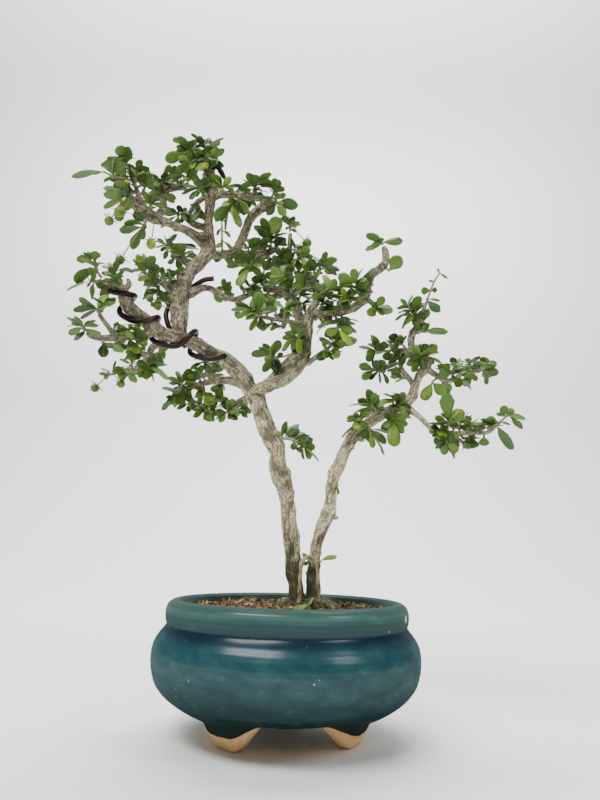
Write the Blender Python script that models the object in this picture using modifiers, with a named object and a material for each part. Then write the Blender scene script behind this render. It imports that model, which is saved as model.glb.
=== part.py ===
"""Fukien tea bonsai: two slim trunks, wired branches and small toothed leaves in a round glazed pot.

The pot stands on +Z = 0 with its middle on the Z axis, and its front looks along -Y.
Routes of trunks, branches and leafy stems were read by hand off one photograph. Each route point
is (across, down, depth): across and down are pixels in a 600 x 800 picture, and depth is how many
millimetres behind the pot's middle the point lies. The picture's view is fixed by the constants
below, so a point's sight line and its depth give its place in space.
"""

import math
import random

import bmesh
import bpy
from mathutils import Matrix, Vector
from mathutils.bvhtree import BVHTree

MM = 0.001
NAME = "fukien_tea_bonsai"
WOOD_NAME = "trunk_and_branches"

# The picture's view, in millimetres and degrees
VIEW_PLACE = Vector((4.8, -415.6, 108.8))
VIEW_PITCH = 14.3
VIEW_ROLL = 1.36
FOCAL_PX = 605.0
PICTURE_MIDDLE = (300.0, 400.0)

# The pot, in millimetres
BELLY_RADIUS = 85.0
RIM_HEIGHT = 80.0
RIM_OUTER_RADIUS = 78.0
POT_MOUTH_RADIUS = 66.0
POT_STEPS = 48
FOOT_ANGLES = (-43.0, 77.0, 197.0)
FOOT_FLAT_HALF_ANGLE = 7.6
FOOT_HALF_ANGLE = 25.0
FOOT_RING_MARGIN = 1.0
SKIRT_TOP = 13.0
SKIRT_SHARE_BETWEEN_FEET = 0.07
DRAIN_RADIUS = 9.0
POT_FLOOR = 18.5

# The pot's outline as (radius, height): rim crest to foot, the foot ring, then the inside from the drain hole up
POT_OUTER_SIDE = (
    (71.0, RIM_HEIGHT), (75.5, 78.6), (RIM_OUTER_RADIUS, 74.5), (77.8, 69.5), (76.9, 65.4), (79.8, 61.4),
    (84.0, 54.2), (BELLY_RADIUS, 46.5), (84.0, 38.0), (79.6, 28.8), (71.0, 21.4), (56.0, SKIRT_TOP),
)
POT_FOOT_RING = ((50.5, 5.0), (47.5, 0.0), (40.5, 0.0), (38.0, SKIRT_TOP))
POT_INSIDE = (
    (DRAIN_RADIUS, SKIRT_TOP), (DRAIN_RADIUS, POT_FLOOR), (57.0, POT_FLOOR), (74.0, 31.0), (78.6, 46.0),
    (70.0, 64.0), (POT_MOUTH_RADIUS, 72.0), (66.8, 77.6),
)

# Soil, roots and the net over the drain hole, in millimetres
SOIL_GAP = 0.6
SOIL_LEVEL = 74.3
SOIL_STEPS = 40
SOIL_BORE = 4.0
SOIL_TOP_RADII = (SOIL_BORE, 20.0, 37.0, 52.0)
SOIL_SIDE = ((POT_MOUTH_RADIUS, SOIL_LEVEL - 1.2), (70.0, 63.4), (78.6, 46.0), (74.0, 32.0), (57.0, POT_FLOOR + 1.0))
SOIL_RISE = 2.2
SOIL_RISE_REACH = 30.0
CROWN_MIDDLE = Vector((12.0, 0.5, 69.5))
CROWN_RADII = (16.0, 12.0, 13.0)
CROWN_GAP = 0.45
CROWN_SEGMENTS = 14
CROWN_RINGS = 8
NET_SIDE = 30.0
NET_CELLS = 3
NET_BAR = 1.7
NET_THICKNESS = 0.9
NET_RECESS = (32.0, 32.0, 5.0)

# Colours, linear
GLAZE_COLOR = (0.018, 0.105, 0.12)
SOIL_COLOR = (0.30, 0.21, 0.14)
NET_COLOR = (0.03, 0.03, 0.03)
BARK_COLOR = (0.36, 0.32, 0.25)
WIRE_COLOR = (0.075, 0.045, 0.035)
LEAF_COLOR = (0.085, 0.235, 0.030)
RIPE_COLOR = (0.72, 0.55, 0.10)

# Wire, twigs, leaves and berries, in millimetres
FIT_GAP = 0.3
WIRE_RADIUS = 2.0
TWIG_RADIUS = 0.95
TWIG_TIP_RADIUS = 0.65
LEAF_THICKNESS = 1.2
LEAF_SINK = 0.4
LEAF_WIDTH_SHARE = 0.54
FREE_LEAF_LENGTHS = (10.5, 15.0)
GOLDEN_ANGLE = 137.5
SEED = 41

# Wood and wire working values
SIDE_SWELL = {0: 1.15, 1: 1.07, 2: 1.04}
ROUNDER_ABOVE = (2.4, 5.0)
CAP_WELD = 0.00001
JOIN_ATTEMPTS = (
    ("EXACT", "BEAUTY", 0.000005), ("EXACT", "EAR_CLIP", 0.000005), ("EXACT", "BEAUTY", 0.0000015),
    ("MANIFOLD", "BEAUTY", 0.000005), ("MANIFOLD", "EAR_CLIP", 0.0000015),
)
CLEARING_STEPS = 12
WIRE_START_RADIUS = 5.0
WIRE_POINTS_PER_TURN = 11
WIRE_STEP = 7.0
WIRE_EVENINGS = 3
WIRE_STANDOFF = 2.5

# The wound wire: (millimetres along the left limb, turns), counted from the route point WIRED_LIMB_START
WIRED_LIMB_START = 18
WIRE_TURNS = (
    (1.5, 0.17), (13.5, 0.42), (26.5, 0.5), (27.5, 1.0), (36, 1.42), (54, 1.52), (57.5, 2.08), (66, 2.3), (74, 2.5),
    (80, 2.52), (81.5, 3.0), (85, 3.22), (96, 3.5), (98, 3.6),
)
LEADER_WIRE = ((186, 347, 5), (178, 339, 6), (169, 327, 6), (166, 316, 7), (171, 303, 10), (183, 293, 12),
               (196, 286, 11), (205, 282, 10), (214, 278.5, 9))

# Leaf shape: places on the outline as shares of the length and of the half width
LEAF_OUTLINE = ((0.42, 0.80), (0.78, 1.0), (0.89, 0.52), (1.0, 0.0), (0.89, -0.52), (0.78, -1.0), (0.42, -0.80))
LEAF_THICKEST = 0.55
LEAF_ARCH = 0.08
LEAF_BEND = 0.15
LEAF_WIDEST_SHARE = 0.95
LEAF_ROUNDEST = 0.8
LONGEST_LEAF = 25.0

# How leaves and twigs are placed and kept clear of others, in millimetres and degrees
LEAF_DEPTH_SHARE = 0.45
LEAF_DEPTH_SHIFTS = (0, 5, -5, 9, -9, 13, -13, 17, -17)
LEAF_SCALES = (1.0, 0.8)
FREE_LEAF_TURNS = (0, 40, -40, 80, -80, 120, -120, 160)
LEAF_INSET = 0.6
LEAF_CLEARANCE = 0.35
OWN_CLEARANCE = 0.15
DEPTH_LIMIT = 82.0
TWIG_STEP = 0.4
TWIG_SEGMENTS = 3
TWIG_SHIFTS = (0, 1.5, -1.5, 3, -3, 5, -5, 8, -8)
TWIG_STARTS = (0, 0.3, 0.6, 0.9, 1.2, 1.6, 2.0, 2.5)
TWIG_CLIMB = 0.8
BARK_CLEARANCE = 0.25

# Berries: on which spray, how far along its twig, across, down, how much deeper, radius
BERRY_SEGMENTS = 6
BERRY_RINGS = 4
BERRY_STALK_RADIUS = 0.6
BERRIES = {
    "crown_low": ((0.9, 109, 221, -2, 3.3),),
    "crown_under": ((0.8, 120, 260, -3, 3.4),),
    "tall_twig_star": ((0.8, 307, 243, -3, 3.9),),
    "twist_tip": ((0.9, 94, 388, -2, 3.4), (0.5, 121, 384, -3, 3.2)),
    "limb_stub_end": ((0.8, 336, 354, -3, 3.2),),
}
RIPENING_BERRY = (151, 244, -11)
RIPENING_BERRY_RADIUS = 3.6

# Trunks and branches: across, down, depth, half width in pixels
LEFT_TRUNK = (
    (299, 606, 1, 9), (296.5, 594, 0, 7.4), (295.5, 582, 0, 7.6), (293.5, 571, -1, 8.8),
    (292.7, 556, -1, 8.1), (291.5, 540, -2, 8.0), (289.5, 525, -3, 7.8), (288, 508, -3, 7.6),
    (286.3, 491, -4, 8.5), (281.5, 477, -5, 9.7), (278.2, 466, -5.1, 8.8), (278, 454, -5.4, 8.3),
    (275.5, 445, -5.7, 9.8), (269, 432, -4.9, 9.0), (261, 413, -2.7, 8.6), (257, 400, 0, 9.0),
    (249, 387, 2.8, 8.3), (238, 371, 2.8, 8.0), (226, 361, 1.4, 7.8), (211, 353, -1.4, 7.2),
    (196, 344, -5.6, 7.2), (183, 338, -8.4, 7.2), (170, 336, -12.6, 7.0), (159, 331.5, -15.4, 6.8),
    (149, 324.5, -19.6, 6.6), (139.5, 316.5, -23.8, 7.0), (130, 308, -28, 7.0), (125, 300, -30.8, 6.2),
    (123, 291.5, -33.6, 5.4), (117.5, 285, -36.4, 4.8), (110, 282, -39.2, 4.0), (102.5, 281, -42, 3.4),
)
RIGHT_TRUNK = (
    (313.5, 606, 2, 8), (313, 592, 2, 6.9), (313, 580, 3, 6.8), (314, 568, 3, 6.0), (315.7, 552, 4, 5.8),
    (319, 538, 5, 6.4), (324, 523, 6, 7.0), (328.8, 511, 6, 7.0), (330.7, 499, 7, 5.7),
    (331.5, 487, 8, 5.4), (335, 474, 8, 5.9), (341, 460, 8.4, 6.3), (347, 447, 7.9, 6.3),
    (354, 436, 7.2, 6.6), (364, 426.5, 7.5, 6.0), (376, 418, 3.9, 5.4), (391, 410.5, 0, 5.0),
    (404, 405, -4.1, 5.0), (411.5, 397, -5.6, 5.0), (415, 386, -7, 4.5), (420, 375, -8.4, 4.2),
    (426, 367, -8.4, 4.0), (431, 361.5, -8.4, 3.5),
)
ARCH_ROOT = (
    (298.5, 603, -8, 2.9), (299, 588, -8, 2.7), (300, 573, -8, 2.7), (302.5, 561, -8, 2.9),
    (307, 556.8, -7, 3.0), (312.5, 557.2, -6, 2.8), (317, 562.5, -5, 2.5), (318.6, 573, -4, 2.4),
    (319, 586, -4, 2.4), (319, 603, -3, 2.6),
)
BRANCHES = {
    "middle_leader": (
        (181, 341, -8.4, 7.5), (178.5, 325, -5.6, 8.2), (179, 310, -2.8, 9.0), (180.5, 295, 0, 9.2),
        (183.5, 283, 4.2, 8.0), (190, 272, 8.4, 6.8), (199.5, 262.5, 11.2, 6.5), (206.5, 254, 12.6, 7.5),
        (208.5, 244, 12.6, 7.2), (208.6, 232, 12.6, 5.4), (208.5, 220, 11.2, 4.5), (209.3, 209, 11.2, 4.7),
        (210.5, 199, 11.2, 5.6), (214, 190, 14, 5.2), (213.5, 181, 15.4, 5.0), (209, 173, 16.8, 4.5),
        (203, 164.5, 18.2, 4.0), (199.5, 155, 19.6, 4.0), (195, 148, 21, 3.8), (193, 140, 22.4, 3.4),
    ),
    "leader_scar": (
        (205, 238, 8.4, 4.6), (200, 234, -1.4, 4.4),
    ),
    "dead_stub_top": (
        (213, 178, 15.4, 3.0), (218, 174, 12.6, 2.6), (222, 170, 11.2, 1.6),
    ),
    "apex_stub": (
        (199, 155, 19.6, 3.0), (204, 151.5, 12.6, 2.6),
    ),
    "top_arm": (
        (212, 196, 12.6, 4.4), (222, 194.5, 8.4, 3.8), (235, 194.5, 4.2, 4.0), (248, 196.5, 0, 3.9),
        (261, 198.5, -2.8, 2.9), (275, 198.5, -5.6, 1.9),
    ),
    "top_arm_stub": (
        (260, 199, -2.8, 2.4), (267, 202, -7, 2.2), (273, 206, -9.8, 1.8),
    ),
    "left_loop": (
        (205, 197, 11.2, 2.8), (197, 203, 16.8, 2.8), (191.5, 211, 21, 3.0), (188, 218.5, 22.4, 3.2),
        (196, 225, 19.6, 3.6), (207, 228, 12.6, 3.6),
    ),
    "right_loop": (
        (209, 254, 12.6, 4.4), (223, 254.5, 16.8, 4.2), (234.5, 251, 21, 4.2), (241, 241, 23.8, 4.3),
        (245.5, 230, 26.6, 4.2), (249.5, 220, 28, 4.4), (256, 212, 28, 5.2), (264, 207, 25.2, 5.4),
    ),
    "upper_right": (
        (234, 251.5, 21, 4.0), (249, 255, 28, 3.6), (262, 254, 35, 3.3), (272, 252.5, 40.6, 2.8),
    ),
    "middle_right": (
        (183, 297, 1.4, 5.6), (195, 291.5, 5.6, 4.6), (204, 288, 11.2, 3.7), (213, 289.5, 18.2, 3.2),
        (225, 297, 26.6, 3.1), (236, 299.5, 32.2, 3.0), (247, 295.5, 37.8, 3.0), (257, 291, 43.4, 2.5),
    ),
    "upper_left": (
        (206, 244, 12.6, 5.6), (196, 236.5, 8.4, 5.6), (186, 230, 4.2, 4.6), (175, 226, 0, 3.8),
        (164, 221.5, -4.2, 4.2), (155, 218.5, -8.4, 5.8), (147.5, 213.5, -11.2, 6.0), (140, 206, -14, 6.3),
        (132, 200.5, -16.8, 6.0), (126, 197, -19.6, 4.2),
    ),
    "crown_stem": (
        (151, 216, -11.2, 2.8), (143.5, 204, -16.8, 2.5), (138, 193, -21, 2.2), (133.5, 182, -23.8, 2.0),
        (129.5, 173, -25.2, 1.8),
    ),
    "inner_crown": (
        (155, 218, -7, 4.0), (163, 209, 0, 3.8), (163, 199, 4.2, 3.6), (160, 193.5, 5.6, 3.6),
        (168, 189, 8.4, 3.8), (178, 187, 11.2, 3.9), (187, 188, 14, 3.0),
    ),
    "back_left_low": (
        (178, 296, 1.4, 3.6), (170, 291, 8.4, 3.0), (160, 282, 16.8, 2.6), (151, 277.5, 23.8, 2.3),
        (144, 272, 28, 1.8),
    ),
    "back_left_high": (
        (194, 269, 8.4, 3.4), (184, 262, 16.8, 2.9), (177, 256.5, 25.2, 2.5), (171, 250.5, 33.6, 2.0),
    ),
    "wired_stub": (
        (124, 290, -33.6, 3.8), (130, 283, -26.6, 3.4), (127, 277, -21, 2.6),
    ),
    "left_fork": (
        (152, 331, -18.2, 4.8), (141, 335, -23.8, 4.6), (130, 336, -32.2, 4.4), (120, 337, -39.2, 4.0),
        (110, 338, -44.8, 3.9), (100, 338, -50.4, 3.6), (92, 336, -54.6, 3.6), (86, 331.5, -57.4, 2.8),
    ),
    "left_fork_shoot": (
        (115, 336, -42, 2.8), (108, 326.5, -47.6, 2.5), (103, 320, -51.8, 2.3), (98.5, 313, -54.6, 1.9),
    ),
    "low_left_twist": (
        (170, 337, -9.8, 4.2), (160, 343, 1.4, 3.8), (152, 348, 9.8, 3.5), (149, 356, 14, 3.5),
        (143.5, 363, 18.2, 3.8), (138.5, 369.5, 22.4, 3.4), (130, 369.5, 28, 2.8), (120, 371.5, 35, 2.1),
    ),
    "low_left": (
        (244, 384, 2.8, 5.5), (229, 380.5, 11.2, 4.4), (216, 381, 19.6, 3.6), (205, 383, 28, 3.2),
        (195, 386, 35, 3.0), (186, 388.5, 40.6, 3.0),
    ),
    "low_left_twig": (
        (213, 381, 21, 2.8), (207.5, 371, 26.6, 2.5), (204.5, 363, 32.2, 1.8),
    ),
    "low_left_return": (
        (188, 388, 39.2, 2.8), (190.5, 400, 37.4, 2.9), (200, 405, 34.3, 2.9), (210, 408, 29.9, 2.6),
    ),
    "low_left_second": (
        (254, 397, 1.4, 4.6), (243, 399.5, 9.7, 3.8), (236, 404, 16.5, 3.0), (230, 409, 21.7, 2.3),
    ),
    "right_limb": (
        (253, 395, 0, 7.5), (264, 387.5, -2.8, 7.0), (275, 383.5, -7, 6.5), (286, 378.5, -11.2, 6.2),
        (295.5, 371, -14, 6.2), (303, 360.5, -15.4, 5.4), (307, 350, -16.8, 4.6), (308.5, 337, -16.8, 4.2),
        (309, 323, -15.4, 4.1), (311, 312, -14, 4.8),
    ),
    "behind_limb": (
        (268, 387, 0, 6.0), (276, 377, 7, 6.6), (284, 369, 14, 6.6), (292, 360.5, 19.6, 6.2),
        (299, 351, 23.8, 5.4), (303, 336, 26.6, 4.8), (300, 320, 28, 4.8), (296, 308, 28, 5.6),
        (290, 297, 28, 6.0), (284, 290, 28, 4.6), (274, 289.5, 30.8, 3.8), (263, 289, 35, 3.0),
    ),
    "limb_stub": (
        (307, 364, -15.4, 3.4), (318, 356, -22.4, 2.9), (327, 349, -28, 2.4), (334, 343, -32.2, 1.6),
    ),
    "front_arm": (
        (309, 314, -14, 5.2), (325, 312.5, -19.6, 5.2), (340, 312, -25.2, 4.2), (352, 309, -28, 4.1),
        (360.5, 303, -28, 4.2), (367, 294, -28, 3.9), (369.5, 285, -26.6, 3.1), (372, 276, -25.2, 3.4),
        (379, 270, -21, 4.4), (385, 262.5, -19.6, 3.7), (385.5, 253, -19.6, 3.4), (383.5, 246, -19.6, 2.2),
    ),
    "arm_knob": (
        (382, 268, -21, 3.6), (379.5, 264.5, -25.2, 3.6),
    ),
    "arm_twig": (
        (365, 298, -28, 2.6), (372.5, 303.5, -32.2, 2.4), (375, 308.5, -35, 1.9),
    ),
    "upright_twig": (
        (312, 310, -15.4, 4.2), (317, 299, -12.6, 3.9), (314.5, 289, -8.4, 3.4), (307, 280, -2.8, 2.9),
        (297, 277, 2.8, 1.9),
    ),
    "upright_fork": (
        (312, 284, -7, 2.5), (317.5, 274, -11.2, 2.2), (319.5, 269, -12.6, 1.9),
    ),
    "front_left_twig": (
        (308, 325, -15.4, 2.9), (296, 323, -23.8, 2.6), (283, 320.5, -30.8, 2.3), (270, 318.5, -37.8, 2.0),
        (260, 316.5, -42, 1.8),
    ),
    "tall_twig": (
        (292, 300, 28, 3.0), (291, 282, 29.4, 2.3), (291, 262, 30.8, 2.2), (290, 246, 32.2, 2.3),
        (290, 233, 33.6, 2.0),
    ),
    "right_reach": (
        (405, 406, -4.1, 3.8), (413, 412, -8, 3.1), (421, 418, -13.1, 2.9), (430, 427, -17.5, 2.9),
        (439, 431.5, -20.8, 2.9), (450, 433.5, -23, 2.7), (466, 433, -25.5, 2.4), (481, 433, -27.9, 2.4),
        (490, 431.5, -29.4, 2.2), (496.5, 425, -31.6, 1.9), (502, 420, -33.7, 1.6),
    ),
    "right_upper": (
        (427, 369, -8.4, 3.2), (437, 375.5, -2.8, 2.8), (445, 380.5, 2.8, 2.8), (453, 380, 8.4, 2.4),
        (461, 374.5, 12.6, 2.3), (470, 372, 16.8, 2.1), (481, 371, 21, 1.7),
    ),
    "right_upper_stub": (
        (444, 379, 2.8, 2.6), (446.5, 387.5, 1.4, 2.2),
    ),
    "right_inner": (
        (415, 388, -7, 3.4), (410.5, 380.5, 0, 2.9), (404, 372.5, 7, 2.4), (397, 369.5, 14, 2.1),
        (387, 371, 21, 1.7),
    ),
    "right_leader": (
        (430, 363, -8.4, 3.2), (421, 357.5, -2.8, 3.0), (413.5, 351, 2.8, 3.4), (411, 343, 5.6, 3.7),
        (412, 335, 8.4, 3.7), (416, 327, 11.2, 3.1), (420.5, 317, 12.6, 2.6), (424, 308, 14, 2.2),
        (427, 301, 14, 1.7),
    ),
    "right_leader_low": (
        (414, 352, 2.8, 2.5), (404, 350, 8.4, 2.1), (393, 350.5, 14, 2.0),
    ),
    "trunk_knob": (
        (328, 518, 6, 4.2), (334.5, 517.5, 4, 3.2),
    ),
    "bend_stub": (
        (357, 434, 7.2, 4.4), (364, 441, 3.5, 3.2),
    ),
}

# Sprays: twig route; leaves seen (how far along the twig, tip across, tip down, width); leaves hidden
SPRAYS = {
    "crown_tip": (
        ((129.5, 173, -25.2), (126.5, 166, -28), (123, 159.5, -30.8)),
        (
            (1, 119, 145.5, 12), (0.8, 135, 172, 8), (0.9, 100.5, 165.5, 8), (0.3, 109.5, 170, 7),
        ),
        1,
    ),
    "crown_long_leaf": (
        ((132.5, 180, -25.2), (121, 178.5, -39.2), (111, 175.5, -50.4), (103, 171.5, -58.8)),
        (
            (1, 71, 176, 6), (1, 92, 173.5, 3), (0.35, 113, 187, 6), (0.45, 124, 169, 6),
        ),
        1,
    ),
    "crown_low": (
        ((137.5, 192, -21), (131, 194.5, -30.8), (125, 200, -37.8)),
        (
            (0.4, 104, 188, 5), (0.75, 103.5, 194.5, 8.5), (1, 103, 207.5, 5.5), (1, 116.5, 221, 9.5),
        ),
        1,
    ),
    "crown_under": (
        ((148, 217.5, -12.6), (144.5, 224, -21), (141, 229, -26.6)),
        (
            (0.25, 141, 212, 8), (0.9, 120, 230, 8), (0.7, 141.5, 240, 8), (1, 132, 248.5, 9.5),
        ),
        1,
    ),
    "inner_crown_top": (
        ((165, 190, 5.6), (163, 184, 1.4), (161.5, 179, -2.8)),
        (
            (0.6, 138, 181, 6.5), (1, 170, 165, 4.5), (0.75, 184, 173.5, 7), (0.3, 144.5, 199, 4.5),
        ),
        1,
    ),
    "apex_left": (
        ((194.5, 147, 21), (190, 150, 14), (186, 152.5, 7)),
        (
            (1, 165, 160, 12), (0.8, 177.5, 148, 4), (0.4, 184.5, 136.5, 9), (0.9, 175, 152, 6),
        ),
        1,
    ),
    "apex_right": (
        ((194, 143, 22.4), (201, 146, 16.8), (207, 148, 11.2)),
        (
            (0.5, 209.5, 137, 7.5), (0.9, 219.5, 142, 6), (0.9, 223.5, 137, 2), (1, 215, 154, 8.5),
        ),
        1,
    ),
    "apex_under": (
        ((200, 157, 19.6), (194.5, 161, 9.8), (189, 163.5, 2.8)),
        (
            (1, 176, 172, 9), (0.9, 178.5, 161, 4), (0.4, 190, 173, 6), (0.2, 205, 170, 6),
        ),
        1,
    ),
    "apex_star": (
        ((211, 187, 12.6), (204.5, 189, 2.8), (198.5, 189, -5.6)),
        (
            (1, 183, 184, 4.5), (1, 181, 192.5, 5.5), (0.9, 213, 186, 4.5), (0.5, 191, 174, 7),
        ),
        1,
    ),
    "top_arm_upper": (
        ((252, 197, -1.4), (254, 190, -5.6), (256, 183, -8.4)),
        (
            (1, 270.5, 172, 7), (0.8, 273.5, 182, 7.5), (0.7, 240.5, 184.5, 6), (0.5, 278.5, 187.5, 2.5),
        ),
        1,
    ),
    "top_arm_end": (
        ((271, 198.5, -5.6), (274.5, 202, -9.8), (276.5, 206, -12.6)),
        (
            (0.6, 298.5, 204.5, 12), (0.2, 286, 194, 6), (0.1, 253.5, 195.5, 5), (1, 286, 215.5, 9),
        ),
        1,
    ),
    "tall_twig_star": (
        ((290, 234, 33.6), (290, 229, 32.2), (290, 224, 30.8)),
        (
            (1, 281, 217.5, 3.5), (1, 294.5, 219.5, 4), (0.8, 299.5, 223.5, 5), (0.3, 297, 231, 4),
        ),
        1,
    ),
    "upper_right_fan": (
        ((271, 252, 40.6), (271, 243, 35), (271.5, 235.5, 30.8)),
        (
            (1, 277.5, 216.5, 15), (1, 262, 217.5, 8), (0.9, 254, 226, 6.5), (0.2, 248.5, 242, 10),
        ),
        1,
    ),
    "top_arm_hanging": (
        ((240, 196, 4.2), (235, 201, -1.4), (230.5, 204, -4.2)),
        (
            (0.8, 215, 219.5, 13), (0.5, 235.5, 219, 9), (1, 238.5, 226, 6), (1, 224, 230.5, 3.5),
        ),
        1,
    ),
    "light_shoot": (
        ((222, 253.5, 15.4), (222, 241, 8.4), (222, 229, 5.6), (221.5, 219, 5.6)),
        (
            (0.7, 216, 235, 3.5), (0.6, 231.5, 236, 4.5), (0.25, 216.5, 248, 5), (0.3, 233, 249.5, 3.5),
        ),
        0,
    ),
    "wired_end_upper": (
        ((104, 280.5, -42), (98, 273, -46.2), (95.5, 264.5, -50.4), (94, 257, -53.2)),
        (
            (1, 76.5, 259, 9), (1, 100.5, 253.5, 5), (0.5, 72.5, 279.5, 11), (0.75, 89, 251, 6),
        ),
        1,
    ),
    "wired_end_top": (
        ((116, 284, -36.4), (113, 276.5, -30.8), (117, 270, -25.2)),
        (
            (0.8, 103.5, 264, 7), (0.5, 101.5, 273, 5), (1, 134, 270, 4.5), (1, 108, 262, 5),
        ),
        1,
    ),
    "fork_shoot_end": (
        ((99, 314, -54.6), (97.5, 309.5, -57.4), (97, 308, -57.4)),
        (
            (0.8, 73, 309.5, 7), (1, 106.5, 294, 9), (0.8, 116, 301, 6), (0.5, 80, 317.5, 5),
        ),
        1,
    ),
    "left_fork_end": (
        ((87, 332.5, -57.4), (83.5, 328, -58.8), (82, 324.5, -60.2)),
        (
            (0.5, 68.5, 334, 6.5), (0, 75, 340.5, 6), (0.6, 98, 324.5, 6), (1, 95.5, 319.5, 4.5),
        ),
        1,
    ),
    "left_fork_under": (
        ((104, 339.5, -49), (103, 342, -51.8), (103, 343.5, -53.2)),
        (
            (1, 103.5, 357, 11), (0.6, 124.5, 350.5, 8),
        ),
        0,
    ),
    "twist_tip": (
        ((121, 371.5, 33.6), (114, 373.5, 32.2), (108, 375, 30.8)),
        (
            (1, 99, 373.5, 4), (0.5, 115.5, 360, 3.5), (0.1, 124, 380, 6), (1, 104, 378.5, 5),
        ),
        1,
    ),
    "back_left_low_end": (
        ((145, 273, 26.6), (145, 270, 23.8), (145.5, 267.5, 21)),
        (
            (1, 155.5, 256.5, 9), (0.8, 138, 264, 9.5), (0.8, 159.5, 269, 8.5), (1, 145, 253.5, 6),
        ),
        1,
    ),
    "back_left_high_end": (
        ((172, 251.5, 32.2), (168, 247, 30.8), (165, 244, 29.4)),
        (
            (0.8, 177, 234, 4.5), (0.5, 199.5, 249, 5), (0.2, 190, 253.5, 4), (0.6, 196, 244.5, 4),
        ),
        1,
    ),
    "upper_right_under": (
        ((257, 256, 32.2), (252, 262, 22.4), (250, 267, 15.4)),
        (
            (0.2, 233, 257, 12), (0.6, 226, 265, 9), (0.7, 268, 262.5, 8), (0.9, 237, 284, 7),
        ),
        1,
    ),
    "upright_end": (
        ((297, 277, 2.8), (289, 277, -4.2), (282, 275.5, -11.2)),
        (
            (0.5, 268, 283, 7.5), (1, 270, 269, 8), (1, 283, 264.5, 8), (0.8, 276, 284, 6),
        ),
        1,
    ),
    "tall_twig_middle": (
        ((291, 262, 30.8), (297, 258.5, 21), (302, 256, 14)),
        (
            (0.6, 296.5, 247, 8), (1, 313.5, 257, 6), (1, 311, 271, 9), (0.6, 299, 271, 8),
        ),
        1,
    ),
    "upright_fork_end": (
        ((319.5, 269.5, -12.6), (320, 266.5, -14), (320.5, 264.5, -15.4)),
        (
            (1, 336.5, 258.5, 9), (0.8, 340, 269, 5), (0.5, 309.5, 263, 6), (0.3, 316.5, 276, 5),
        ),
        1,
    ),
    "front_arm_top": (
        ((321, 307, -19.6), (324, 297, -28), (327, 289, -35)),
        (
            (1, 337, 280.5, 9), (0.8, 315, 285, 8), (1, 325.5, 274.5, 8), (0.9, 343, 288, 6),
        ),
        1,
    ),
    "front_arm_big": (
        ((361, 299, -28), (357.5, 290, -35), (356, 283, -39.2)),
        (
            (1, 338, 276.5, 11), (1, 353, 268.5, 9), (1, 361.5, 267, 4.5), (0.8, 374.5, 267, 3),
        ),
        1,
    ),
    "front_arm_tip": (
        ((383.5, 247, -19.6), (382.5, 244.5, -21), (382, 242.5, -22.4)),
        (
            (0.6, 402, 240.5, 6.5), (1, 381, 237.5, 6), (0.8, 371.5, 245.5, 7), (0.3, 365.5, 250.5, 6),
        ),
        1,
    ),
    "front_arm_round": (
        ((387, 268.5, -21), (388.5, 270.5, -22.4), (389.5, 271, -23.8)),
        (
            (1, 401, 256.5, 14.5),
        ),
        0,
    ),
    "arm_twig_end": (
        ((374, 305.5, -33.6), (375, 307, -35), (376, 308, -36.4)),
        (
            (0.3, 384, 296.5, 9), (1, 393, 310.5, 10), (0.8, 369, 312, 7), (0.3, 369, 296, 4),
        ),
        0,
    ),
    "front_arm_under": (
        ((334, 313.5, -23.8), (337.5, 322, -30.8), (338, 330, -36.4)),
        (
            (0.2, 350, 323, 10), (1, 352, 344.5, 9), (0.8, 324, 336, 9), (0.4, 317, 326, 5),
        ),
        1,
    ),
    "limb_stub_end": (
        ((329, 347.5, -29.4), (332, 345, -33.6), (334, 343, -36.4)),
        (
            (0.2, 319, 338, 6), (0.8, 336, 355, 7), (1, 345, 345.5, 8), (1, 357, 339.5, 8),
        ),
        1,
    ),
    "front_left_end": (
        ((261, 316.8, -42), (256.5, 313.5, -46.2), (252.5, 309, -49)),
        (
            (1, 236, 317.5, 6), (1, 231, 309, 5), (0.9, 235.5, 301.5, 5.5), (0.3, 277.5, 307.5, 7),
        ),
        1,
    ),
    "behind_limb_shoot": (
        ((284, 368, 12.6), (277, 359, 4.2), (270.5, 354.5, -2.8)),
        (
            (1, 251, 353.5, 9), (0.75, 279, 340, 9.5), (0.6, 262, 371, 8), (1, 259, 347, 6),
        ),
        1,
    ),
    "trunk_shoot": (
        ((272, 438, -5.9), (283, 438, -14.2), (295, 441, -19.7), (304, 447.5, -22.4)),
        (
            (0.3, 298.5, 427.5, 9), (0.1, 286, 421, 7), (0.5, 308.5, 435.5, 7), (1, 320.5, 460, 2.5),
        ),
        0,
    ),
    "low_left_end": (
        ((187, 388.5, 40.6), (184, 387, 33.6), (182, 384, 28)),
        (
            (1, 189, 368.5, 7), (0.6, 202, 372, 9), (0.3, 171, 396, 7), (0.4, 181.5, 406, 6),
        ),
        1,
    ),
    "low_left_second_end": (
        ((230.5, 409.5, 20.3), (228, 411.5, 14.8), (226, 412.5, 10.7)),
        (
            (0.9, 237.5, 419.5, 6), (1, 219, 422, 7), (0.4, 245, 409.5, 3), (0.8, 232.5, 398.5, 6),
        ),
        1,
    ),
    "bend_upper": (
        ((381, 415, 2.6), (375, 409, -6.8), (371, 405, -13.7)),
        (
            (0.9, 357.5, 399, 8), (1, 349, 404.5, 3), (0.7, 355, 411, 3.5), (0.6, 391.5, 397, 8),
        ),
        1,
    ),
    "bend_front": (
        ((366, 423, 2.6), (369, 429, -7.4), (371, 435, -13.2)),
        (
            (0.7, 381, 437, 7), (1, 386.5, 453.5, 3), (1, 373, 447.5, 6), (0.6, 386.5, 443, 7),
        ),
        1,
    ),
    "bend_lobed": (
        ((388, 411.5, 0), (391, 416, -7.9), (393, 420, -13)),
        (
            (1, 394, 446.5, 14), (1, 404, 433, 9), (0.8, 382, 432, 9), (0.2, 411.5, 416.5, 4.5),
        ),
        1,
    ),
    "bend_back": (
        ((376, 418, 5.2), (373, 412, 25.5), (370, 407, 40.9)),
        (),
        1,
    ),
    "leader_low_end": (
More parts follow.
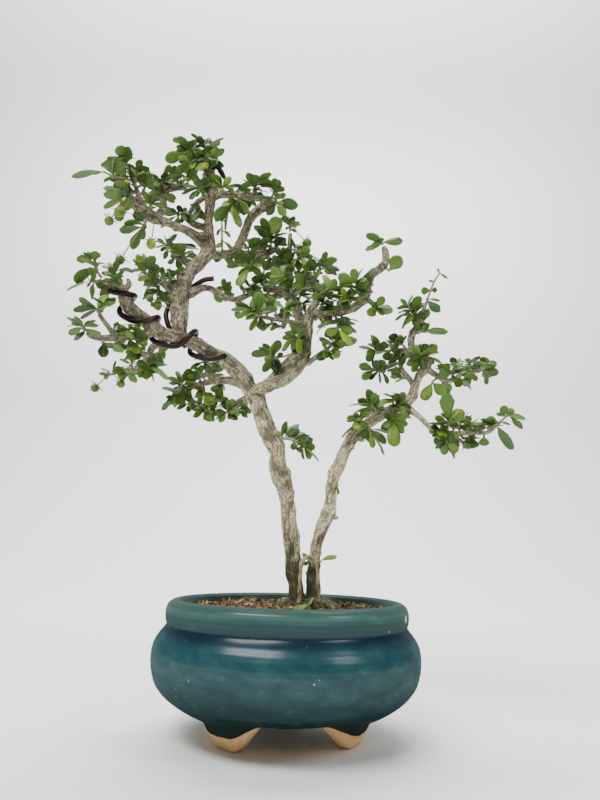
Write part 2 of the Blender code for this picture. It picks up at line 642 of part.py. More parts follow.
        ((394, 350.5, 14), (384, 351, 14), (374, 350, 15.4)),
        (
            (1, 358.5, 346.5, 4.5), (0.8, 372.5, 337, 6), (0.9, 366.5, 361, 9), (0.4, 384, 341, 8),
        ),
        1,
    ),
    "right_inner_end": (
        ((388, 371, 21), (380, 371.5, 18.2), (373, 369, 15.4)),
        (
            (1, 362.5, 379.5, 9), (1, 359.5, 365, 9), (0.7, 384, 359.5, 9), (0.3, 393, 361, 8),
        ),
        1,
    ),
    "leader_shoot": (
        ((419, 320.5, 12.6), (412.5, 312, 5.6), (408, 306, 1.4)),
        (
            (0.6, 394.5, 319.5, 4), (0.5, 400.5, 328, 4.5), (0.2, 425, 314, 9), (0.7, 424, 304, 6),
        ),
        1,
    ),
    "leader_tip": (
        ((426, 303, 14), (430.5, 291, 14), (435, 280, 14), (440, 272.5, 14)),
        (
            (0.05, 440, 300, 2.5), (0, 439.5, 311.5, 9), (0.35, 421, 291, 8), (0.35, 437.5, 290, 6),
        ),
        0,
    ),
    "leader_long_leaf": (
        ((414, 332, 9.8), (419.5, 331.5, 5.6), (424.5, 331, 2.8)),
        (
            (1, 447.5, 331.5, 8), (0.6, 425.5, 326, 4.5), (0.2, 416.5, 320.5, 7),
        ),
        0,
    ),
    "upper_reach_middle": (
        ((453, 379.5, 7), (452.5, 374, 0), (451, 370.5, -5.6)),
        (
            (0.6, 437.5, 374, 12), (1, 437.5, 364, 7), (0.5, 467, 366, 4), (0.05, 462.5, 385.5, 10.5),
        ),
        1,
    ),
    "upper_reach_end": (
        ((474, 372, 19.6), (481, 370.5, 22.4), (486, 370, 23.8)),
        (
            (1, 498.5, 373.5, 9), (0.7, 485.5, 359.5, 6.5), (0.5, 473, 361, 8), (0.6, 488, 384.5, 5),
        ),
        1,
    ),
    "reach_big_leaf": (
        ((446, 433.5, -23), (447.5, 427, -28.8), (448, 420, -32.4)),
        (
            (1, 446, 393.5, 15), (0.8, 435, 416.5, 7), (0.5, 430, 421.5, 3), (0.6, 458, 421, 9),
        ),
        1,
    ),
    "reach_low": (
        ((448, 434.5, -24.1), (447, 439, -29.3), (447, 443, -32.1)),
        (
            (0.4, 433.5, 442, 10), (1, 443, 455, 8), (0.7, 459.5, 446, 9), (0.2, 467, 443.5, 3.5),
        ),
        1,
    ),
    "reach_tip": (
        ((492, 430, -29.6), (498, 424, -29.3), (504, 418.5, -27.4), (508.5, 414.5, -25.2)),
        (
            (0.2, 485.5, 420, 12), (1, 525.5, 419.5, 5), (1, 523, 429, 4.5), (0, 513, 449.5, 10),
        ),
        0,
    ),
}


def sight_axes():
    """Forward, right and up of the picture's view, for a view that is pitched up and rolled a little."""
    pitch = math.radians(VIEW_PITCH)
    roll = math.radians(VIEW_ROLL)
    forward = Vector((0.0, math.cos(pitch), math.sin(pitch)))
    level_right = Vector((1.0, 0.0, 0.0))
    level_up = level_right.cross(forward)
    right = level_right * math.cos(roll) + level_up * math.sin(roll)
    up = level_up * math.cos(roll) - level_right * math.sin(roll)
    return forward, right, up


FORWARD, RIGHT, UP = sight_axes()


def sight_point(across, down, depth):
    """The place on a picture point's sight line that lies depth millimetres behind the pot's middle."""
    line = FORWARD + RIGHT * ((across - PICTURE_MIDDLE[0]) / FOCAL_PX) - UP * ((down - PICTURE_MIDDLE[1]) / FOCAL_PX)
    return VIEW_PLACE + line * ((depth - VIEW_PLACE.y) / line.y)


def pixel_size(point):
    """How many millimetres one pixel spans at a point's distance from the view."""
    return (point - VIEW_PLACE).dot(FORWARD) / FOCAL_PX


def read_route(route):
    """Places and radii in millimetres of route points (across, down, depth, half width in pixels)."""
    places = [sight_point(across, down, depth) for across, down, depth, _ in route]
    radii = [knot[3] * pixel_size(place) for knot, place in zip(route, places)]
    return places, radii


def smooth_route(places, spacing):
    """Points about spacing apart on the Catmull-Rom curve through the places."""
    ends = [places[0] * 2 - places[1], *places, places[-1] * 2 - places[-2]]
    points = []
    for before, start, end, after in zip(ends, ends[1:], ends[2:], ends[3:]):
        count = max(1, round((end - start).length / spacing))
        for step in range(count):
            t = step / count
            slope_in = (end - before) * 0.5
            slope_out = (after - start) * 0.5
            points.append(
                start * (2 * t**3 - 3 * t**2 + 1)
                + slope_in * (t**3 - 2 * t**2 + t)
                + end * (3 * t**2 - 2 * t**3)
                + slope_out * (t**3 - t**2)
            )
    points.append(places[-1])
    return points


def lengths_along(points):
    """Distance along the route at each of its points."""
    total = [0.0]
    for start, end in zip(points, points[1:]):
        total.append(total[-1] + (end - start).length)
    return total


def point_along(points, distance):
    """The point of a route at a distance along it, and the route's direction there."""
    total = lengths_along(points)
    distance = min(max(distance, 0.0), total[-1])
    index = 0
    while index < len(points) - 2 and total[index + 1] < distance:
        index += 1
    span = points[index + 1] - points[index]
    share = (distance - total[index]) / span.length
    return points[index] + span * share, span.normalized()


def make_material(name, color, roughness, metallic=0.0, coat=0.0):
    material = bpy.data.materials.new(name)
    material.use_nodes = True
    shader = material.node_tree.nodes["Principled BSDF"]
    shader.inputs["Base Color"].default_value = (*color, 1.0)
    shader.inputs["Roughness"].default_value = roughness
    shader.inputs["Metallic"].default_value = metallic
    shader.inputs["Coat Weight"].default_value = coat
    return material


def add_object(name, mesh, collection, material=None):
    new = bpy.data.objects.new(name, mesh)
    collection.objects.link(new)
    if material:
        mesh.materials.append(material)
    return new


def claim_active(name, collection):
    """The primitive just added, renamed and moved into a collection."""
    made = bpy.context.active_object
    made.name = name
    for owner in list(made.users_collection):
        owner.objects.unlink(made)
    collection.objects.link(made)
    return made


def evaluated_mesh(source):
    """A mesh of an object as its modifiers or its bevel leave it."""
    graph = bpy.context.evaluated_depsgraph_get()
    return bpy.data.meshes.new_from_object(source.evaluated_get(graph))


def apply_modifiers(target):
    mesh = evaluated_mesh(target)
    target.modifiers.clear()
    target.data = mesh


def tube(name, points, radii, roundness, collection):
    """A closed tube along points, in millimetres. Roundness 0, 1 and 2 give 4, 6 and 8 sides."""
    curve = bpy.data.curves.new(name, "CURVE")
    curve.dimensions = "3D"
    curve.bevel_depth = MM
    curve.bevel_resolution = roundness
    curve.use_fill_caps = True
    spline = curve.splines.new("POLY")
    spline.points.add(len(points) - 1)
    for knot, point, radius in zip(spline.points, points, radii):
        knot.co = (*(point * MM), 1.0)
        knot.radius = radius * SIDE_SWELL[roundness]
    guide = bpy.data.objects.new(name, curve)
    collection.objects.link(guide)
    mesh = evaluated_mesh(guide)
    place = guide.matrix_world.copy()
    bpy.data.objects.remove(guide)
    bpy.data.curves.remove(curve)
    weld(mesh, CAP_WELD)
    made = add_object(name, mesh, collection)
    made.matrix_world = place
    return made


def weld(mesh, distance):
    shape = bmesh.new()
    shape.from_mesh(mesh)
    bmesh.ops.remove_doubles(shape, verts=shape.verts, dist=distance)
    bmesh.ops.recalc_face_normals(shape, faces=shape.faces)
    shape.to_mesh(mesh)
    shape.free()


def keep_largest_body(mesh, split, sliver):
    """Drops the scraps and fills the sealed hollows that a union leaves beside its main body."""
    shape = bmesh.new()
    shape.from_mesh(mesh)
    bmesh.ops.triangulate(shape, faces=shape.faces, ngon_method=split)
    bmesh.ops.dissolve_degenerate(shape, edges=shape.edges, dist=sliver)
    bmesh.ops.triangulate(shape, faces=shape.faces, ngon_method=split)
    waiting = set(shape.faces)
    bodies = []
    while waiting:
        body = set()
        front = [waiting.pop()]
        while front:
            face = front.pop()
            body.add(face)
            joined = {other for edge in face.edges for other in edge.link_faces} & waiting
            waiting -= joined
            front.extend(joined)
        bodies.append(body)
    bodies.sort(key=lambda body: sum(face.calc_area() for face in body))
    scraps = [face for body in bodies[:-1] for face in body]
    bmesh.ops.delete(shape, geom=scraps, context="FACES")
    shape.to_mesh(mesh)
    shape.free()


def is_closed(mesh):
    shape = bmesh.new()
    shape.from_mesh(mesh)
    closed = all(edge.is_manifold for edge in shape.edges)
    shape.free()
    return closed


def join_pieces(base, pieces, working):
    """Joins pieces to base by one union on their collection, and removes them."""
    group = bpy.data.collections.new(base.name + "_pieces")
    working.children.link(group)
    for piece in pieces:
        working.objects.unlink(piece)
        group.objects.link(piece)
    first = base.data.copy()
    for solver, split, sliver in JOIN_ATTEMPTS:
        base.data = first.copy()
        union = base.modifiers.new("join", "BOOLEAN")
        union.operation = "UNION"
        union.operand_type = "COLLECTION"
        union.collection = group
        union.solver = solver
        apply_modifiers(base)
        keep_largest_body(base.data, split, sliver)
        if is_closed(base.data):
            break
    else:
        print("union not closed:", base.name)
    for piece in pieces:
        bpy.data.objects.remove(piece)
    bpy.data.collections.remove(group)
    return base


def surface_tree(*solids):
    """One search tree over the surfaces of solids that carry no modifiers."""
    points = []
    faces = []
    for solid in solids:
        start = len(points)
        points.extend(solid.matrix_world @ vertex.co for vertex in solid.data.vertices)
        faces.extend([start + index for index in face.vertices] for face in solid.data.polygons)
    return BVHTree.FromPolygons(points, faces)


def height_above(tree, point):
    """Distance in millimetres from the surface to a point, negative inside it, and the way out."""
    place, normal, _, distance = tree.find_nearest(point * MM)
    outwards = normal if distance < CAP_WELD else (point * MM - place).normalized()
    inside = (point * MM - place).dot(normal) < 0
    return (-distance if inside else distance) / MM, (-outwards if inside else outwards)


def push_clear(tree, point, distance):
    """Moves a point away from a surface until it is distance clear of it."""
    for _ in range(CLEARING_STEPS):
        height, outwards = height_above(tree, point)
        if height >= distance:
            break
        point = point + outwards * (distance - height)
    return point


def turned(name, outline, steps, collection):
    """A closed solid turned from an outline that clears the axis."""
    shape = bmesh.new()
    knots = [shape.verts.new((radius * MM, 0.0, height * MM)) for radius, height in outline]
    for index, knot in enumerate(knots):
        shape.edges.new((knot, knots[(index + 1) % len(knots)]))
    mesh = bpy.data.meshes.new(name)
    shape.to_mesh(mesh)
    shape.free()
    made = add_object(name, mesh, collection)
    screw = made.modifiers.new("turn", "SCREW")
    screw.axis = "Z"
    screw.steps = steps
    screw.render_steps = steps
    screw.use_merge_vertices = True
    screw.merge_threshold = CAP_WELD
    apply_modifiers(made)
    return made


def foot_share(angle):
    """How far the foot ring reaches down at an angle: 1 at a foot, little between feet."""
    nearest = min(abs((angle - foot + 180.0) % 360.0 - 180.0) for foot in FOOT_ANGLES)
    slope = (nearest - FOOT_FLAT_HALF_ANGLE) / (FOOT_HALF_ANGLE - FOOT_FLAT_HALF_ANGLE)
    slope = min(max(slope, 0.0), 1.0)
    fall = 0.5 + 0.5 * math.cos(math.pi * slope)
    return SKIRT_SHARE_BETWEEN_FEET + (1.0 - SKIRT_SHARE_BETWEEN_FEET) * fall


def make_pot(collection):
    """The turned pot, its foot ring drawn up between three feet."""
    pot = turned("pot", POT_OUTER_SIDE + POT_FOOT_RING + POT_INSIDE, POT_STEPS, collection)
    start = math.radians(FOOT_ANGLES[0] - 90.0)
    turn = Matrix.Rotation(start, 4, "Z")
    pot.data.transform(turn)
    for vertex in pot.data.vertices:
        radius = math.hypot(vertex.co.x, vertex.co.y) / MM
        if vertex.co.z < (SKIRT_TOP - FOOT_RING_MARGIN) * MM and radius > DRAIN_RADIUS + FOOT_RING_MARGIN:
            from_front = math.degrees(math.atan2(vertex.co.x, -vertex.co.y))
            drop = SKIRT_TOP - vertex.co.z / MM
            vertex.co.z = (SKIRT_TOP - drop * foot_share(from_front)) * MM
    pot.data.shade_smooth()
    pot.data.set_sharp_from_angle(angle=math.radians(50.0))
    pot.data.materials.append(make_material("glaze", GLAZE_COLOR, 0.16, coat=0.6))
    return pot


def soil_height(x, y):
    """Height of the soil's top: higher round the trunks, with low mounds."""
    from_crown = math.hypot(x - CROWN_MIDDLE.x, y - CROWN_MIDDLE.y)
    rise = SOIL_RISE * math.exp(-((from_crown / SOIL_RISE_REACH) ** 2))
    mounds = 0.7 * math.sin(x / 9.0 + 1.0) * math.cos(y / 11.0) + 0.4 * math.sin((x + 2.0 * y) / 7.0)
    return SOIL_LEVEL + rise + mounds


def close_bore(mesh):
    """Replaces the bore wall round the turning axis by a flat top and bottom."""
    shape = bmesh.new()
    shape.from_mesh(mesh)
    bore = [vertex for vertex in shape.verts if math.hypot(vertex.co.x, vertex.co.y) < (SOIL_BORE + 1.0) * MM]
    walls = {edge for vertex in bore for edge in vertex.link_edges if edge.other_vert(vertex) in bore}
    upright = [edge for edge in walls if abs(edge.verts[0].co.z - edge.verts[1].co.z) > SOIL_BORE * MM]
    bmesh.ops.delete(shape, geom=upright, context="EDGES_FACES")
    bmesh.ops.holes_fill(shape, edges=[edge for edge in shape.edges if edge.is_boundary])
    bmesh.ops.recalc_face_normals(shape, faces=shape.faces)
    shape.to_mesh(mesh)
    shape.free()


def cut(target, cutters):
    """Cuts cutters out of a solid, and removes them."""
    for cutter in cutters:
        cutter.hide_render = True
        cutter.display_type = "WIRE"
        difference = target.modifiers.new(cutter.name, "BOOLEAN")
        difference.operation = "DIFFERENCE"
        difference.object = cutter
        difference.solver = "EXACT"
    apply_modifiers(target)
    for cutter in cutters:
        bpy.data.objects.remove(cutter)


def make_soil(collection, working):
    """Soil that fills the pot, with a hole for the root crown and a recess over the net."""
    top = [(radius, SOIL_LEVEL) for radius in SOIL_TOP_RADII]
    side = [(radius - SOIL_GAP, height) for radius, height in SOIL_SIDE]
    soil = turned("soil", (*top, *side, (SOIL_BORE, SOIL_SIDE[-1][1])), SOIL_STEPS, collection)
    close_bore(soil.data)
    for vertex in soil.data.vertices:
        x, y, z = vertex.co / MM
        if z > SOIL_LEVEL - 0.5:
            vertex.co.z = soil_height(x, y) * MM
    bpy.ops.mesh.primitive_cube_add(size=MM)
    recess = claim_active("net_recess", working)
    recess.data.transform(Matrix.Translation((0.0, 0.0, POT_FLOOR * MM)) @ Matrix.Diagonal((*NET_RECESS, 1.0)))
    cut(soil, [recess, *root_cutters(working)])
    soil.data.materials.append(make_material("soil_grit", SOIL_COLOR, 0.95))
    return soil


def make_net(collection):
    """The plastic net that keeps the soil from the drain hole."""
    shape = bmesh.new()
    bmesh.ops.create_grid(shape, x_segments=NET_CELLS, y_segments=NET_CELLS, size=NET_SIDE / 2 * MM)
    cells = list(shape.faces)
    bmesh.ops.inset_individual(shape, faces=cells, thickness=NET_BAR / 2 * MM)
    bmesh.ops.delete(shape, geom=cells, context="FACES")
    flat = list(shape.faces)
    raised = bmesh.ops.extrude_face_region(shape, geom=flat)
    top = [part for part in raised["geom"] if isinstance(part, bmesh.types.BMVert)]
    bmesh.ops.translate(shape, verts=top, vec=(0.0, 0.0, NET_THICKNESS * MM))
    bmesh.ops.recalc_face_normals(shape, faces=shape.faces)
    bmesh.ops.translate(shape, verts=shape.verts, vec=(0.0, 0.0, (POT_FLOOR + FIT_GAP) * MM))
    mesh = bpy.data.meshes.new("drain_net")
    shape.to_mesh(mesh)
    shape.free()
    return add_object("drain_net", mesh, collection, make_material("net_plastic", NET_COLOR, 0.6))


def crown_shape(name, gap, collection):
    """The root crown's rounded body, grown by a gap on all sides."""
    bpy.ops.mesh.primitive_uv_sphere_add(segments=CROWN_SEGMENTS, ring_count=CROWN_RINGS, radius=MM)
    crown = claim_active(name, collection)
    radii = [radius + gap for radius in CROWN_RADII]
    crown.data.transform(Matrix.Translation(CROWN_MIDDLE * MM) @ Matrix.Diagonal((*radii, 1.0)))
    return crown


def route_tube(name, route, gap, collection):
    """A tube along a hand-read route, grown by a gap, and rounder where the route is thicker."""
    places, radii = read_route(route)
    roundness = sum(max(radii) > limit for limit in ROUNDER_ABOVE)
    return tube(name, places, [radius + gap for radius in radii], roundness, collection)


def root_cutters(working):
    """What the soil leaves free for the root crown and all that rises from it."""
    cutters = [crown_shape("crown_hole", CROWN_GAP, working)]
    for index, route in enumerate((LEFT_TRUNK[:6], RIGHT_TRUNK[:6], ARCH_ROOT)):
        cutters.append(route_tube(f"root_hole_{index}", route, CROWN_GAP, working))
    return cutters


def make_wood(collection, working):
    """Both trunks, the root crown, the arched root and every branch, grown as one."""
    crown = crown_shape(WOOD_NAME, 0.0, collection)
    routes = {"left_trunk": LEFT_TRUNK, "right_trunk": RIGHT_TRUNK, "arch_root": ARCH_ROOT, **BRANCHES}
    pieces = [route_tube(name, route, 0.0, working) for name, route in routes.items()]
    wood = join_pieces(crown, pieces, working)
    wood.data.materials.append(make_material("bark", BARK_COLOR, 0.85))
    return wood


def limb_frame(points, distance):
    """Place on the wired limb, and the ways up and towards the front across it."""
    place, along = point_along(points, distance)
    up = (UP - along * UP.dot(along)).normalized()
    front = along.cross(up)
    if front.dot(FORWARD) > 0:
        front = -front
    return place, up, front


def limb_wire_route(tree):
    """The wire's winding round the left limb: turns by distance, held just off the bark."""
    limb, _ = read_route(LEFT_TRUNK[WIRED_LIMB_START:])
    points = smooth_route(limb, WIRE_RADIUS)
    route = []
    for (start, first), (end, last) in zip(WIRE_TURNS, WIRE_TURNS[1:]):
        count = max(1, round((last - first) * WIRE_POINTS_PER_TURN), round((end - start) / WIRE_STEP))
        for step in range(count):
            share = step / count
            route.append((start + (end - start) * share, first + (last - first) * share))
    route.append(WIRE_TURNS[-1])
    places = []
    for distance, turns in route:
        place, up, front = limb_frame(points, distance)
        angle = 2.0 * math.pi * turns
        places.append(place + (up * math.cos(angle) + front * math.sin(angle)) * WIRE_START_RADIUS)
    places = held_off(tree, places, WIRE_STANDOFF)
    for _ in range(WIRE_EVENINGS):
        places = held_off(tree, evened(places), WIRE_STANDOFF)
    return places


def held_off(tree, places, distance):
    """A route pushed off a surface, at its points and halfway between them."""
    places = [push_clear(tree, place, distance) for place in places]
    for _ in range(CLEARING_STEPS):
        for index in range(len(places) - 1):
            middle = (places[index] + places[index + 1]) / 2
            height, outwards = height_above(tree, middle)
            if height < distance:
                places[index] = places[index] + outwards * (distance - height)
                places[index + 1] = places[index + 1] + outwards * (distance - height)
    return places


def evened(places):
    """A route with its inner points drawn towards their neighbours."""
    middles = [(a + c) * 0.25 + b * 0.5 for a, b, c in zip(places, places[1:], places[2:])]
    return [places[0], *middles, places[-1]]


def make_wires(wood, collection):
    """The wire wound round the left limb and the shorter one behind the middle leader."""
    coat = make_material("wire_coat", WIRE_COLOR, 0.35, metallic=1.0)
    route = limb_wire_route(surface_tree(wood))
    limb_wire = tube("limb_wire", route, [WIRE_RADIUS] * len(route), 2, collection)
    tree = surface_tree(wood, limb_wire)
    behind = smooth_route([sight_point(*knot) for knot in LEADER_WIRE], WIRE_STEP)
    route = held_off(tree, behind, WIRE_STANDOFF)
    leader_wire = tube("leader_wire", route, [WIRE_RADIUS] * len(route), 2, collection)
    for wire in (limb_wire, leader_wire):
        wire.data.materials.append(coat)
    return [limb_wire, leader_wire]


def bounds(points):
    low = Vector([min(point[axis] for point in points) for axis in range(3)])
    high = Vector([max(point[axis] for point in points) for axis in range(3)])
    return low, high


class Space:
    """What already stands in the scene, each item with its owner, its bounds and its search tree."""

    def __init__(self):
        self.items = []

    def add(self, owner, points, faces):
        scaled = [point * MM for point in points]
        self.items.append((owner, *bounds(points), BVHTree.FromPolygons(scaled, faces)))

    def add_object(self, owner, solid):
        points = [vertex.co / MM for vertex in solid.data.vertices]
        self.add(owner, points, [tuple(face.vertices) for face in solid.data.polygons])

    def meets(self, points, faces, owner, own):
        """Whether a test shape meets an item: only the owner's items, or only those of others."""
        low, high = bounds(points)
        tree = None
        for item_owner, item_low, item_high, item_tree in self.items:
            if (item_owner == owner) != own:
                continue
            apart = any(low[axis] > item_high[axis] or high[axis] < item_low[axis] for axis in range(3))
            if apart:
                continue
            tree = tree or BVHTree.FromPolygons([point * MM for point in points], faces)
            if tree.overlap(item_tree):
                return True
        return False


def blade_directions(base, tip, seen_width):
    """A blade's way along, its facing way, length and width, from its ends and its width in the picture."""
    along = (tip - base).normalized()
    length = (tip - base).length
    to_view = (VIEW_PLACE - base).normalized()
    facing = (to_view - along * along.dot(to_view)).normalized()
    side = along.cross(facing)
    width = min(max(seen_width, LEAF_WIDTH_SHARE * length), LEAF_WIDEST_SHARE * length)
    turn = math.acos(min(seen_width / width, 1.0))
    choices = [facing * math.cos(turn) + side * math.sin(turn), facing * math.cos(turn) - side * math.sin(turn)]
    normal = max(choices, key=lambda way: abs(way.z))
    return along, normal if normal.z > 0 else -normal, length, width


def blade_place(base, blade, share_along, share_across):
    """A place on a blade's middle surface, which arches along it and bends down to both edges."""
    along, normal, length, width = blade
    across = normal.cross(along)
    arch = 4.0 * LEAF_ARCH * length * share_along * (1.0 - share_along)
    bend = LEAF_BEND * abs(share_across) * width / 2
    flat = base + along * (share_along * length) + across * (share_across * width / 2)
    return flat + normal * (arch - bend)


def blade_solid(base, blade):
    """Points and faces of a leaf: its outline toothed at the tip, thickest in the middle."""
    along, normal, length, width = blade
    root = base - along * LEAF_SINK
    rim = [root, *(blade_place(base, blade, *share) for share in LEAF_OUTLINE)]
    middle = blade_place(base, blade, LEAF_THICKEST, 0.0)
    peaks = [middle + normal * (LEAF_THICKNESS / 2), middle - normal * (LEAF_THICKNESS / 2)]
    count = len(rim)
    faces = []
    for start in range(count):
        end = (start + 1) % count
        faces += [(start, end, count), (end, start, count + 1)]
    return rim + peaks, faces


def blade_envelope(base, blade, margin, start):
    """Points and faces of a leaf widened by a margin, from a share of its length on, to test its clearance."""
    along, normal, length, width = blade
    wide = (along, normal, length + margin, width + 2.0 * margin)
    shares = [(start, 0.0)] + [share for share in LEAF_OUTLINE if share[0] > start]
    rim = [blade_place(base, wide, *share) for share in shares]
    middle = blade_place(base, blade, LEAF_THICKEST, 0.0)
    points = [point + normal * margin for point in rim] + [point - normal * margin for point in rim]
    points += [middle + normal * (LEAF_THICKNESS / 2 + margin), middle - normal * (LEAF_THICKNESS / 2 + margin)]
    count = len(rim)
    faces = []
    for index in range(count):
        after = (index + 1) % count
        faces += [(index, after, 2 * count), (count + after, count + index, 2 * count + 1)]
        faces += [(after, index, count + index), (after, count + index, count + after)]
    return points, faces


def seen_leaf_choices(base, across, down, seen_pixels, draw):
    """Blades that cover a leaf seen in the picture: its first depth, then others, then a shorter one."""
    flat = (sight_point(across, down, base.y) - base).length
    seen_width = seen_pixels * pixel_size(base)
    share = draw.uniform(-LEAF_DEPTH_SHARE, LEAF_DEPTH_SHARE)
    least = math.sqrt(max((seen_width / LEAF_ROUNDEST) ** 2 - flat**2, 0.0))
    first = math.copysign(max(abs(share * flat), least), share)
    for scale in LEAF_SCALES:
        for shift in LEAF_DEPTH_SHIFTS:
            tip = base + (sight_point(across, down, base.y + first + shift) - base) * scale
            if (tip - base).length < max(LONGEST_LEAF, 1.35 * flat):
                yield blade_directions(base, tip, seen_width * scale)


def free_leaf_choices(base, heading, number, draw):
    """Blades for a leaf that the picture hides: set round the twig in a spiral, facing mostly up."""
    length = draw.uniform(*FREE_LEAF_LENGTHS)
    start = draw.uniform(0.0, 360.0)
    side = heading.cross(UP).normalized()
    lift = side.cross(heading)
    for scale in LEAF_SCALES:
        for extra in FREE_LEAF_TURNS:
            angle = math.radians(start + number * GOLDEN_ANGLE + extra)
            out = side * math.cos(angle) + lift * math.sin(angle)
            along = (out + heading * 0.7 + Vector((0.0, 0.0, 0.25))).normalized()
            normal = (Vector((0.0, 0.0, 1.0)) + out * 0.35 - along * along.z).normalized()
            normal = (normal - along * along.dot(normal)).normalized()
            yield along, normal, length * scale, length * scale * LEAF_WIDTH_SHARE


def leaf_fits(space, owner, base, blade):
    tip = blade_place(base, blade, 1.0, 0.0)
    if abs(tip.y) > DEPTH_LIMIT:
        return False
    if space.meets(*blade_envelope(base, blade, LEAF_CLEARANCE, 0.0), owner, False):
        return False
    return not space.meets(*blade_envelope(base, blade, OWN_CLEARANCE, 0.34), owner, True)


def add_solid(name, points, faces, collection):
    mesh = bpy.data.meshes.new(name)
    mesh.from_pydata([point * MM for point in points], [], faces)
    weld(mesh, CAP_WELD)
    return add_object(name, mesh, collection)


def twig_route(knots, tree):
    """A twig's fine route from the bark out to its tip, held off the bark."""
    places = [sight_point(*knot) for knot in knots]
    height, outwards = height_above(tree, places[0])
    if height > TWIG_RADIUS:
        places.insert(0, places[0] - outwards * height)
    route = smooth_route(places, TWIG_STEP)
    while len(route) > 4 and height_above(tree, route[0])[0] < FIT_GAP:
        route.pop(0)
    cleared = []
    for index, point in enumerate(route):
        wanted = FIT_GAP + TWIG_STEP * TWIG_CLIMB * index
        cleared.append(push_clear(tree, point, min(wanted, TWIG_RADIUS * SIDE_SWELL[0] + FIT_GAP)))
    return cleared


def twig_radii(points):
    steps = len(points) - 1
    return [TWIG_RADIUS + (TWIG_TIP_RADIUS - TWIG_RADIUS) * step / steps for step in range(steps + 1)]


def twig_choices(route):
    """Twigs along a route: further and further off the bark, and bent to the back or the front."""
    length = lengths_along(route)[-1]
    for shift in TWIG_SHIFTS:
        for start in TWIG_STARTS:
            points = []
            for step in range(TWIG_SEGMENTS + 1):
                share = step / TWIG_SEGMENTS
                place = point_along(route, start + (length - start) * share)[0]
                points.append(place + FORWARD * (shift * share**0.7))
            yield points


def tube_shape(points, margin, working):
    """Points and faces of a twig widened by a margin, and started that much earlier."""
    early = points[0] - (points[1] - points[0]).normalized() * margin
    wide = [radius + margin for radius in twig_radii(points)]
    test = tube("twig_test", [early, *points[1:]], wide, 0, working)
    shape = [vertex.co / MM for vertex in test.data.vertices]
    faces = [tuple(face.vertices) for face in test.data.polygons]
    bpy.data.objects.remove(test)
    return shape, faces


def make_twig(name, knots, tree, space, working):
    """A twig's tube and route, bent clear of what stands in its way."""
    choices = list(twig_choices(twig_route(knots, tree)))
    for points in choices:
        off_bark = not space.meets(*tube_shape(points, BARK_CLEARANCE, working), WOOD_NAME, True)
        if off_bark and not space.meets(*tube_shape(points, LEAF_CLEARANCE, working), WOOD_NAME, False):
            break
    else:
        print("twig not clear:", name)
        points = choices[0]
    return tube(name, points, twig_radii(points), 0, working), points


def berry_pieces(name, start, centre, radius, collection, working):
    """A berry and its short stalk."""
    bpy.ops.mesh.primitive_uv_sphere_add(segments=BERRY_SEGMENTS, ring_count=BERRY_RINGS, radius=radius * MM)
    ball = claim_active(name, collection)
    ball.data.transform(Matrix.Translation(centre * MM))
    ends = [start, start.lerp(centre, 0.9)]
    return [ball, tube(name + "_stalk", ends, [BERRY_STALK_RADIUS] * 2, 0, working)]


def add_berries(owner, route, space, working):
    pieces = []
    length = lengths_along(route)[-1]
    for number, (where, across, down, deeper, radius) in enumerate(BERRIES.get(owner, ())):
        start = point_along(route, min(where * length, length - LEAF_INSET))[0]
        centre = sight_point(across, down, start.y + deeper)
        made = berry_pieces(f"{owner}_berry_{number}", start, centre, radius, working, working)
        space.add_object(owner, made[0])
        pieces += made
    return pieces


def add_leaves(owner, route, seen, hidden, space, working):
    """The leaves of one spray, each where its first clear choice puts it."""
    pieces = []
    length = lengths_along(route)[-1]
    wanted = [(leaf[0], leaf[1:]) for leaf in seen]
    wanted += [((number + 0.6) / hidden, None) for number in range(hidden)]
    for number, (where, leaf) in enumerate(wanted):
        draw = random.Random(f"{owner} {number} {SEED}")
        inset = LEAF_INSET * (0.7 + 0.3 * (number % 4))
        base, heading = point_along(route, min(where * length, length - inset))
        if leaf:
            choices = seen_leaf_choices(base, *leaf, draw)
        else:
            choices = free_leaf_choices(base, heading, number, draw)
        blade = next((choice for choice in choices if leaf_fits(space, owner, base, choice)), None)
        if blade is None:
            print("leaf left out:", owner, number)
            continue
        points, faces = blade_solid(base, blade)
        space.add(owner, *blade_envelope(base, blade, 0.0, 0.0))
        pieces.append(add_solid(f"{owner}_leaf_{number}", points, faces, working))
    return pieces


def make_sprays(wood, space, collection, working):
    """Every leafy stem: its twig, leaves and berries fused to one body."""
    tree = surface_tree(wood)
    green = make_material("leaf_green", LEAF_COLOR, 0.35)
    twigs = {}
    for name, (knots, _, _) in SPRAYS.items():
        twigs[name] = make_twig(name, knots, tree, space, working)
        space.add_object(name, twigs[name][0])
    fruit = {name: add_berries(name, twigs[name][1], space, working) for name in SPRAYS}
    for name, (_, seen, hidden) in SPRAYS.items():
        twig, route = twigs[name]
        pieces = fruit[name] + add_leaves(name, route, seen, hidden, space, working)
        working.objects.unlink(twig)
        collection.objects.link(twig)
        join_pieces(twig, pieces, working)
        twig.data.materials.append(green)


def make_ripening_berry(wood, space, collection, working):
    """The yellow berry that hangs alone under the left crown."""
    tree = surface_tree(wood)
    centre = sight_point(*RIPENING_BERRY)
    height, outwards = height_above(tree, centre)
    start = centre - outwards * (height - FIT_GAP - BERRY_STALK_RADIUS)
    ball, stalk = berry_pieces("ripening_berry", start, centre, RIPENING_BERRY_RADIUS, collection, working)
    join_pieces(ball, [stalk], working)
    ball.data.materials.append(make_material("berry_skin", RIPE_COLOR, 0.25))
    space.add_object("ripening_berry", ball)


def new_collection(name):
    collection = bpy.data.collections.new(name)
    bpy.context.scene.collection.children.link(collection)
    return collection


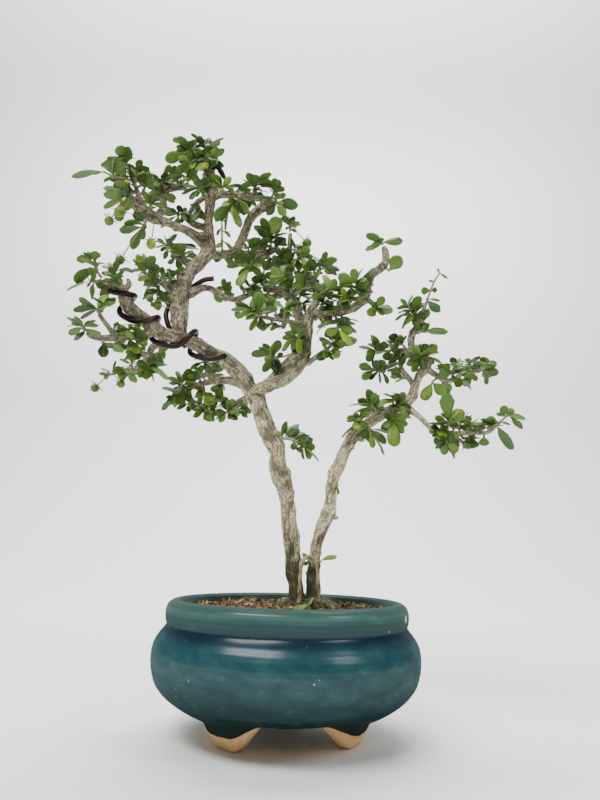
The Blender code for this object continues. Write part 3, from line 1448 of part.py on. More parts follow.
def main():
    for old in list(bpy.data.objects):
        bpy.data.objects.remove(old)
    collection = new_collection(NAME)
    working = new_collection("cutters")
    pot = make_pot(collection)
    soil = make_soil(collection, working)
    make_net(collection)
    wood = make_wood(collection, working)
    wires = make_wires(wood, collection)
    space = Space()
    space.add_object("pot", pot)
    space.add_object("soil", soil)
    space.add_object(WOOD_NAME, wood)
    for wire in wires:
        space.add_object(wire.name, wire)
    make_ripening_berry(wood, space, collection, working)
    make_sprays(wood, space, collection, working)
    for made in collection.objects:
        made.data.name = made.name


main()
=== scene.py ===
# %% [markdown]
# # A fukien tea bonsai in its glazed pot
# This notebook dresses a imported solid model: the solids already have every main form at its real
# place, and each step below lays a finer surface over one of them. The tree is two slim trunks from
# one root crown, a few wired branches and nearly two thousand small toothed leaves. The pot is a round
# bowl on three feet, thrown on a wheel and glazed blue-green.
# Shapes are worked out in millimetres and written to the meshes in metres.

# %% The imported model
import math
import random

import bpy
import numpy as np
from mathutils import Matrix, Vector
from mathutils.bvhtree import BVHTree


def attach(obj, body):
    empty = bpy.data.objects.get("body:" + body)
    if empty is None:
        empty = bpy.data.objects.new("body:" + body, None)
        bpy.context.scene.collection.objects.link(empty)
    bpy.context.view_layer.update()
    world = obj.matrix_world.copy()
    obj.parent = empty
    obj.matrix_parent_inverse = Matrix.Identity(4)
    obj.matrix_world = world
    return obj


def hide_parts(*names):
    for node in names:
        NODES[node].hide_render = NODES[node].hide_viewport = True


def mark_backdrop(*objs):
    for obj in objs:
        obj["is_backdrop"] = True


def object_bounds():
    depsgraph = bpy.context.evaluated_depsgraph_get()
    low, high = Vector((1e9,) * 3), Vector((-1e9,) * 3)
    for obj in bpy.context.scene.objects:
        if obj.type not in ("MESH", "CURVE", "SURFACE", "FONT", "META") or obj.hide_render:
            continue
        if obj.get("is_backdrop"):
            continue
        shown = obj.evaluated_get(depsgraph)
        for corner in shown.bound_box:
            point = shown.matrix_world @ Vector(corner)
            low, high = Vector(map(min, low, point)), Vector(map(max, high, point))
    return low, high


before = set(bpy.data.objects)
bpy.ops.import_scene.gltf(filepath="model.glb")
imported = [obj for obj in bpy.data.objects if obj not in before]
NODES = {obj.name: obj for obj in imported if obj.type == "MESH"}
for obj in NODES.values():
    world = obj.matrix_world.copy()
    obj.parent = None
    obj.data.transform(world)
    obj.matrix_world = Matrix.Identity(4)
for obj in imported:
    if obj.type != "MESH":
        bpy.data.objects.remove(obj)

MM = 0.001
CAD_BOX = [[float(value) for value in corner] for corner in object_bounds()]
LOW_CORNER, HIGH_CORNER = np.array(CAD_BOX) / MM
print("solids:", len(NODES), "box:", CAD_BOX)

# %% [markdown]
# ## The view
# The routes of branches and leaves were read off one photograph, so the first thing to set
# is its view: how far back the lens stood, how much it looked up and how long it was. A camera at
# that place then shows each point where the photograph does. The same numbers turn a picture point
# and a depth back into a place in space.

# %% The view's place and its axes
VIEW_PLACE = Vector((4.8, -415.6, 108.8))
VIEW_PITCH = 14.3
VIEW_ROLL = 1.36
FOCAL_PX = 605.0
PICTURE_SIZE = (600, 800)


def sight_axes():
    """Forward, right and up of a view that is pitched up and rolled a little."""
    pitch = math.radians(VIEW_PITCH)
    roll = math.radians(VIEW_ROLL)
    forward = Vector((0.0, math.cos(pitch), math.sin(pitch)))
    level_right = Vector((1.0, 0.0, 0.0))
    level_up = level_right.cross(forward)
    right = level_right * math.cos(roll) + level_up * math.sin(roll)
    up = level_up * math.cos(roll) - level_right * math.sin(roll)
    return forward, right, up


FORWARD, RIGHT, UP = sight_axes()


def sight_point(across, down, depth):
    """The place on a picture point's sight line that lies depth millimetres behind the pot's middle."""
    line = (
        FORWARD
        + RIGHT * ((across - PICTURE_SIZE[0] / 2) / FOCAL_PX)
        - UP * ((down - PICTURE_SIZE[1] / 2) / FOCAL_PX)
    )
    return VIEW_PLACE + line * ((depth - VIEW_PLACE.y) / line.y)


def pixel_size(point):
    """How many millimetres one pixel spans at a point's distance from the view."""
    return (point - VIEW_PLACE).dot(FORWARD) / FOCAL_PX


def picture_point(place):
    """Where the picture shows a place: across and down, in pixels."""
    offset = place - VIEW_PLACE
    scale = FOCAL_PX / offset.dot(FORWARD)
    return PICTURE_SIZE[0] / 2 + scale * offset.dot(RIGHT), PICTURE_SIZE[1] / 2 - scale * offset.dot(UP)


# %% The camera
def add_camera():
    """A camera at the view's place. Its lens is the focal length in pixels, scaled to a 36 mm sensor."""
    lens = bpy.data.cameras.new("camera")
    lens.sensor_width = 36.0
    lens.lens = FOCAL_PX / max(PICTURE_SIZE) * lens.sensor_width
    lens.clip_start = 0.01
    camera = bpy.data.objects.new("camera", lens)
    bpy.context.collection.objects.link(camera)
    turn = Matrix((RIGHT, UP, -FORWARD)).transposed()
    camera.matrix_world = Matrix.Translation(VIEW_PLACE * MM) @ turn.to_4x4()
    bpy.context.scene.camera = camera
    return camera


print("lens:", round(add_camera().data.lens, 2), "mm")

# %% [markdown]
# ## Surfaces from arrays
# Nearly every piece of a plant or a thrown pot is a grid of points: rings along a branch, rows
# along a leaf, a profile turned about an axis. It could be modelled by hand and subdivided, but a
# formula on whole arrays gives the same shape each time and is quick for two thousand leaves. One
# small class gathers such grids, with the values that their points carry for the shaders, and
# writes them to one mesh.

# %% Grids of points
class Sheets:
    """Surfaces gathered for one mesh: points in millimetres, faces, and values that points carry."""

    def __init__(self):
        self.points = []
        self.faces = []
        self.slots = []
        self.values = {}
        self.count = 0

    def add(self, points, faces, slot=0, **values):
        """Adds a surface. Each value is one number or one vector for every point."""
        points = np.asarray(points, dtype=float).reshape(-1, 3)
        self.points.append(points)
        self.faces += [(np.asarray(block) + self.count).tolist() for block in faces]
        self.slots += [slot] * sum(len(block) for block in faces)
        for name, value in values.items():
            value = np.asarray(value, dtype=float)
            wide = (len(points), 3) if value.shape[-1:] == (3,) else (len(points),)
            self.values.setdefault(name, []).append(np.broadcast_to(value, wide))
        self.count += len(points)

    def piece(self, name, materials, smooth=True):
        """One object of all surfaces added, at the origin, its points written in metres."""
        mesh = bpy.data.meshes.new(name)
        points = np.concatenate(self.points) * MM
        mesh.from_pydata(points, [], [face for block in self.faces for face in block])
        for material in materials:
            mesh.materials.append(material)
        mesh.polygons.foreach_set("material_index", np.array(self.slots, dtype=np.int32))
        mesh.polygons.foreach_set("use_smooth", np.full(len(mesh.polygons), smooth))
        for label, blocks in self.values.items():
            block = np.concatenate(blocks).astype(np.float32)
            kind, field = ("FLOAT", "value") if block.ndim == 1 else ("FLOAT_VECTOR", "vector")
            mesh.attributes.new(label, kind, "POINT").data.foreach_set(field, block.ravel())
        mesh.validate()
        mesh.update()
        made = bpy.data.objects.new(name, mesh)
        bpy.context.collection.objects.link(made)
        return made


def grid_faces(rows, columns, around=False, over=False):
    """Quads of a grid of rows by columns; around joins the last column to the first, over the rows."""
    row = np.arange(rows if over else rows - 1)[:, None]
    column = np.arange(columns if around else columns - 1)[None, :]
    next_row = (row + 1) % rows
    next_column = (column + 1) % columns
    corners = (row * columns + column, row * columns + next_column,
               next_row * columns + next_column, next_row * columns + column)
    wide = [np.broadcast_to(corner, (row.size, column.size)) for corner in corners]
    return np.stack(wide, -1).reshape(-1, 4)


def fan_faces(point, start, sides, flipped=False):
    """Triangles from one point to the ring of points that begins at start."""
    ring = start + np.arange(sides)
    after = np.roll(ring, -1)
    return np.stack([np.full(sides, point), *((after, ring) if flipped else (ring, after))], -1)


def unit(vectors):
    return vectors / np.maximum(np.linalg.norm(vectors, axis=-1, keepdims=True), 1e-9)


def eased(value, low, high):
    """0 below low, 1 above high, and a smooth S between them."""
    share = np.clip((value - low) / (high - low), 0.0, 1.0)
    return share * share * (3.0 - 2.0 * share)


# %% Smooth random relief
HASH_PRIMES = np.array((73856093, 19349663, 83492791))
SEED_PRIME = 2654435761
MIX_PRIME = 1274126177


def relief(points, size, seed=0):
    """Value noise from -1 to 1: each lattice corner of a size gets a hashed number, and a point
    takes the smooth mix of the eight corners round it."""
    places = np.asarray(points, dtype=float) / size
    cell = np.floor(places).astype(np.int64)
    share = places - cell
    share = share * share * (3.0 - 2.0 * share)
    total = np.zeros(places.shape[:-1])
    for corner in np.ndindex(2, 2, 2):
        key = (cell + np.array(corner)) * HASH_PRIMES
        mixed = key[..., 0] ^ key[..., 1] ^ key[..., 2] ^ (seed + 1) * SEED_PRIME
        mixed = (mixed ^ (mixed >> 13)) * MIX_PRIME & 0x7FFFFFFF
        mixed = (mixed ^ (mixed >> 16)) & 0xFFFF
        weight = np.prod(np.where(np.array(corner) == 1, share, 1.0 - share), axis=-1)
        total += weight * (mixed / 32767.5 - 1.0)
    return total


def layered(points, size, layers=3, seed=0):
    """Relief in layers, each half the size and half the height of the one before."""
    return sum(relief(points, size / 2**layer, seed + layer) / 2**layer for layer in range(layers))


# %% Curves and tubes
def smooth_path(knots, spacing):
    """Points about spacing apart on the Catmull-Rom curve through knots, which may carry radii too."""
    knots = np.asarray(knots, dtype=float)
    ends = np.vstack([2 * knots[0] - knots[1], knots, 2 * knots[-1] - knots[-2]])
    rows = []
    for before, start, end, after in zip(ends, ends[1:], ends[2:], ends[3:]):
        count = max(1, round(float(np.linalg.norm((end - start)[:3])) / spacing))
        t = (np.arange(count) / count)[:, None]
        rows.append(
            start * (2 * t**3 - 3 * t**2 + 1) + (end - before) / 2 * (t**3 - 2 * t**2 + t)
            + end * (3 * t**2 - 2 * t**3) + (after - start) / 2 * (t**3 - t**2)
        )
    rows.append(knots[-1:])
    return np.vstack(rows)


def path_frames(points):
    """Directions along a path and two across it, turned as little as can be from ring to ring."""
    along = unit(np.gradient(points, axis=0))
    across = np.empty_like(points)
    start = np.cross(along[0], np.array(FORWARD))
    across[0] = unit(start if np.linalg.norm(start) > 0.1 else np.cross(along[0], np.array(UP)))
    for ring in range(1, len(points)):
        across[ring] = unit(across[ring - 1] - along[ring] * (across[ring - 1] @ along[ring]))
    return along, across, np.cross(along, across)


def path_lengths(points):
    return np.concatenate([[0.0], np.cumsum(np.linalg.norm(np.diff(points, axis=0), axis=1))])


def tube(points, radii, sides, swell=None):
    """A closed tube: ring i is centre + radius * (cos a * across + sin a * over), and two end points
    close it. swell(length along, angle) scales the radius. Returns points, faces, and the grain
    coordinate (two across the tube, one along it) that follows the wood."""
    along, across, over = path_frames(points)
    angle = np.linspace(0.0, 2.0 * math.pi, sides, endpoint=False)[None, :, None]
    length = path_lengths(points)
    radius = np.asarray(radii, dtype=float)[:, None]
    if swell is not None:
        radius = radius * swell(length[:, None], angle[..., 0])
    outwards = np.cos(angle) * across[:, None] + np.sin(angle) * over[:, None]
    body = (points[:, None] + radius[..., None] * outwards).reshape(-1, 3)
    ends = fan_faces(len(body), 0, sides, flipped=True), fan_faces(len(body) + 1, len(body) - sides, sides)
    turn = np.broadcast_to(angle[..., 0], (len(points), sides))
    flat = np.broadcast_to(radius, turn.shape)
    forward = np.broadcast_to(length[:, None], turn.shape)
    grain = np.stack([flat * np.cos(turn), flat * np.sin(turn), forward], -1)
    grain = np.vstack([grain.reshape(-1, 3), [[0, 0, 0], [0, 0, length[-1]]]])
    faces = [grid_faces(len(points), sides, around=True), *ends]
    return np.vstack([body, points[:1], points[-1:]]), faces, grain


# %% [markdown]
# ## Shader sums
# A finish is easiest to read as arithmetic: this much dirt in the hollows, that much green near
# the rim. Each number in a shader is a socket, so a small class wraps a socket and lets Python's
# operators add the Math nodes. Colours go through Mix, since a Math node would turn them grey.

# %% Sockets as values
class Value:
    """A number that varies over a surface. Sums on it add Math nodes to its finish."""

    def __init__(self, finish, socket):
        self.finish = finish
        self.socket = socket

    def math(self, operation, *terms):
        return self.finish.node("ShaderNodeMath", {"operation": operation}, dict(enumerate(terms)))

    def __add__(self, other):
        return self.math("ADD", self, other)

    def __sub__(self, other):
        return self.math("SUBTRACT", self, other)

    def __rsub__(self, other):
        return self.math("SUBTRACT", other, self)

    def __mul__(self, other):
        return self.math("MULTIPLY", self, other)

    def __abs__(self):
        return self.math("ABSOLUTE", self)

    __radd__ = __add__
    __rmul__ = __mul__

    def between(self, low, high):
        """0 at low and 1 at high, smooth between them; low may be the larger."""
        settings = {"interpolation_type": "SMOOTHSTEP"}
        return self.finish.node("ShaderNodeMapRange", settings, {0: self, 1: low, 2: high})


class Finish:
    """A material, and the one way to add nodes to it."""

    def __init__(self, name, **constants):
        self.material = bpy.data.materials.new(name)
        self.material.use_nodes = True
        self.tree = self.material.node_tree
        self.shader = self.tree.nodes["Principled BSDF"]
        for label, value in constants.items():
            self.shader.inputs[label.replace("_", " ").title().replace("Ior", "IOR")].default_value = value

    def node(self, kind, settings=None, inputs=None, output=0):
        """Adds a node: its settings first, with a ramp's stops, then its sockets' values and links."""
        made = self.tree.nodes.new(kind)
        for label, value in (settings or {}).items():
            if label == "stops":
                ramp = made.color_ramp.elements
                while len(ramp) < len(value):
                    ramp.new(1.0)
                for stop, (place, color) in zip(ramp, value):
                    stop.position = place
                    stop.color = (*color, 1.0)
            else:
                setattr(made, label, value)
        for label, value in (inputs or {}).items():
            self.feed(made.inputs[label], value)
        return Value(self, made.outputs[output])

    def feed(self, socket, value):
        """Links a value to a socket, or sets the socket to a constant."""
        if isinstance(value, Value):
            self.tree.links.new(value.socket, socket)
        elif isinstance(value, tuple) and len(value) == 3 and socket.type == "RGBA":
            socket.default_value = (*value, 1.0)
        else:
            socket.default_value = value

    def place(self):
        """Object coordinates in metres."""
        return self.node("ShaderNodeTexCoord", output="Object")

    def part(self, vector, part):
        return self.node("ShaderNodeSeparateXYZ", {}, {0: vector}, output="XYZ".index(part))

    def carried(self, label, part=None):
        """A value or vector that the surface's points carry."""
        if part is None:
            return self.node("ShaderNodeAttribute", {"attribute_name": label}, output="Fac")
        whole = self.node("ShaderNodeAttribute", {"attribute_name": label}, output="Vector")
        return whole if part == "XYZ" else self.part(whole, part)

    def stretched(self, vector, scale):
        """A vector with each part scaled."""
        return self.node("ShaderNodeVectorMath", {"operation": "MULTIPLY"}, {0: vector, 1: scale})

    def distance(self, vector, middle=(0.0, 0.0, 0.0)):
        """How far a place lies from a middle, in metres."""
        return self.node("ShaderNodeVectorMath", {"operation": "DISTANCE"}, {0: vector, 1: middle}, "Value")

    def noise(self, vector, scale, detail=3.0, roughness=0.5):
        settings = {"Vector": vector, "Scale": scale, "Detail": detail, "Roughness": roughness}
        return self.node("ShaderNodeTexNoise", {}, settings)

    def cells(self, vector, scale, feature="F1", output="Distance"):
        inputs = {"Vector": vector, "Scale": scale}
        return self.node("ShaderNodeTexVoronoi", {"feature": feature}, inputs, output)

    def mix(self, share, first, second):
        """A colour between two colours."""
        return self.node("ShaderNodeMix", {"data_type": "RGBA"}, {0: share, 6: first, 7: second}, output=2)

    def coats(self, color, *layers):
        """A colour with others laid over it in turn, each given as (share, colour)."""
        for share, over in layers:
            color = self.mix(share, color, over)
        return color

    def ramp(self, share, *stops):
        """A colour read off a ramp of (place, colour) stops."""
        return self.node("ShaderNodeValToRGB", {"stops": stops}, {0: share}, output="Color")

    def bump(self, height, distance, strength=1.0, below=None):
        """A normal from a height in units of distance, laid over the bump below it."""
        inputs = {"Strength": strength, "Distance": distance, "Height": height}
        if below is not None:
            inputs["Normal"] = below
        return self.node("ShaderNodeBump", {}, inputs)

    def paint(self, **inputs):
        """Feeds the shader's own sockets, and gives back the finished material."""
        for label, value in inputs.items():
            self.feed(self.shader.inputs[label.replace("_", " ").title()], value)
        return self.material


def shown(name, slot, made, *nodes):
    """Sets a finished piece on the one body and hides the solids it stands for; slot, the name of its finish,
    is not used.
    """
    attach(made, "root")
    if nodes:
        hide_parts(*nodes)
    print(name, "faces:", len(made.data.polygons))
    return made


# %% [markdown]
# ## The pot
# A bonsai bowl like this is thrown on a wheel: a rolled rim, a full belly, and a foot ring that is
# cut away between three feet. So the fine pot is one profile turned about the Z axis. Its outer side
# runs through points read off the photograph; the inside is a plain wall that the soil hides.
# The feet come from the same turning: below the skirt, the ring's drop is scaled by a share that
# goes round the axis, which is 1 at each foot and nearly 0 between feet.

# %% The pot's profile and feet
POT_TOP = 80.0
POT_RADIUS = 84.9
SKIRT_TOP = 13.0
FEET = ((-86.0, -55.0, -38.0, -11.0), (22.0, 58.0, 85.0, 120.0), (158.0, 189.0, 205.0, 236.0))
SKIRT_SHARE_BETWEEN_FEET = 0.07
SKIRT_LIFT = 4.2
SKIRT_LIFT_TOP = 26.0
SKIRT_LIFT_FALL = 13.0
SKIRT_LIFT_RADII = (28.0, 38.0)
DRAIN_EDGE = 12.0
POT_COLUMNS = 288
POT_ROW_SPACING = 1.0

# The profile as (radius, height) in millimetres: the outside from the rim's inner edge down, then the inside
POT_OUTSIDE = (
    (66.6, 75.5), (68, 78.4), (71, 79.9), (74.2, 79.3), (76.6, 77.2), (77.8, 73.9), (77.9, 70.2),
    (77.5, 67.2), (76.9, 65.5), (78, 63.4), (80.2, 60.8), (82.3, 57.8), (84, 54.2), (84.85, 50), (85, 46.4),
    (84.7, 42), (83.9, 38), (82.3, 33), (79.3, 28.5), (75.6, 24.8), (70.8, 21.3), (65, 17.9), (58.5, 14.8),
    (55.2, 12.7), (53, 9.8), (50.6, 5.2), (48.2, 1.3), (46.6, 0.1), (41.2, 0.1), (39.6, 2.2), (38.2, 8),
    (37.4, SKIRT_TOP - 0.2),
)
POT_INSIDE = (
    (30, SKIRT_TOP), (9.2, SKIRT_TOP), (9, 15.5), (9.2, 18.5), (30, 18.5), (56, 18.6), (66, 24), (74, 31.2),
    (78.2, 42), (77.6, 50), (70.4, 63.6), (67, 69), (66.2, 72.5),
)


def foot_share(angle):
    """How far the foot ring reaches down at an angle in degrees: each foot starts at its first
    angle, is flat between the next two and ends at the last, with an eased slope at both sides."""
    fall = 0.0 * angle
    for start, full, last, end in FEET:
        past = (angle - start) % 360.0
        fall = np.maximum(fall, eased(past, 0.0, full - start) * eased(end - start - past, 0.0, end - last))
    return SKIRT_SHARE_BETWEEN_FEET + (1.0 - SKIRT_SHARE_BETWEEN_FEET) * fall


def pot_surface():
    """Point (row, angle) = (r sin a, -r cos a, z) of the profile's (r, z), with throwing rings of
    a tenth of a millimetre, and with z below the skirt's top drawn up between the feet. The second
    array is each point's height on the profile before it was drawn up."""
    knots = [(radius, height, 0.0) for radius, height in POT_OUTSIDE + POT_INSIDE]
    outline = smooth_path(knots, POT_ROW_SPACING)
    radius, height = outline[:, 0:1], outline[:, 1:2]
    angle = np.linspace(0.0, 2.0 * math.pi, POT_COLUMNS, endpoint=False)[None, :]
    lower = (height < SKIRT_TOP) & (radius > DRAIN_EDGE)
    share = foot_share(np.degrees(angle))
    lift = SKIRT_LIFT * (1.0 - share) / (1.0 - SKIRT_SHARE_BETWEEN_FEET)
    lift = lift * eased(SKIRT_LIFT_TOP - height, 0.0, SKIRT_LIFT_FALL) * eased(radius, *SKIRT_LIFT_RADII)
    lift = lift * (height < SKIRT_LIFT_TOP)
    z = np.where(lower, SKIRT_TOP - (SKIRT_TOP - height) * share, height) + lift
    around = np.stack([radius * np.sin(angle), -radius * np.cos(angle), z], -1)
    rings = 0.08 * np.sin(height * 1.9 + 0.6 * np.sin(angle))
    rings = rings * eased(height, 16.0, 24.0) * eased(66.0, height, 68.0)
    wobble = 0.12 * layered(around, 22.0, seed=3)
    r = np.minimum(radius - 0.1 + (rings + wobble) * (height > 14.0), POT_RADIUS)
    turned = np.stack([r * np.sin(angle), -r * np.cos(angle), np.clip(z, 0.0, POT_TOP)], -1)
    return turned, height + 0.0 * angle


# %% [markdown]
# The glaze was poured over a tan stoneware body. It runs while it melts: it is thin and green on
# the rim, pools dark blue in the groove under the rim, and turns to a soft teal on the belly, with
# pinholes where gas escaped. Wax kept it off the lower feet, so bare orange clay shows there. The
# shader lays coats of colour over each other, each where the height, noise or a small spot says.
# Three coats are painted light: a painted highlight band on the rim, and painted shade under the
# belly and inside the rim.

# %% The glaze
CHIP_PLACE = (0.0716, -0.0303, 0.0722)


def make_glaze():
    """Teal, greener on the rim with a painted highlight band, dark blue in the groove, painted shade under
    the belly and inside the rim, tan clay on the feet.
    """
    glaze = Finish("glaze", coat_roughness=0.25, coat_ior=3.0, specular_ior_level=0.0)
    place = glaze.place()
    height = glaze.part(place, "Z") * 1000.0
    drift = glaze.noise(place, 28.0, 3.0)
    cloud = glaze.noise(glaze.stretched(place, (1.0, 1.0, 2.4)), 60.0, 4.0, 0.6)
    level = height + (drift - 0.5) * 9.0
    belly = glaze.ramp(
        cloud.between(0.22, 0.8), (0.0, (0.008, 0.038, 0.047)), (0.5, (0.015, 0.058, 0.064)),
        (1.0, (0.028, 0.084, 0.084))
    )
    # Rim colour by height: the light band about three quarters up the rim is a painted highlight on its
    # rounded outer face; the ramp is darker below it and at the very top.
    rim = glaze.ramp(
        (height + (drift - 0.5) * 4.0).between(66.0, 80.0),
        (0.0, (0.006, 0.032, 0.036)), (0.4, (0.016, 0.056, 0.053)), (0.75, (0.048, 0.110, 0.094)),
        (1.0, (0.026, 0.062, 0.055))
    )
    groove = level.between(58.0, 64.0) * height.between(67.4, 65.2)
    # Painted shade: the glaze inside the rim is darkened where the inside of the bowl lies in shade.
    inside = glaze.distance(glaze.stretched(place, (1.0, 1.0, 0.0))).between(0.0725, 0.0690)
    milky = glaze.noise(place, 150.0, 2.0).between(0.56, 0.8) * cloud.between(0.45, 0.75)
    specks = glaze.cells(place, 300.0).between(0.16, 0.05) * glaze.noise(place, 75.0, 1.0).between(0.56, 0.62)
    crumbs = glaze.cells(place, 120.0).between(0.07, 0.02) * glaze.noise(place, 30.0, 0.0).between(0.60, 0.63)
    chip = glaze.distance(place, CHIP_PLACE) + glaze.noise(place, 900.0) * 0.002
    profile = glaze.carried("profile")
    edge = glaze.noise(place, 90.0, 2.0) * 2.2 + 6.6
    bare = (edge - profile).between(-0.3, 0.3)
    pooled = (edge - profile).between(-2.0, -0.2) * (1.0 - bare)
    clay_grain = glaze.noise(place, 900.0, 4.0, 0.65)
    clay = glaze.coats(
        glaze.mix(clay_grain.between(0.3, 0.7), (0.84, 0.46, 0.19), (0.98, 0.70, 0.39)),
        (profile.between(3.0, 9.0) * 0.7, (0.80, 0.36, 0.13)),
        (glaze.noise(place, 260.0, 3.0).between(0.5, 0.68) * 0.25, (0.46, 0.28, 0.14)),
    )
    color = glaze.coats(
        belly,
        # Painted shade: the belly darkens towards the bottom, where it faces down, away from the light.
        (level.between(52.0, 17.0) * 0.95, (0.0015, 0.014, 0.016)),
        (level.between(50.0, 61.0) * 0.6, (0.010, 0.042, 0.060)),
        (groove * 0.9, (0.002, 0.014, 0.026)),
        (height.between(65.4, 68.4), rim),
        (inside * 0.85, (0.012, 0.028, 0.024)),
        (milky * 0.3, (0.12, 0.22, 0.22)),
        (specks * 0.8, (0.004, 0.010, 0.012)),
        (crumbs, (0.45, 0.52, 0.48)),
        (chip.between(0.0034, 0.0026), (0.55, 0.52, 0.33)),
        (pooled * 0.8, (0.003, 0.014, 0.020)),
        (bare, clay),
    )
    ripple = glaze.bump(glaze.noise(place, 110.0, 2.0), 0.00045, 0.4)
    pits = glaze.bump(1.0 - specks, 0.0002, 0.6, ripple)
    grit = glaze.bump(clay_grain * bare, 0.00025, 0.9, pits)
    rough = bare * 0.55 + 0.16 + drift * 0.14
    return glaze.paint(base_color=color, roughness=rough, coat_weight=0.08 - bare * 0.08, normal=grit)


# %% The pot's piece
def make_pot():
    surface = Sheets()
    points, profile = pot_surface()
    faces = grid_faces(len(points), POT_COLUMNS, around=True, over=True)
    surface.add(points, [faces], profile=profile.ravel())
    return shown("glazed_pot", "glaze", surface.piece("glazed_pot", [make_glaze()]), "pot")


make_pot()


# %% [markdown]
# ## The soil
# Bonsai soil is a sieved mix of baked clay, pumice and bark, in grains of 1 to 4 mm. Scattering
# instances would be the usual way, but an export drops them, so each grain is a real closed stone
# of 20 faces in one mesh. A bed in the darkest soil tone lies under them as painted shade for the
# gaps between the grains, and the grains are pushed a little into it.

# %% Soil bed and grains
SOIL_LEVEL = 74.3
SOIL_RADIUS = 65.0
SOIL_RISE = 2.2
SOIL_RISE_REACH = 30.0
CROWN_PLACE = (12.0, 0.5)
BED_COLUMNS = 90
BED_RINGS = 33
BED_SINK = 1.1
BED_UNDERSIDE = ((1.0, 66.0), (0.9, 48.0), (0.6, 40.0))
BED_BOTTOM = 39.0
GRAIN_COUNT = 6400
GRAIN_SIZES = (0.7, 3.3)
CHIP_SHARE = 0.22
CHIP_STRETCH = (2.3, 0.8, 0.4)
GRAIN_SINK = 0.9
MOSS_COUNT = 520
MOSS_START = 7.0
MOSS_REACH = 13.0


def soil_height(x, y):
    """The soil's top: a rise round the trunks that falls off as a bell, and low mounds."""
    apart = np.hypot(x - CROWN_PLACE[0], y - CROWN_PLACE[1])
    rise = SOIL_RISE * np.exp(-((apart / SOIL_RISE_REACH) ** 2))
    mounds = 0.7 * np.sin(x / 9.0 + 1.0) * np.cos(y / 11.0) + 0.4 * np.sin((x + 2.0 * y) / 7.0)
    return SOIL_LEVEL + rise + mounds


def soil_bed(surface):
    """A disc of rings at the soil's height, closed by a lower side that narrows to one point."""
    share = np.linspace(0.0, 1.0, BED_RINGS + 1)[1:, None]
    angle = np.linspace(0.0, 2.0 * math.pi, BED_COLUMNS, endpoint=False)[None, :]
    x, y = SOIL_RADIUS * share * np.sin(angle), SOIL_RADIUS * share * np.cos(angle)
    flat = np.stack([x, y, 0 * x], -1)
    top = np.stack([x, y, soil_height(x, y) - BED_SINK + 0.5 * layered(flat, 3.2, seed=11)], -1)
    under = [np.stack([x[-1] * part, y[-1] * part, 0.0 * x[-1] + z], -1) for part, z in BED_UNDERSIDE]
    rings = np.concatenate([top, under])
    body = rings.reshape(-1, 3)
    faces = [grid_faces(len(rings), BED_COLUMNS, around=True), fan_faces(len(body), 0, BED_COLUMNS),
             fan_faces(len(body) + 1, len(body) - BED_COLUMNS, BED_COLUMNS, flipped=True)]
    ends = [[0.0, 0.0, float(soil_height(0.0, 0.0)) - BED_SINK], [0.0, 0.0, BED_BOTTOM]]
    # The bed takes tone 0, the darkest colour of the mix: painted shade in the gaps between grains.
    surface.add(np.vstack([body, ends]), [block[:, ::-1] for block in faces], tone=0.0, moss=0.0)


def stone_shape():
    """A unit icosahedron: 12 points, 20 faces."""
    gold = (1.0 + math.sqrt(5.0)) / 2.0
    points = []
    for a in (-1.0, 1.0):
        for b in (-gold, gold):
            points += [(0.0, a, b), (a, b, 0.0), (b, 0.0, a)]
    points = unit(np.array(points))
    faces = []
    for i in range(12):
        for j in range(i + 1, 12):
            for k in range(j + 1, 12):
                corners = points[[i, j, k]]
                sides = [np.linalg.norm(corners[a] - corners[b]) for a, b in ((0, 1), (1, 2), (2, 0))]
                if max(sides) < 1.1:
                    outward = np.cross(corners[1] - corners[0], corners[2] - corners[0]) @ corners.sum(0) > 0
                    faces.append((i, j, k) if outward else (i, k, j))
    return points, np.array(faces)


def soil_grains(surface):
    """Stones at places spread evenly over the disc (radius by the root of a draw), each squashed
    and bent its own way, half sunk in the bed. Some are long chips of bark; moss sits by the roots."""
    draw = np.random.default_rng(17)
    count = GRAIN_COUNT + MOSS_COUNT
    moss = np.arange(count) >= GRAIN_COUNT
    radius = (SOIL_RADIUS - 1.0) * np.sqrt(draw.uniform(0.0, 1.0, count))
    angle = draw.uniform(0.0, 2.0 * math.pi, count)
    x, y = radius * np.sin(angle), radius * np.cos(angle)
    near = MOSS_START + MOSS_REACH * draw.uniform(0.0, 1.0, count) ** 1.5
    x = np.where(moss, CROWN_PLACE[0] + 1.25 * near * np.sin(angle), x)
    y = np.where(moss, CROWN_PLACE[1] + near * np.cos(angle), y)
    low, high = GRAIN_SIZES
    size = low + (high - low) * draw.uniform(0.0, 1.0, count) ** 2.8
    unit_points, unit_faces = stone_shape()
    stretch = draw.uniform(0.65, 1.2, (count, 1, 3))
    stretch[draw.uniform(0.0, 1.0, count) < CHIP_SHARE] *= CHIP_STRETCH
    stones = unit_points[None] * draw.uniform(0.6, 1.3, (count, len(unit_points), 1)) * stretch
    turn = unit(draw.normal(size=(count, 4)) * (1.0, 0.35, 0.35, 1.0))
    stones = turned_by(stones, turn) * (size * 0.62)[:, None, None]
    lift = soil_height(x, y) - GRAIN_SINK + size * 0.30 + draw.uniform(0.0, 0.9, count)
    stones = stones + np.stack([x, y, lift], -1)[:, None]
    faces = (unit_faces[None] + len(unit_points) * np.arange(count)[:, None, None]).reshape(-1, 3)
    tone = np.repeat(draw.uniform(0.02, 1.0, count), len(unit_points))
    moss = np.repeat(moss * draw.uniform(0.3, 1.0, count), len(unit_points))
    surface.add(stones.reshape(-1, 3), [faces], tone=tone, moss=moss)


def turned_by(points, turn):
    """Points of many bodies turned by unit quaternions: p + 2 w (v x p) + 2 v x (v x p)."""
    w, v = turn[:, None, :1], turn[:, None, 1:]
    first = np.cross(np.broadcast_to(v, points.shape), points)
    return points + 2.0 * w * first + 2.0 * np.cross(np.broadcast_to(v, points.shape), first)


# %% The soil's finish
# Middle of the painted shade round the trunks, in metres
TRUNK_SHADE_PLACE = (0.012, 0.0005, 0.076)


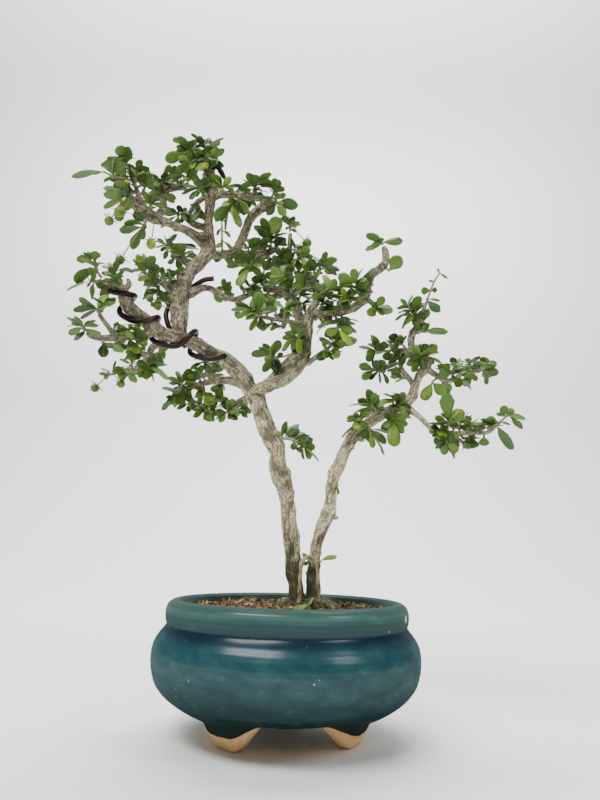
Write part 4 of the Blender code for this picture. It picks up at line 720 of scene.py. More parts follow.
def make_soil_finish():
    """One colour for each grain off a ramp of the mix: dark bark, red and tan baked clay, pumice;
    darker in wet patches, and painted shade near the trunks and on the right."""
    soil = Finish("soil_mix", roughness=0.92, specular_ior_level=0.25)
    place = soil.place()
    tone = soil.carried("tone")
    mixed = soil.ramp(
        tone, (0.0, (0.012, 0.008, 0.005)), (0.26, (0.040, 0.022, 0.012)), (0.42, (0.125, 0.055, 0.024)),
        (0.56, (0.170, 0.092, 0.038)), (0.72, (0.22, 0.145, 0.062)), (0.90, (0.30, 0.21, 0.095)),
        (1.0, (0.60, 0.48, 0.27))
    )
    dust = soil.noise(place, 700.0, 3.0, 0.6)
    patch = soil.noise(place, 55.0, 2.0).between(0.48, 0.7)
    # Painted shade: darker near the trunks and towards the right, where the soil lies in shade; the noise
    # patches are wet soil.
    roots = soil.distance(place, TRUNK_SHADE_PLACE).between(0.032, 0.014)
    painted_shade_and_wet = roots * 0.6 + soil.part(place, "X").between(0.006, 0.045) * 0.5 + patch * 0.35
    tuft = soil.mix(dust.between(0.4, 0.6), (0.020, 0.026, 0.006), (0.085, 0.090, 0.022))
    color = soil.coats(
        mixed, (dust.between(0.35, 0.75) * 0.5, (0.10, 0.066, 0.034)), (painted_shade_and_wet, (0.020, 0.013, 0.007)),
        (soil.carried("moss"), tuft)
    )
    return soil.paint(base_color=color, normal=soil.bump(dust, 0.0004, 0.8))


def make_soil():
    surface = Sheets()
    soil_bed(surface)
    soil_grains(surface)
    made = surface.piece("soil_grains", [make_soil_finish()], smooth=False)
    return shown(made.name, "soil_grit", made, "soil")


make_soil()


# %% The net over the drain hole
def make_net_finish():
    """Black moulded plastic, dusted with soil."""
    net = Finish("net_plastic", roughness=0.55)
    dust = net.noise(net.place(), 400.0, 4.0).between(0.45, 0.7)
    color = net.mix(dust * 0.6, (0.02, 0.021, 0.022), (0.12, 0.09, 0.06))
    return net.paint(base_color=color, roughness=dust * 0.3 + 0.45)


NET_FINISH = make_net_finish()
for slot in NODES["drain_net"].material_slots:
    slot.material = NET_FINISH
print("net finish set")


# %% [markdown]
# ## The wood
# The routes below are the tree's skeleton: for each trunk and branch, points of (across, down,
# depth, half width in pixels), read along it in the photograph. A tree could be sculpted, but a
# route per limb keeps every bend where the real one has it, and its half widths give the swellings
# where old branches were cut. The depths as given came out too flat, so one rule deepens them all: by
# nothing low on the trunks, rising to two fifths in the crown.

# %% Routes of trunks and branches
ROUTES = {
    "left_trunk": (
        (299, 606, 1, 9), (296.5, 594, 0, 7.4), (295.5, 582, 0, 7.6), (293.5, 571, -1, 8.8),
        (292.7, 556, -1, 8.1), (291.5, 540, -2, 8), (289.5, 525, -3, 7.8), (288, 508, -3, 7.6),
        (286.3, 491, -4, 8.5), (281.5, 477, -5, 9.7), (278.2, 466, -5, 8.8), (278, 454, -5, 8.3),
        (275.5, 445, -5, 9.8), (269, 432, -4, 9), (261, 413, -2, 8.6), (257, 400, 0, 9),
        (249, 387, 2, 8.3), (238, 371, 2, 8), (226, 361, 1, 7.8), (211, 353, -1, 7.2),
        (196, 344, -4, 7.2), (183, 338, -6, 7.2), (170, 336, -9, 7), (159, 331.5, -11, 6.8),
        (149, 324.5, -14, 6.6), (139.5, 316.5, -17, 7), (130, 308, -20, 7), (125, 300, -22, 6.2),
        (123, 291.5, -24, 5.4), (117.5, 285, -26, 4.8), (110, 282, -28, 4), (102.5, 281, -30, 3.4),
    ),
    "right_trunk": (
        (313.5, 606, 2, 8), (313, 592, 2, 6.9), (313, 580, 3, 6.8), (314, 568, 3, 6),
        (315.7, 552, 4, 5.8), (319, 538, 5, 6.4), (324, 523, 6, 7), (328.8, 511, 6, 7),
        (330.7, 499, 7, 5.7), (331.5, 487, 8, 5.4), (335, 474, 8, 5.9), (341, 460, 8, 6.3),
        (347, 447, 7, 6.3), (354, 436, 6, 6.6), (364, 426.5, 6, 6), (376, 418, 3, 5.4),
        (391, 410.5, 0, 5), (404, 405, -3, 5), (411.5, 397, -4, 5), (415, 386, -5, 4.5),
        (420, 375, -6, 4.2), (426, 367, -6, 4), (431, 361.5, -6, 3.5),
    ),
    "arch_root": (
        (299.2, 603, -9, 2.6), (299.6, 597, -9, 2), (299.8, 591, -9, 2.5), (299.9, 584, -9, 1.8),
        (300.2, 577, -9, 2.3), (301, 570, -9, 1.8), (301.5, 563.5, -9, 2.6), (304.2, 558.8, -8.6, 1.9),
        (308.4, 557.2, -8, 2.4), (312.9, 558.4, -7.4, 1.6), (315.9, 563, -6.8, 2.1),
        (317.1, 569, -6.4, 1.5), (318.1, 575, -6.2, 1.9), (318.2, 582, -6, 1.5), (319, 589, -6, 2),
        (318.7, 596, -5.5, 1.7), (318.8, 603, -5, 2.4),
    ),
    "middle_leader": (
        (181, 341, -6, 7.5), (178.5, 325, -4, 8.2), (179, 310, -2, 9), (180.5, 295, 0, 9.2),
        (183.5, 283, 3, 8), (190, 272, 6, 6.8), (199.5, 262.5, 8, 6.5), (206.5, 254, 9, 7.5),
        (208.5, 244, 9, 7.2), (208.6, 232, 9, 5.4), (208.5, 220, 8, 4.5), (209.3, 209, 8, 4.7),
        (210.5, 199, 8, 5.6), (214, 190, 10, 5.2), (213.5, 181, 11, 5), (209, 173, 12, 4.5),
        (203, 164.5, 13, 4), (199.5, 155, 14, 4), (195, 148, 15, 3.8), (193, 140, 16, 3.4),
    ),
    "leader_scar": ((205, 238, 6, 4.6), (200, 234, -1, 4.4)),
    "right_trunk_stub": (
        (325.5, 513, 6, 5.6), (331, 515.5, 5, 4.3), (335.5, 517.3, 4, 2.4), (339, 517, 3.5, 0.9),
    ),
    "dead_stub_top": (
        (214, 169, 10.35, 1.4), (217.5, 167, 9, 2.2), (220.5, 171, 8, 2.6), (223.5, 176, 7.5, 2.3),
        (226, 181, 7.3, 0.9),
    ),
    "apex_stub": ((199, 155, 14, 3), (204, 151.5, 9, 2.6)),
    "top_arm": (
        (212, 196, 9, 4.4), (222, 194.5, 6, 3.8), (235, 194.5, 3, 4), (248, 196.5, 0, 3.9),
        (261, 198.5, -2, 2.9), (275, 198.5, -4, 1.9),
    ),
    "top_arm_stub": ((260, 199, -2, 2.4), (267, 202, -5, 2.2), (273, 206, -7, 1.8)),
    "left_loop": (
        (205, 197, 8, 2.8), (197, 203, 12, 2.8), (191.5, 211, 15, 3), (188, 218.5, 16, 3.2),
        (196, 225, 14, 3.6), (207, 228, 9, 3.6),
    ),
    "right_loop": (
        (209, 254, 9, 4.4), (223, 254.5, 12, 4.2), (234.5, 251, 15, 4.2), (241, 241, 17, 4.3),
        (245.5, 230, 19, 4.2), (249.5, 220, 20, 4.4), (256, 212, 20, 5), (264, 206.5, 18, 5),
        (270.5, 202.5, 14.3, 4.4), (276, 199.5, 9.3, 3.2),
    ),
    "upper_right": (
        (234, 251.5, 15, 4), (249, 255, 20, 3.6), (262, 254, 25, 3.3), (272, 252.5, 29, 2.8),
    ),
    "middle_right": (
        (183, 297, 1, 5.6), (195, 291.5, 4, 4.6), (204, 288, 8, 3.7), (213, 289.5, 13, 3.2),
        (225, 297, 19, 3.1), (236, 299.5, 23, 3), (247, 295.5, 27, 3), (257, 291, 31, 2.5),
    ),
    "upper_left": (
        (206, 244, 9, 5.6), (196, 236.5, 6, 5.6), (186, 230, 3, 4.6), (175, 226, 0, 3.8),
        (164, 221.5, -3, 4.2), (155, 218.5, -6, 5.8), (147.5, 213.5, -8, 6), (140, 206, -10, 6.3),
        (132, 200.5, -12, 6), (126, 197, -14, 4.2),
    ),
    "crown_stem": (
        (151, 216, -8, 2.8), (143.5, 204, -12, 2.5), (138, 193, -15, 2.2), (133.5, 182, -17, 2),
        (129.5, 173, -18, 1.8),
    ),
    "inner_crown": (
        (155, 218, -5, 4), (163, 209, 0, 3.8), (163, 199, 3, 3.6), (160, 193.5, 4, 3.6),
        (168, 189, 6, 3.8), (178, 187, 8, 3.9), (187, 188, 10, 3),
    ),
    "back_left_low": (
        (178, 296, 1, 3.6), (170, 291, 6, 3), (160, 282, 12, 2.6), (151, 277.5, 17, 2.3),
        (144, 272, 20, 1.8),
    ),
    "back_left_high": (
        (194, 269, 6, 3.4), (184, 262, 12, 2.9), (177, 256.5, 18, 2.5), (171, 250.5, 24, 2),
    ),
    "wired_stub": ((124, 290, -24, 3.6), (129, 284, -19.3, 2.9), (127.5, 279, -15.7, 1.9)),
    "left_fork": (
        (152, 331, -13, 4.8), (141, 335, -17, 4.6), (130, 336, -23, 4.4), (120, 337, -28, 4),
        (110, 338, -32, 3.9), (100, 338, -36, 3.6), (92, 336, -39, 3.6), (86, 331.5, -41, 2.8),
    ),
    "left_fork_shoot": (
        (115, 336, -30, 2.8), (108, 326.5, -34, 2.5), (103, 320, -37, 2.3), (98.5, 313, -39, 1.9),
    ),
    "low_left_twist": (
        (170, 337, -7, 4.2), (160, 343, 1, 3.8), (152, 348, 7, 3.5), (149, 356, 10, 3.5),
        (143.5, 363, 13, 3.8), (138.5, 369.5, 16, 3.4), (130, 369.5, 20, 2.8), (120, 371.5, 25, 2.1),
    ),
    "low_left": (
        (244, 384, 2, 5.5), (229, 380.5, 8, 4.4), (216, 381, 14, 3.6), (205, 383, 20, 3.2),
        (195, 386, 25, 3), (186, 388.5, 29, 3),
    ),
    "low_left_twig": ((213, 381, 15, 2.8), (207.5, 371, 19, 2.5), (204.5, 363, 23, 1.8)),
    "low_left_return": (
        (188, 388, 28, 2.8), (190.5, 400, 27, 2.9), (200, 405, 25, 2.9), (210, 408, 22, 2.6),
    ),
    "low_left_second": (
        (254, 397, 1, 4.6), (243, 399.5, 7, 3.8), (236, 404, 12, 3), (230, 409, 16, 2.3),
    ),
    "right_limb": (
        (253, 395, 0, 7.5), (264, 387.5, -2, 7), (275, 383.5, -5, 6.5), (286, 378.5, -8, 6.2),
        (295.5, 371, -10, 6.2), (303, 360.5, -11, 5.4), (307, 350, -12, 4.6), (308.5, 337, -12, 4.2),
        (309, 323, -11, 4.1), (311, 312, -10, 4.8),
    ),
    "behind_limb": (
        (268, 387, 0, 6), (276, 377, 5, 6.6), (284, 369, 10, 6.6), (292, 360.5, 14, 6.2),
        (299, 351, 17, 5.4), (303, 336, 19, 4.8), (300, 320, 20, 4.8), (296, 308, 20, 5.6),
        (290, 297, 20, 6), (284, 290, 20, 4.6), (274, 289.5, 22, 3.8), (263, 289, 25, 3),
    ),
    "limb_stub": (
        (307, 364, -11, 3.4), (318, 356, -16, 2.9), (327, 349, -20, 2.4), (334, 343, -23, 1.6),
    ),
    "front_arm": (
        (309, 314, -10, 5.2), (325, 312.5, -14, 5.2), (340, 312, -18, 4.2), (352, 309, -20, 4.1),
        (360.5, 303, -20, 4.2), (367, 294, -20, 3.9), (369.5, 285, -19, 3.1), (372, 276, -18, 3.4),
        (379, 270, -15, 4.4), (385, 262.5, -14, 3.7), (385.5, 253, -14, 3.4), (383.5, 246, -14, 2.2),
    ),
    "arm_knob": ((382, 268, -15, 3.6), (379.5, 264.5, -18, 3.6)),
    "arm_twig": ((365, 298, -20, 2.6), (372.5, 303.5, -23, 2.4), (375, 308.5, -25, 1.9)),
    "upright_twig": (
        (312, 310, -11, 4.2), (317, 299, -9, 3.9), (314.5, 289, -6, 3.4), (307, 280, -2, 2.9),
        (297, 277, 2, 1.9),
    ),
    "upright_fork": ((312, 284, -5, 2.5), (317.5, 274, -8, 2.2), (319.5, 269, -9, 1.9)),
    "front_left_twig": (
        (308, 325, -11, 2.9), (296, 323, -17, 2.6), (283, 320.5, -22, 2.3), (270, 318.5, -27, 2),
        (260, 316.5, -30, 1.8),
    ),
    "tall_twig": (
        (292, 300, 20, 3), (291, 282, 21, 2.3), (291, 262, 22, 2.2), (290, 246, 23, 2.3),
        (290, 233, 24, 2),
    ),
    "right_reach": (
        (405, 406, -3, 3.8), (413, 412, -6, 3.1), (421, 418, -10, 2.9), (430, 427, -14, 2.9),
        (439, 431.5, -17, 2.9), (450, 433.5, -19, 2.7), (466, 433, -21, 2.4), (481, 433, -23, 2.4),
        (490, 431.5, -24, 2.2), (496.5, 425, -25, 1.9), (502, 420, -26, 1.6),
    ),
    "right_upper": (
        (427, 369, -6, 3.2), (437, 375.5, -2, 2.8), (445, 380.5, 2, 2.8), (453, 380, 6, 2.4),
        (461, 374.5, 9, 2.3), (470, 372, 12, 2.1), (481, 371, 15, 1.7),
    ),
    "right_upper_stub": ((444, 379, 2, 2.6), (446.5, 387.5, 1, 2.2)),
    "right_inner": (
        (415, 388, -5, 3.4), (410.5, 380.5, 0, 2.9), (404, 372.5, 5, 2.4), (397, 369.5, 10, 2.1),
        (387, 371, 15, 1.7),
    ),
    "right_leader": (
        (430, 363, -6, 3.2), (421, 357.5, -2, 3), (413.5, 351, 2, 3.4), (411, 343, 4, 3.7),
        (412, 335, 6, 3.7), (416, 327, 8, 3.1), (420.5, 317, 9, 2.6), (424, 308, 10, 2.2),
        (427, 301, 10, 1.7),
    ),
    "right_leader_low": ((414, 352, 2, 2.5), (404, 350, 6, 2.1), (393, 350.5, 10, 2)),
    "trunk_knob": ((328, 518, 6, 4.2), (334.5, 517.5, 4, 3.2)),
    "bend_stub": ((357, 434, 6, 4.4), (364, 441, 3, 3.2)),
}

SPREAD_START = 480.0
SPREAD_ROWS = 90.0
CROWN_SPREAD = 0.4


def spread_point(across, down, depth):
    """The place of a listed point, its depth spread by how high up in the picture it is."""
    share = min(max((SPREAD_START - down) / SPREAD_ROWS, 0.0), 1.0)
    factor = 1.0 + CROWN_SPREAD * share * share * (3 - 2 * share)
    return sight_point(across, down, round(depth * factor, 1))


print("routes:", len(ROUTES))

# %% [markdown]
# Each route becomes a smooth tube. The thick ones grow into each other like living wood, so they are
# merged by a voxel remesh, which lays one skin over them all and rounds the forks. Remeshing would
# erase slim twigs, so those stay tubes with their ends sunk in the skin. The bark's ridges come
# after the remesh: every point looks up the nearest limb, and its place in that limb's own
# coordinates, two across and one along, drives the relief, so fissures run along each limb.

# %% Tubes along the routes
THICK_RADIUS = 2.1
PATH_SPACING = 0.8
VOXEL = 0.00075
CROWN_MIDDLE = np.array((12.0, 0.5, 69.5))
CROWN_RADII = np.array((15.0, 11.0, 9.5))
LIMB_SAMPLE = 1.6
LIMB_STRIDE = 500.0

# Roots that run out of the crown: heading in degrees from +X, reach, radius, rise at the crown
SURFACE_ROOTS = (
    (176, 21, 2.5, 4.2), (205, 15, 1.9, 3.5), (238, 14, 1.7, 3.6), (268, 12, 1.5, 3.8), (300, 14, 1.8, 3.6),
    (336, 19, 2.2, 4.2), (8, 22, 2.3, 4.0), (50, 14, 1.9, 3.4), (100, 13, 2.0, 3.4), (140, 16, 1.9, 3.8),
)
# A root's course: (share of its reach, how far up, how wide against its radius)
ROOT_COURSE = ((0.0, 1.5, 1.5), (0.3, 0.2, 1.25), (0.6, -1.6, 1.0), (0.85, -3.4, 0.8), (1.0, -6.0, 0.5))
ROOT_START = 4.0
ROOT_LIFT = 4.6
END_ROUNDING = 0.2


def read_route(route):
    """Rows of place and radius, in millimetres, for knots of a listed route."""
    rows = []
    for across, down, depth, half_width in route:
        place = spread_point(across, down, depth)
        rows.append((*place, half_width * pixel_size(place)))
    return np.array(rows)


def root_route(heading, reach, radius, rise):
    """A root from inside the crown over its shoulder and down into the soil."""
    out = np.array((math.cos(math.radians(heading)), math.sin(math.radians(heading)), 0.0))
    start = CROWN_MIDDLE + out * ROOT_START + np.array((0.0, 0.0, rise + ROOT_LIFT))
    places = [start + out * reach * far + np.array((0, 0, up)) for far, up, _ in ROOT_COURSE]
    return np.array([(*place, radius * wide) for place, (_, _, wide) in zip(places, ROOT_COURSE)])


def round_end(path):
    """A path whose last radii fall like a ball's: r * sqrt(1 - (1 - d / r)^2), d from the end."""
    length = path_lengths(path[:, :3])
    share = np.clip((length[-1] - length) / path[-1, 3], 0.0, 1.0)
    path[:, 3] *= np.maximum(np.sqrt(1.0 - (1.0 - share) ** 2), END_ROUNDING)
    return path


PATHS = {name: round_end(smooth_path(read_route(route), PATH_SPACING)) for name, route in ROUTES.items()}
for number, root in enumerate(SURFACE_ROOTS):
    PATHS[f"surface_root_{number}"] = smooth_path(root_route(*root), PATH_SPACING)
THICK = [name for name, path in PATHS.items() if path[:, 3].max() > THICK_RADIUS or "root" in name]
print("limbs:", len(PATHS), "thick:", len(THICK))


# %% One skin over the thick limbs
def ball(middle, radii, rows=9, columns=14):
    """An ellipsoid: middle + radii * (sin p cos a, sin p sin a, cos p), closed at its poles."""
    polar = np.linspace(0.0, math.pi, rows + 1)[1:-1, None]
    angle = np.linspace(0.0, 2.0 * math.pi, columns, endpoint=False)[None, :]
    wide, high = np.sin(polar), np.cos(polar)
    rings = np.stack([wide * np.cos(angle), wide * np.sin(angle), high + 0 * angle], -1)
    points = np.vstack([rings.reshape(-1, 3), [[0, 0, 1], [0, 0, -1]]]) * radii + middle
    count = (rows - 1) * columns
    under = fan_faces(count + 1, count - columns, columns, flipped=True)
    return points, [grid_faces(rows - 1, columns, around=True)[:, ::-1], fan_faces(count, 0, columns), under]


def read_rows(items, field):
    """A vector field of all items of a mesh, as rows."""
    values = np.empty(len(items) * 3, dtype=np.float32)
    items.foreach_get(field, values)
    return values.reshape(-1, 3)


def remeshed(sheets, voxel):
    """The points, quads and normals of a voxel remesh of all surfaces in sheets."""
    rough = sheets.piece("rough_skin", [])
    skin = rough.modifiers.new("skin", "REMESH")
    skin.mode = "VOXEL"
    skin.voxel_size = voxel
    graph = bpy.context.evaluated_depsgraph_get()
    mesh = bpy.data.meshes.new_from_object(rough.evaluated_get(graph))
    points, normals = read_rows(mesh.vertices, "co") / MM, read_rows(mesh.vertex_normals, "vector")
    corners = np.empty(len(mesh.loops), dtype=np.int32)
    mesh.loops.foreach_get("vertex_index", corners)
    bpy.data.objects.remove(rough)
    bpy.data.meshes.remove(mesh)
    return points, corners.reshape(-1, 4), normals


def limb_samples(names):
    """Places, radii and frames every few steps along limbs, and a long stride apart from limb to limb."""
    blocks = []
    for number, name in enumerate(names):
        path = PATHS[name]
        along, across, over = path_frames(path[:, :3])
        length = path_lengths(path[:, :3]) + LIMB_STRIDE * number
        rows = np.hstack([path, along, across, over, length[:, None]])
        blocks.append(rows[:: max(1, round(LIMB_SAMPLE / PATH_SPACING))])
    return np.vstack(blocks)


def limb_coordinates(points, samples, block=4096):
    """For each point the nearest limb's skin, and (across, over, along) in that limb's frame."""
    centres, radii = samples[:, :3], samples[:, 3]
    grain, girth = np.empty_like(points), np.empty(len(points))
    for start in range(0, len(points), block):
        part = points[start:start + block]
        square = (part**2).sum(1)[:, None] + (centres**2).sum(1)[None] - 2.0 * part @ centres.T
        nearest = np.argmin(np.sqrt(np.maximum(square, 0.0)) - radii, axis=1)
        near = samples[nearest]
        away = part - near[:, :3]
        sideways = [(away * near[:, 7 + 3 * axis:10 + 3 * axis]).sum(1) for axis in range(2)]
        forward = (away * near[:, 4:7]).sum(1) + near[:, 13]
        grain[start:start + block] = np.stack([*sideways, forward], -1)
        girth[start:start + block] = near[:, 3]
    return grain, girth


def bark_height(grain, girth):
    """Bark relief in millimetres: long flat plates with grooves between them, knobs and warts."""
    plates = layered(grain * (1.0, 1.0, 0.28), 2.6, 3, seed=5)
    grooves = np.abs(relief(grain * (1.0, 1.0, 0.22), 2.0, seed=9))
    knobs = layered(grain * (1.0, 1.0, 0.8), 7.0, 2, seed=21)
    warts = eased(relief(grain * (1.0, 1.0, 0.7), 3.2, seed=33), 0.38, 0.85)
    amount = np.clip(girth / 5.5, 0.3, 1.15)
    cracks = eased(0.22 - grooves, 0.0, 0.22)
    return amount * (0.32 * plates - 0.50 * cracks + 0.78 * knobs + 0.9 * warts + 0.03)


# %% The bark's finish
def make_bark():
    """Pale beige plates in a net of fine dark cracks, grey patches, dark green at the foot; a painted sunlit
    patch on the right trunk, painted shade high in the crown and in the grooves, and a charred black stub.
    """
    bark = Finish("bark", roughness=0.9, specular_ior_level=0.3)
    grain = bark.carried("grain", "XYZ")
    girth = bark.carried("girth")
    place = bark.place()
    height = bark.part(place, "Z") * 1000.0
    streak = bark.noise(bark.stretched(grain, (1.0, 1.0, 0.16)), 0.9, 4.0, 0.6)
    blotch = bark.noise(bark.stretched(grain, (1.0, 1.0, 0.5)), 0.11, 3.0, 0.55)
    fleck = bark.noise(bark.stretched(grain, (1.0, 1.0, 0.6)), 1.7, 3.0, 0.65)
    plates = bark.ramp(
        streak * 0.68 + blotch * 0.32, (0.30, (0.28, 0.23, 0.14)), (0.42, (0.48, 0.42, 0.26)),
        (0.52, (0.68, 0.61, 0.40)), (0.66, (0.88, 0.80, 0.56))
    )
    net = bark.cells(bark.stretched(grain, (1.0, 1.0, 0.36)), 0.55, "DISTANCE_TO_EDGE")
    small = bark.cells(bark.stretched(grain, (1.0, 1.0, 0.5)), 1.25, "DISTANCE_TO_EDGE")
    deep = net.between(0.10, 0.02) * fleck.between(0.36, 0.52)
    fine = small.between(0.10, 0.02) * streak.between(0.60, 0.42)
    aloft = height.between(190.0, 260.0)
    # Painted light: a pale patch on the right side of the trunk, between about 112 and 205 mm up, where light
    # falls on it.
    right = bark.part(place, "X").between(0.012, 0.024)
    painted_sunlit_patch = height.between(112.0, 135.0) * height.between(205.0, 165.0) * right
    pitted = bark.noise(bark.stretched(grain, (1.0, 1.0, 0.6)), 0.5, 4.0, 0.68).between(0.46, 0.60)
    # High in the crown the bark turns dark grey: partly pitted, weathered bark and partly painted shade under
    # the leaves.
    crown_shade_and_weathering = aloft * (0.32 + blotch.between(0.42, 0.58) * 0.22 + pitted * 0.46)
    lichen = blotch.between(0.52, 0.62) * fleck.between(0.45, 0.6)
    dots = fleck.between(0.58, 0.65) * (height.between(250.0, 150.0) * 0.5 + 0.5)
    young = girth.between(2.6, 1.2)
    ragged = height + (fleck - 0.5) * 60.0 + (blotch - 0.5) * 80.0 + (streak - 0.5) * 30.0
    foot = bark.mix(fleck.between(0.38, 0.66), (0.016, 0.018, 0.008), (0.090, 0.098, 0.036))
    tan = bark.mix(streak.between(0.35, 0.65), (0.20, 0.135, 0.070), (0.62, 0.48, 0.29))
    # Painted shade in the grooves of the bark's relief, by how deep a point sits; a value of 2 marks the
    # charred dead stub, nearly black.
    hollow = bark.carried("hollow")
    color = bark.coats(
        plates,
        (painted_sunlit_patch * 0.5, (0.92, 0.86, 0.58)),
        (crown_shade_and_weathering, (0.092, 0.078, 0.060)),
        (fine * 0.45, (0.10, 0.08, 0.048)),
        (deep * 0.8, (0.040, 0.030, 0.018)),
        (hollow * 0.75, (0.060, 0.050, 0.032)),
        (lichen * 0.35, (0.20, 0.21, 0.12)),
        (dots * 0.8, (0.050, 0.046, 0.030)),
        (young * 0.4, (0.25, 0.22, 0.14)),
        (ragged.between(126.0, 84.0) * 0.9, foot),
        (bark.carried("dry") * (0.9 - fleck.between(0.45, 0.62) * 0.5), tan),
        (hollow.between(1.3, 1.6), (0.010, 0.009, 0.008)),
    )
    low = bark.bump(streak + net.between(0.0, 0.12) * 0.5, 0.0011, 0.8)
    rough = bark.bump(fleck, 0.0006, 0.6, low)
    return bark.paint(base_color=color, roughness=0.93 - young * 0.15, normal=rough)


BARK = make_bark()


# %% The trunks' piece
TRUNK_SIDES = 18


def make_trunks():
    """The thick limbs' tubes and the root crown, remeshed to one skin and given their relief."""
    rough = Sheets()
    for name in THICK:
        path = PATHS[name]
        rough.add(*tube(path[:, :3], path[:, 3], TRUNK_SIDES)[:2])
    rough.add(*ball(CROWN_MIDDLE, CROWN_RADII))
    points, quads, normals = remeshed(rough, VOXEL)
    grain, girth = limb_coordinates(points, limb_samples(THICK))
    height = bark_height(grain, girth)
    surface = Sheets()
    # How deep each point sits in a groove of the relief, for the painted shade there.
    hollow = np.clip(-height / 0.4, 0.0, 1.0)
    dry = grain[:, 2] // LIMB_STRIDE == THICK.index("arch_root")
    points = points + normals * height[:, None]
    surface.add(points, [quads], grain=grain, girth=girth, hollow=hollow, dry=dry)
    return shown("trunks", "bark", surface.piece("trunks", [BARK]), "trunk_and_branches")


make_trunks()


# %% The slim branches' piece
BRANCH_SIDES = 12
CHARRED = {"dead_stub_top": 2.0}


def make_branches():
    """Each slim branch as a tube whose radius is swelled by nodes and by the same plates of bark."""
    surface = Sheets()
    for number, (name, path) in enumerate(PATHS.items()):
        if name in THICK:
            continue

        def swell(length, angle, seed=number):
            around = [np.cos(angle) + 0 * length, np.sin(angle) + 0 * length, length / 3.5 + 0 * angle]
            nodes = 0.09 * np.sin(length * 1.1 + seed) ** 6
            return 1.0 + 0.09 * layered(np.stack(around, -1), 0.9, 2, seed=seed) + nodes

        points, faces, grain = tube(path[:, :3], path[:, 3], BRANCH_SIDES, swell)
        girth = np.append(np.repeat(path[:, 3], BRANCH_SIDES), [path[0, 3], path[-1, 3]])
        grain = grain + np.array((0.0, 0.0, LIMB_STRIDE * (number + 60)))
        surface.add(points, faces, grain=grain, girth=girth, hollow=CHARRED.get(name, 0.0), dry=0.0)
    return shown("slim_branches", "bark", surface.piece("slim_branches", [BARK]), "trunk_and_branches")


make_branches()


# %% [markdown]
# ## The wires
# Branches are bent with soft anodised aluminium wire, 4 mm thick, wound in open turns. Here a turn
# is a point on a circle round the limb, by its distance along it; then the whole route is pushed
# off the bark until it lies on it, and evened. The winding follows the solid of the tree, so the
# fine wire lies where the solid wire does.

# %% Routes that lie on a surface
FIT_GAP = 0.3
WIRE_RADIUS = 2.0
WIRE_SIDES = 20
WIRE_START_RADIUS = 5.0
WIRE_POINTS_PER_TURN = 11
WIRE_STEP = 7.0
WIRE_EVENINGS = 3
WIRE_STANDOFF = 2.5
CLEARING_STEPS = 12
TOUCHING = 0.00001

# The winding: (millimetres along the left limb from its route point WIRED_LIMB_START, turns)
WIRED_LIMB_START = 18
WIRE_TURNS = (
    (1.5, 0.17), (13.5, 0.42), (26.5, 0.5), (27.5, 1.0), (36, 1.42), (54, 1.52), (57.5, 2.08), (66, 2.3),
    (74, 2.5), (80, 2.52), (81.5, 3.0), (85, 3.22), (96, 3.5), (98, 3.6),
)
LEADER_WIRE = ((186, 347, 5), (178, 339, 6), (169, 327, 6), (166, 316, 7), (171, 303, 10), (183, 293, 12),
               (196, 286, 11), (205, 282, 10), (214, 278.5, 9))


def solid_tree(*names):
    """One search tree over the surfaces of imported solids."""
    points, faces = [], []
    for name in names:
        start = len(points)
        points += [vertex.co.copy() for vertex in NODES[name].data.vertices]
        faces += [[start + index for index in face.vertices] for face in NODES[name].data.polygons]
    return BVHTree.FromPolygons(points, faces)


def height_above(tree, point):
    """Distance in millimetres from the surface to a point, negative inside it, and the way out."""
    place, normal, _, distance = tree.find_nearest(point * MM)
    outwards = normal if distance < TOUCHING else (point * MM - place).normalized()
    inside = (point * MM - place).dot(normal) < 0
    return (-distance if inside else distance) / MM, (-outwards if inside else outwards)


def push_clear(tree, point, distance):
    """Moves a point away from a surface until it is distance clear of it."""
    for _ in range(CLEARING_STEPS):
        height, outwards = height_above(tree, point)
        if height >= distance:
            break
        point = point + outwards * (distance - height)
    return point


def held_off(tree, places, distance):
    """A route pushed off a surface, at its points and halfway between them."""
    places = [push_clear(tree, place, distance) for place in places]
    for _ in range(CLEARING_STEPS):
        for index in range(len(places) - 1):
            middle = (places[index] + places[index + 1]) / 2
            height, outwards = height_above(tree, middle)
            if height < distance:
                places[index] = places[index] + outwards * (distance - height)
                places[index + 1] = places[index + 1] + outwards * (distance - height)
    return places


def evened(places):
    """A route with its inner points drawn towards their neighbours."""
    middles = [(a + c) * 0.25 + b * 0.5 for a, b, c in zip(places, places[1:], places[2:])]
    return [places[0], *middles, places[-1]]


def as_vectors(rows):
    return [Vector(row[:3]) for row in rows]


def point_along(points, distance):
    """The point of a route at a distance along it, and the route's direction there."""
    for start, end in zip(points, points[1:]):
        span = (end - start).length
        if distance <= span:
            break
        distance -= span
    share = min(max(distance / span, 0.0), 1.0)
    return start.lerp(end, share), (end - start).normalized()


def route_length(points):
    return sum((end - start).length for start, end in zip(points, points[1:]))


# %% The winding
def limb_wire_route(tree):
    """Turns round the left limb: point + (up cos t + front sin t) * r, pushed off the bark."""
    limb = as_vectors(smooth_path(read_route(ROUTES["left_trunk"][WIRED_LIMB_START:])[:, :3], WIRE_RADIUS))
    route = []
    for (start, first), (end, last) in zip(WIRE_TURNS, WIRE_TURNS[1:]):
        count = max(1, round((last - first) * WIRE_POINTS_PER_TURN), round((end - start) / WIRE_STEP))
        for step in range(count):
            share = step / count
            route.append((start + (end - start) * share, first + (last - first) * share))
    route.append(WIRE_TURNS[-1])
    places = []
    for distance, turns in route:
        place, along = point_along(limb, distance)
        up = (UP - along * UP.dot(along)).normalized()
        front = along.cross(up)
        front = -front if front.dot(FORWARD) > 0 else front
        angle = 2.0 * math.pi * turns
        places.append(place + (up * math.cos(angle) + front * math.sin(angle)) * WIRE_START_RADIUS)
    places = held_off(tree, places, WIRE_STANDOFF)
    for _ in range(WIRE_EVENINGS):
        places = held_off(tree, evened(places), WIRE_STANDOFF)
    return places


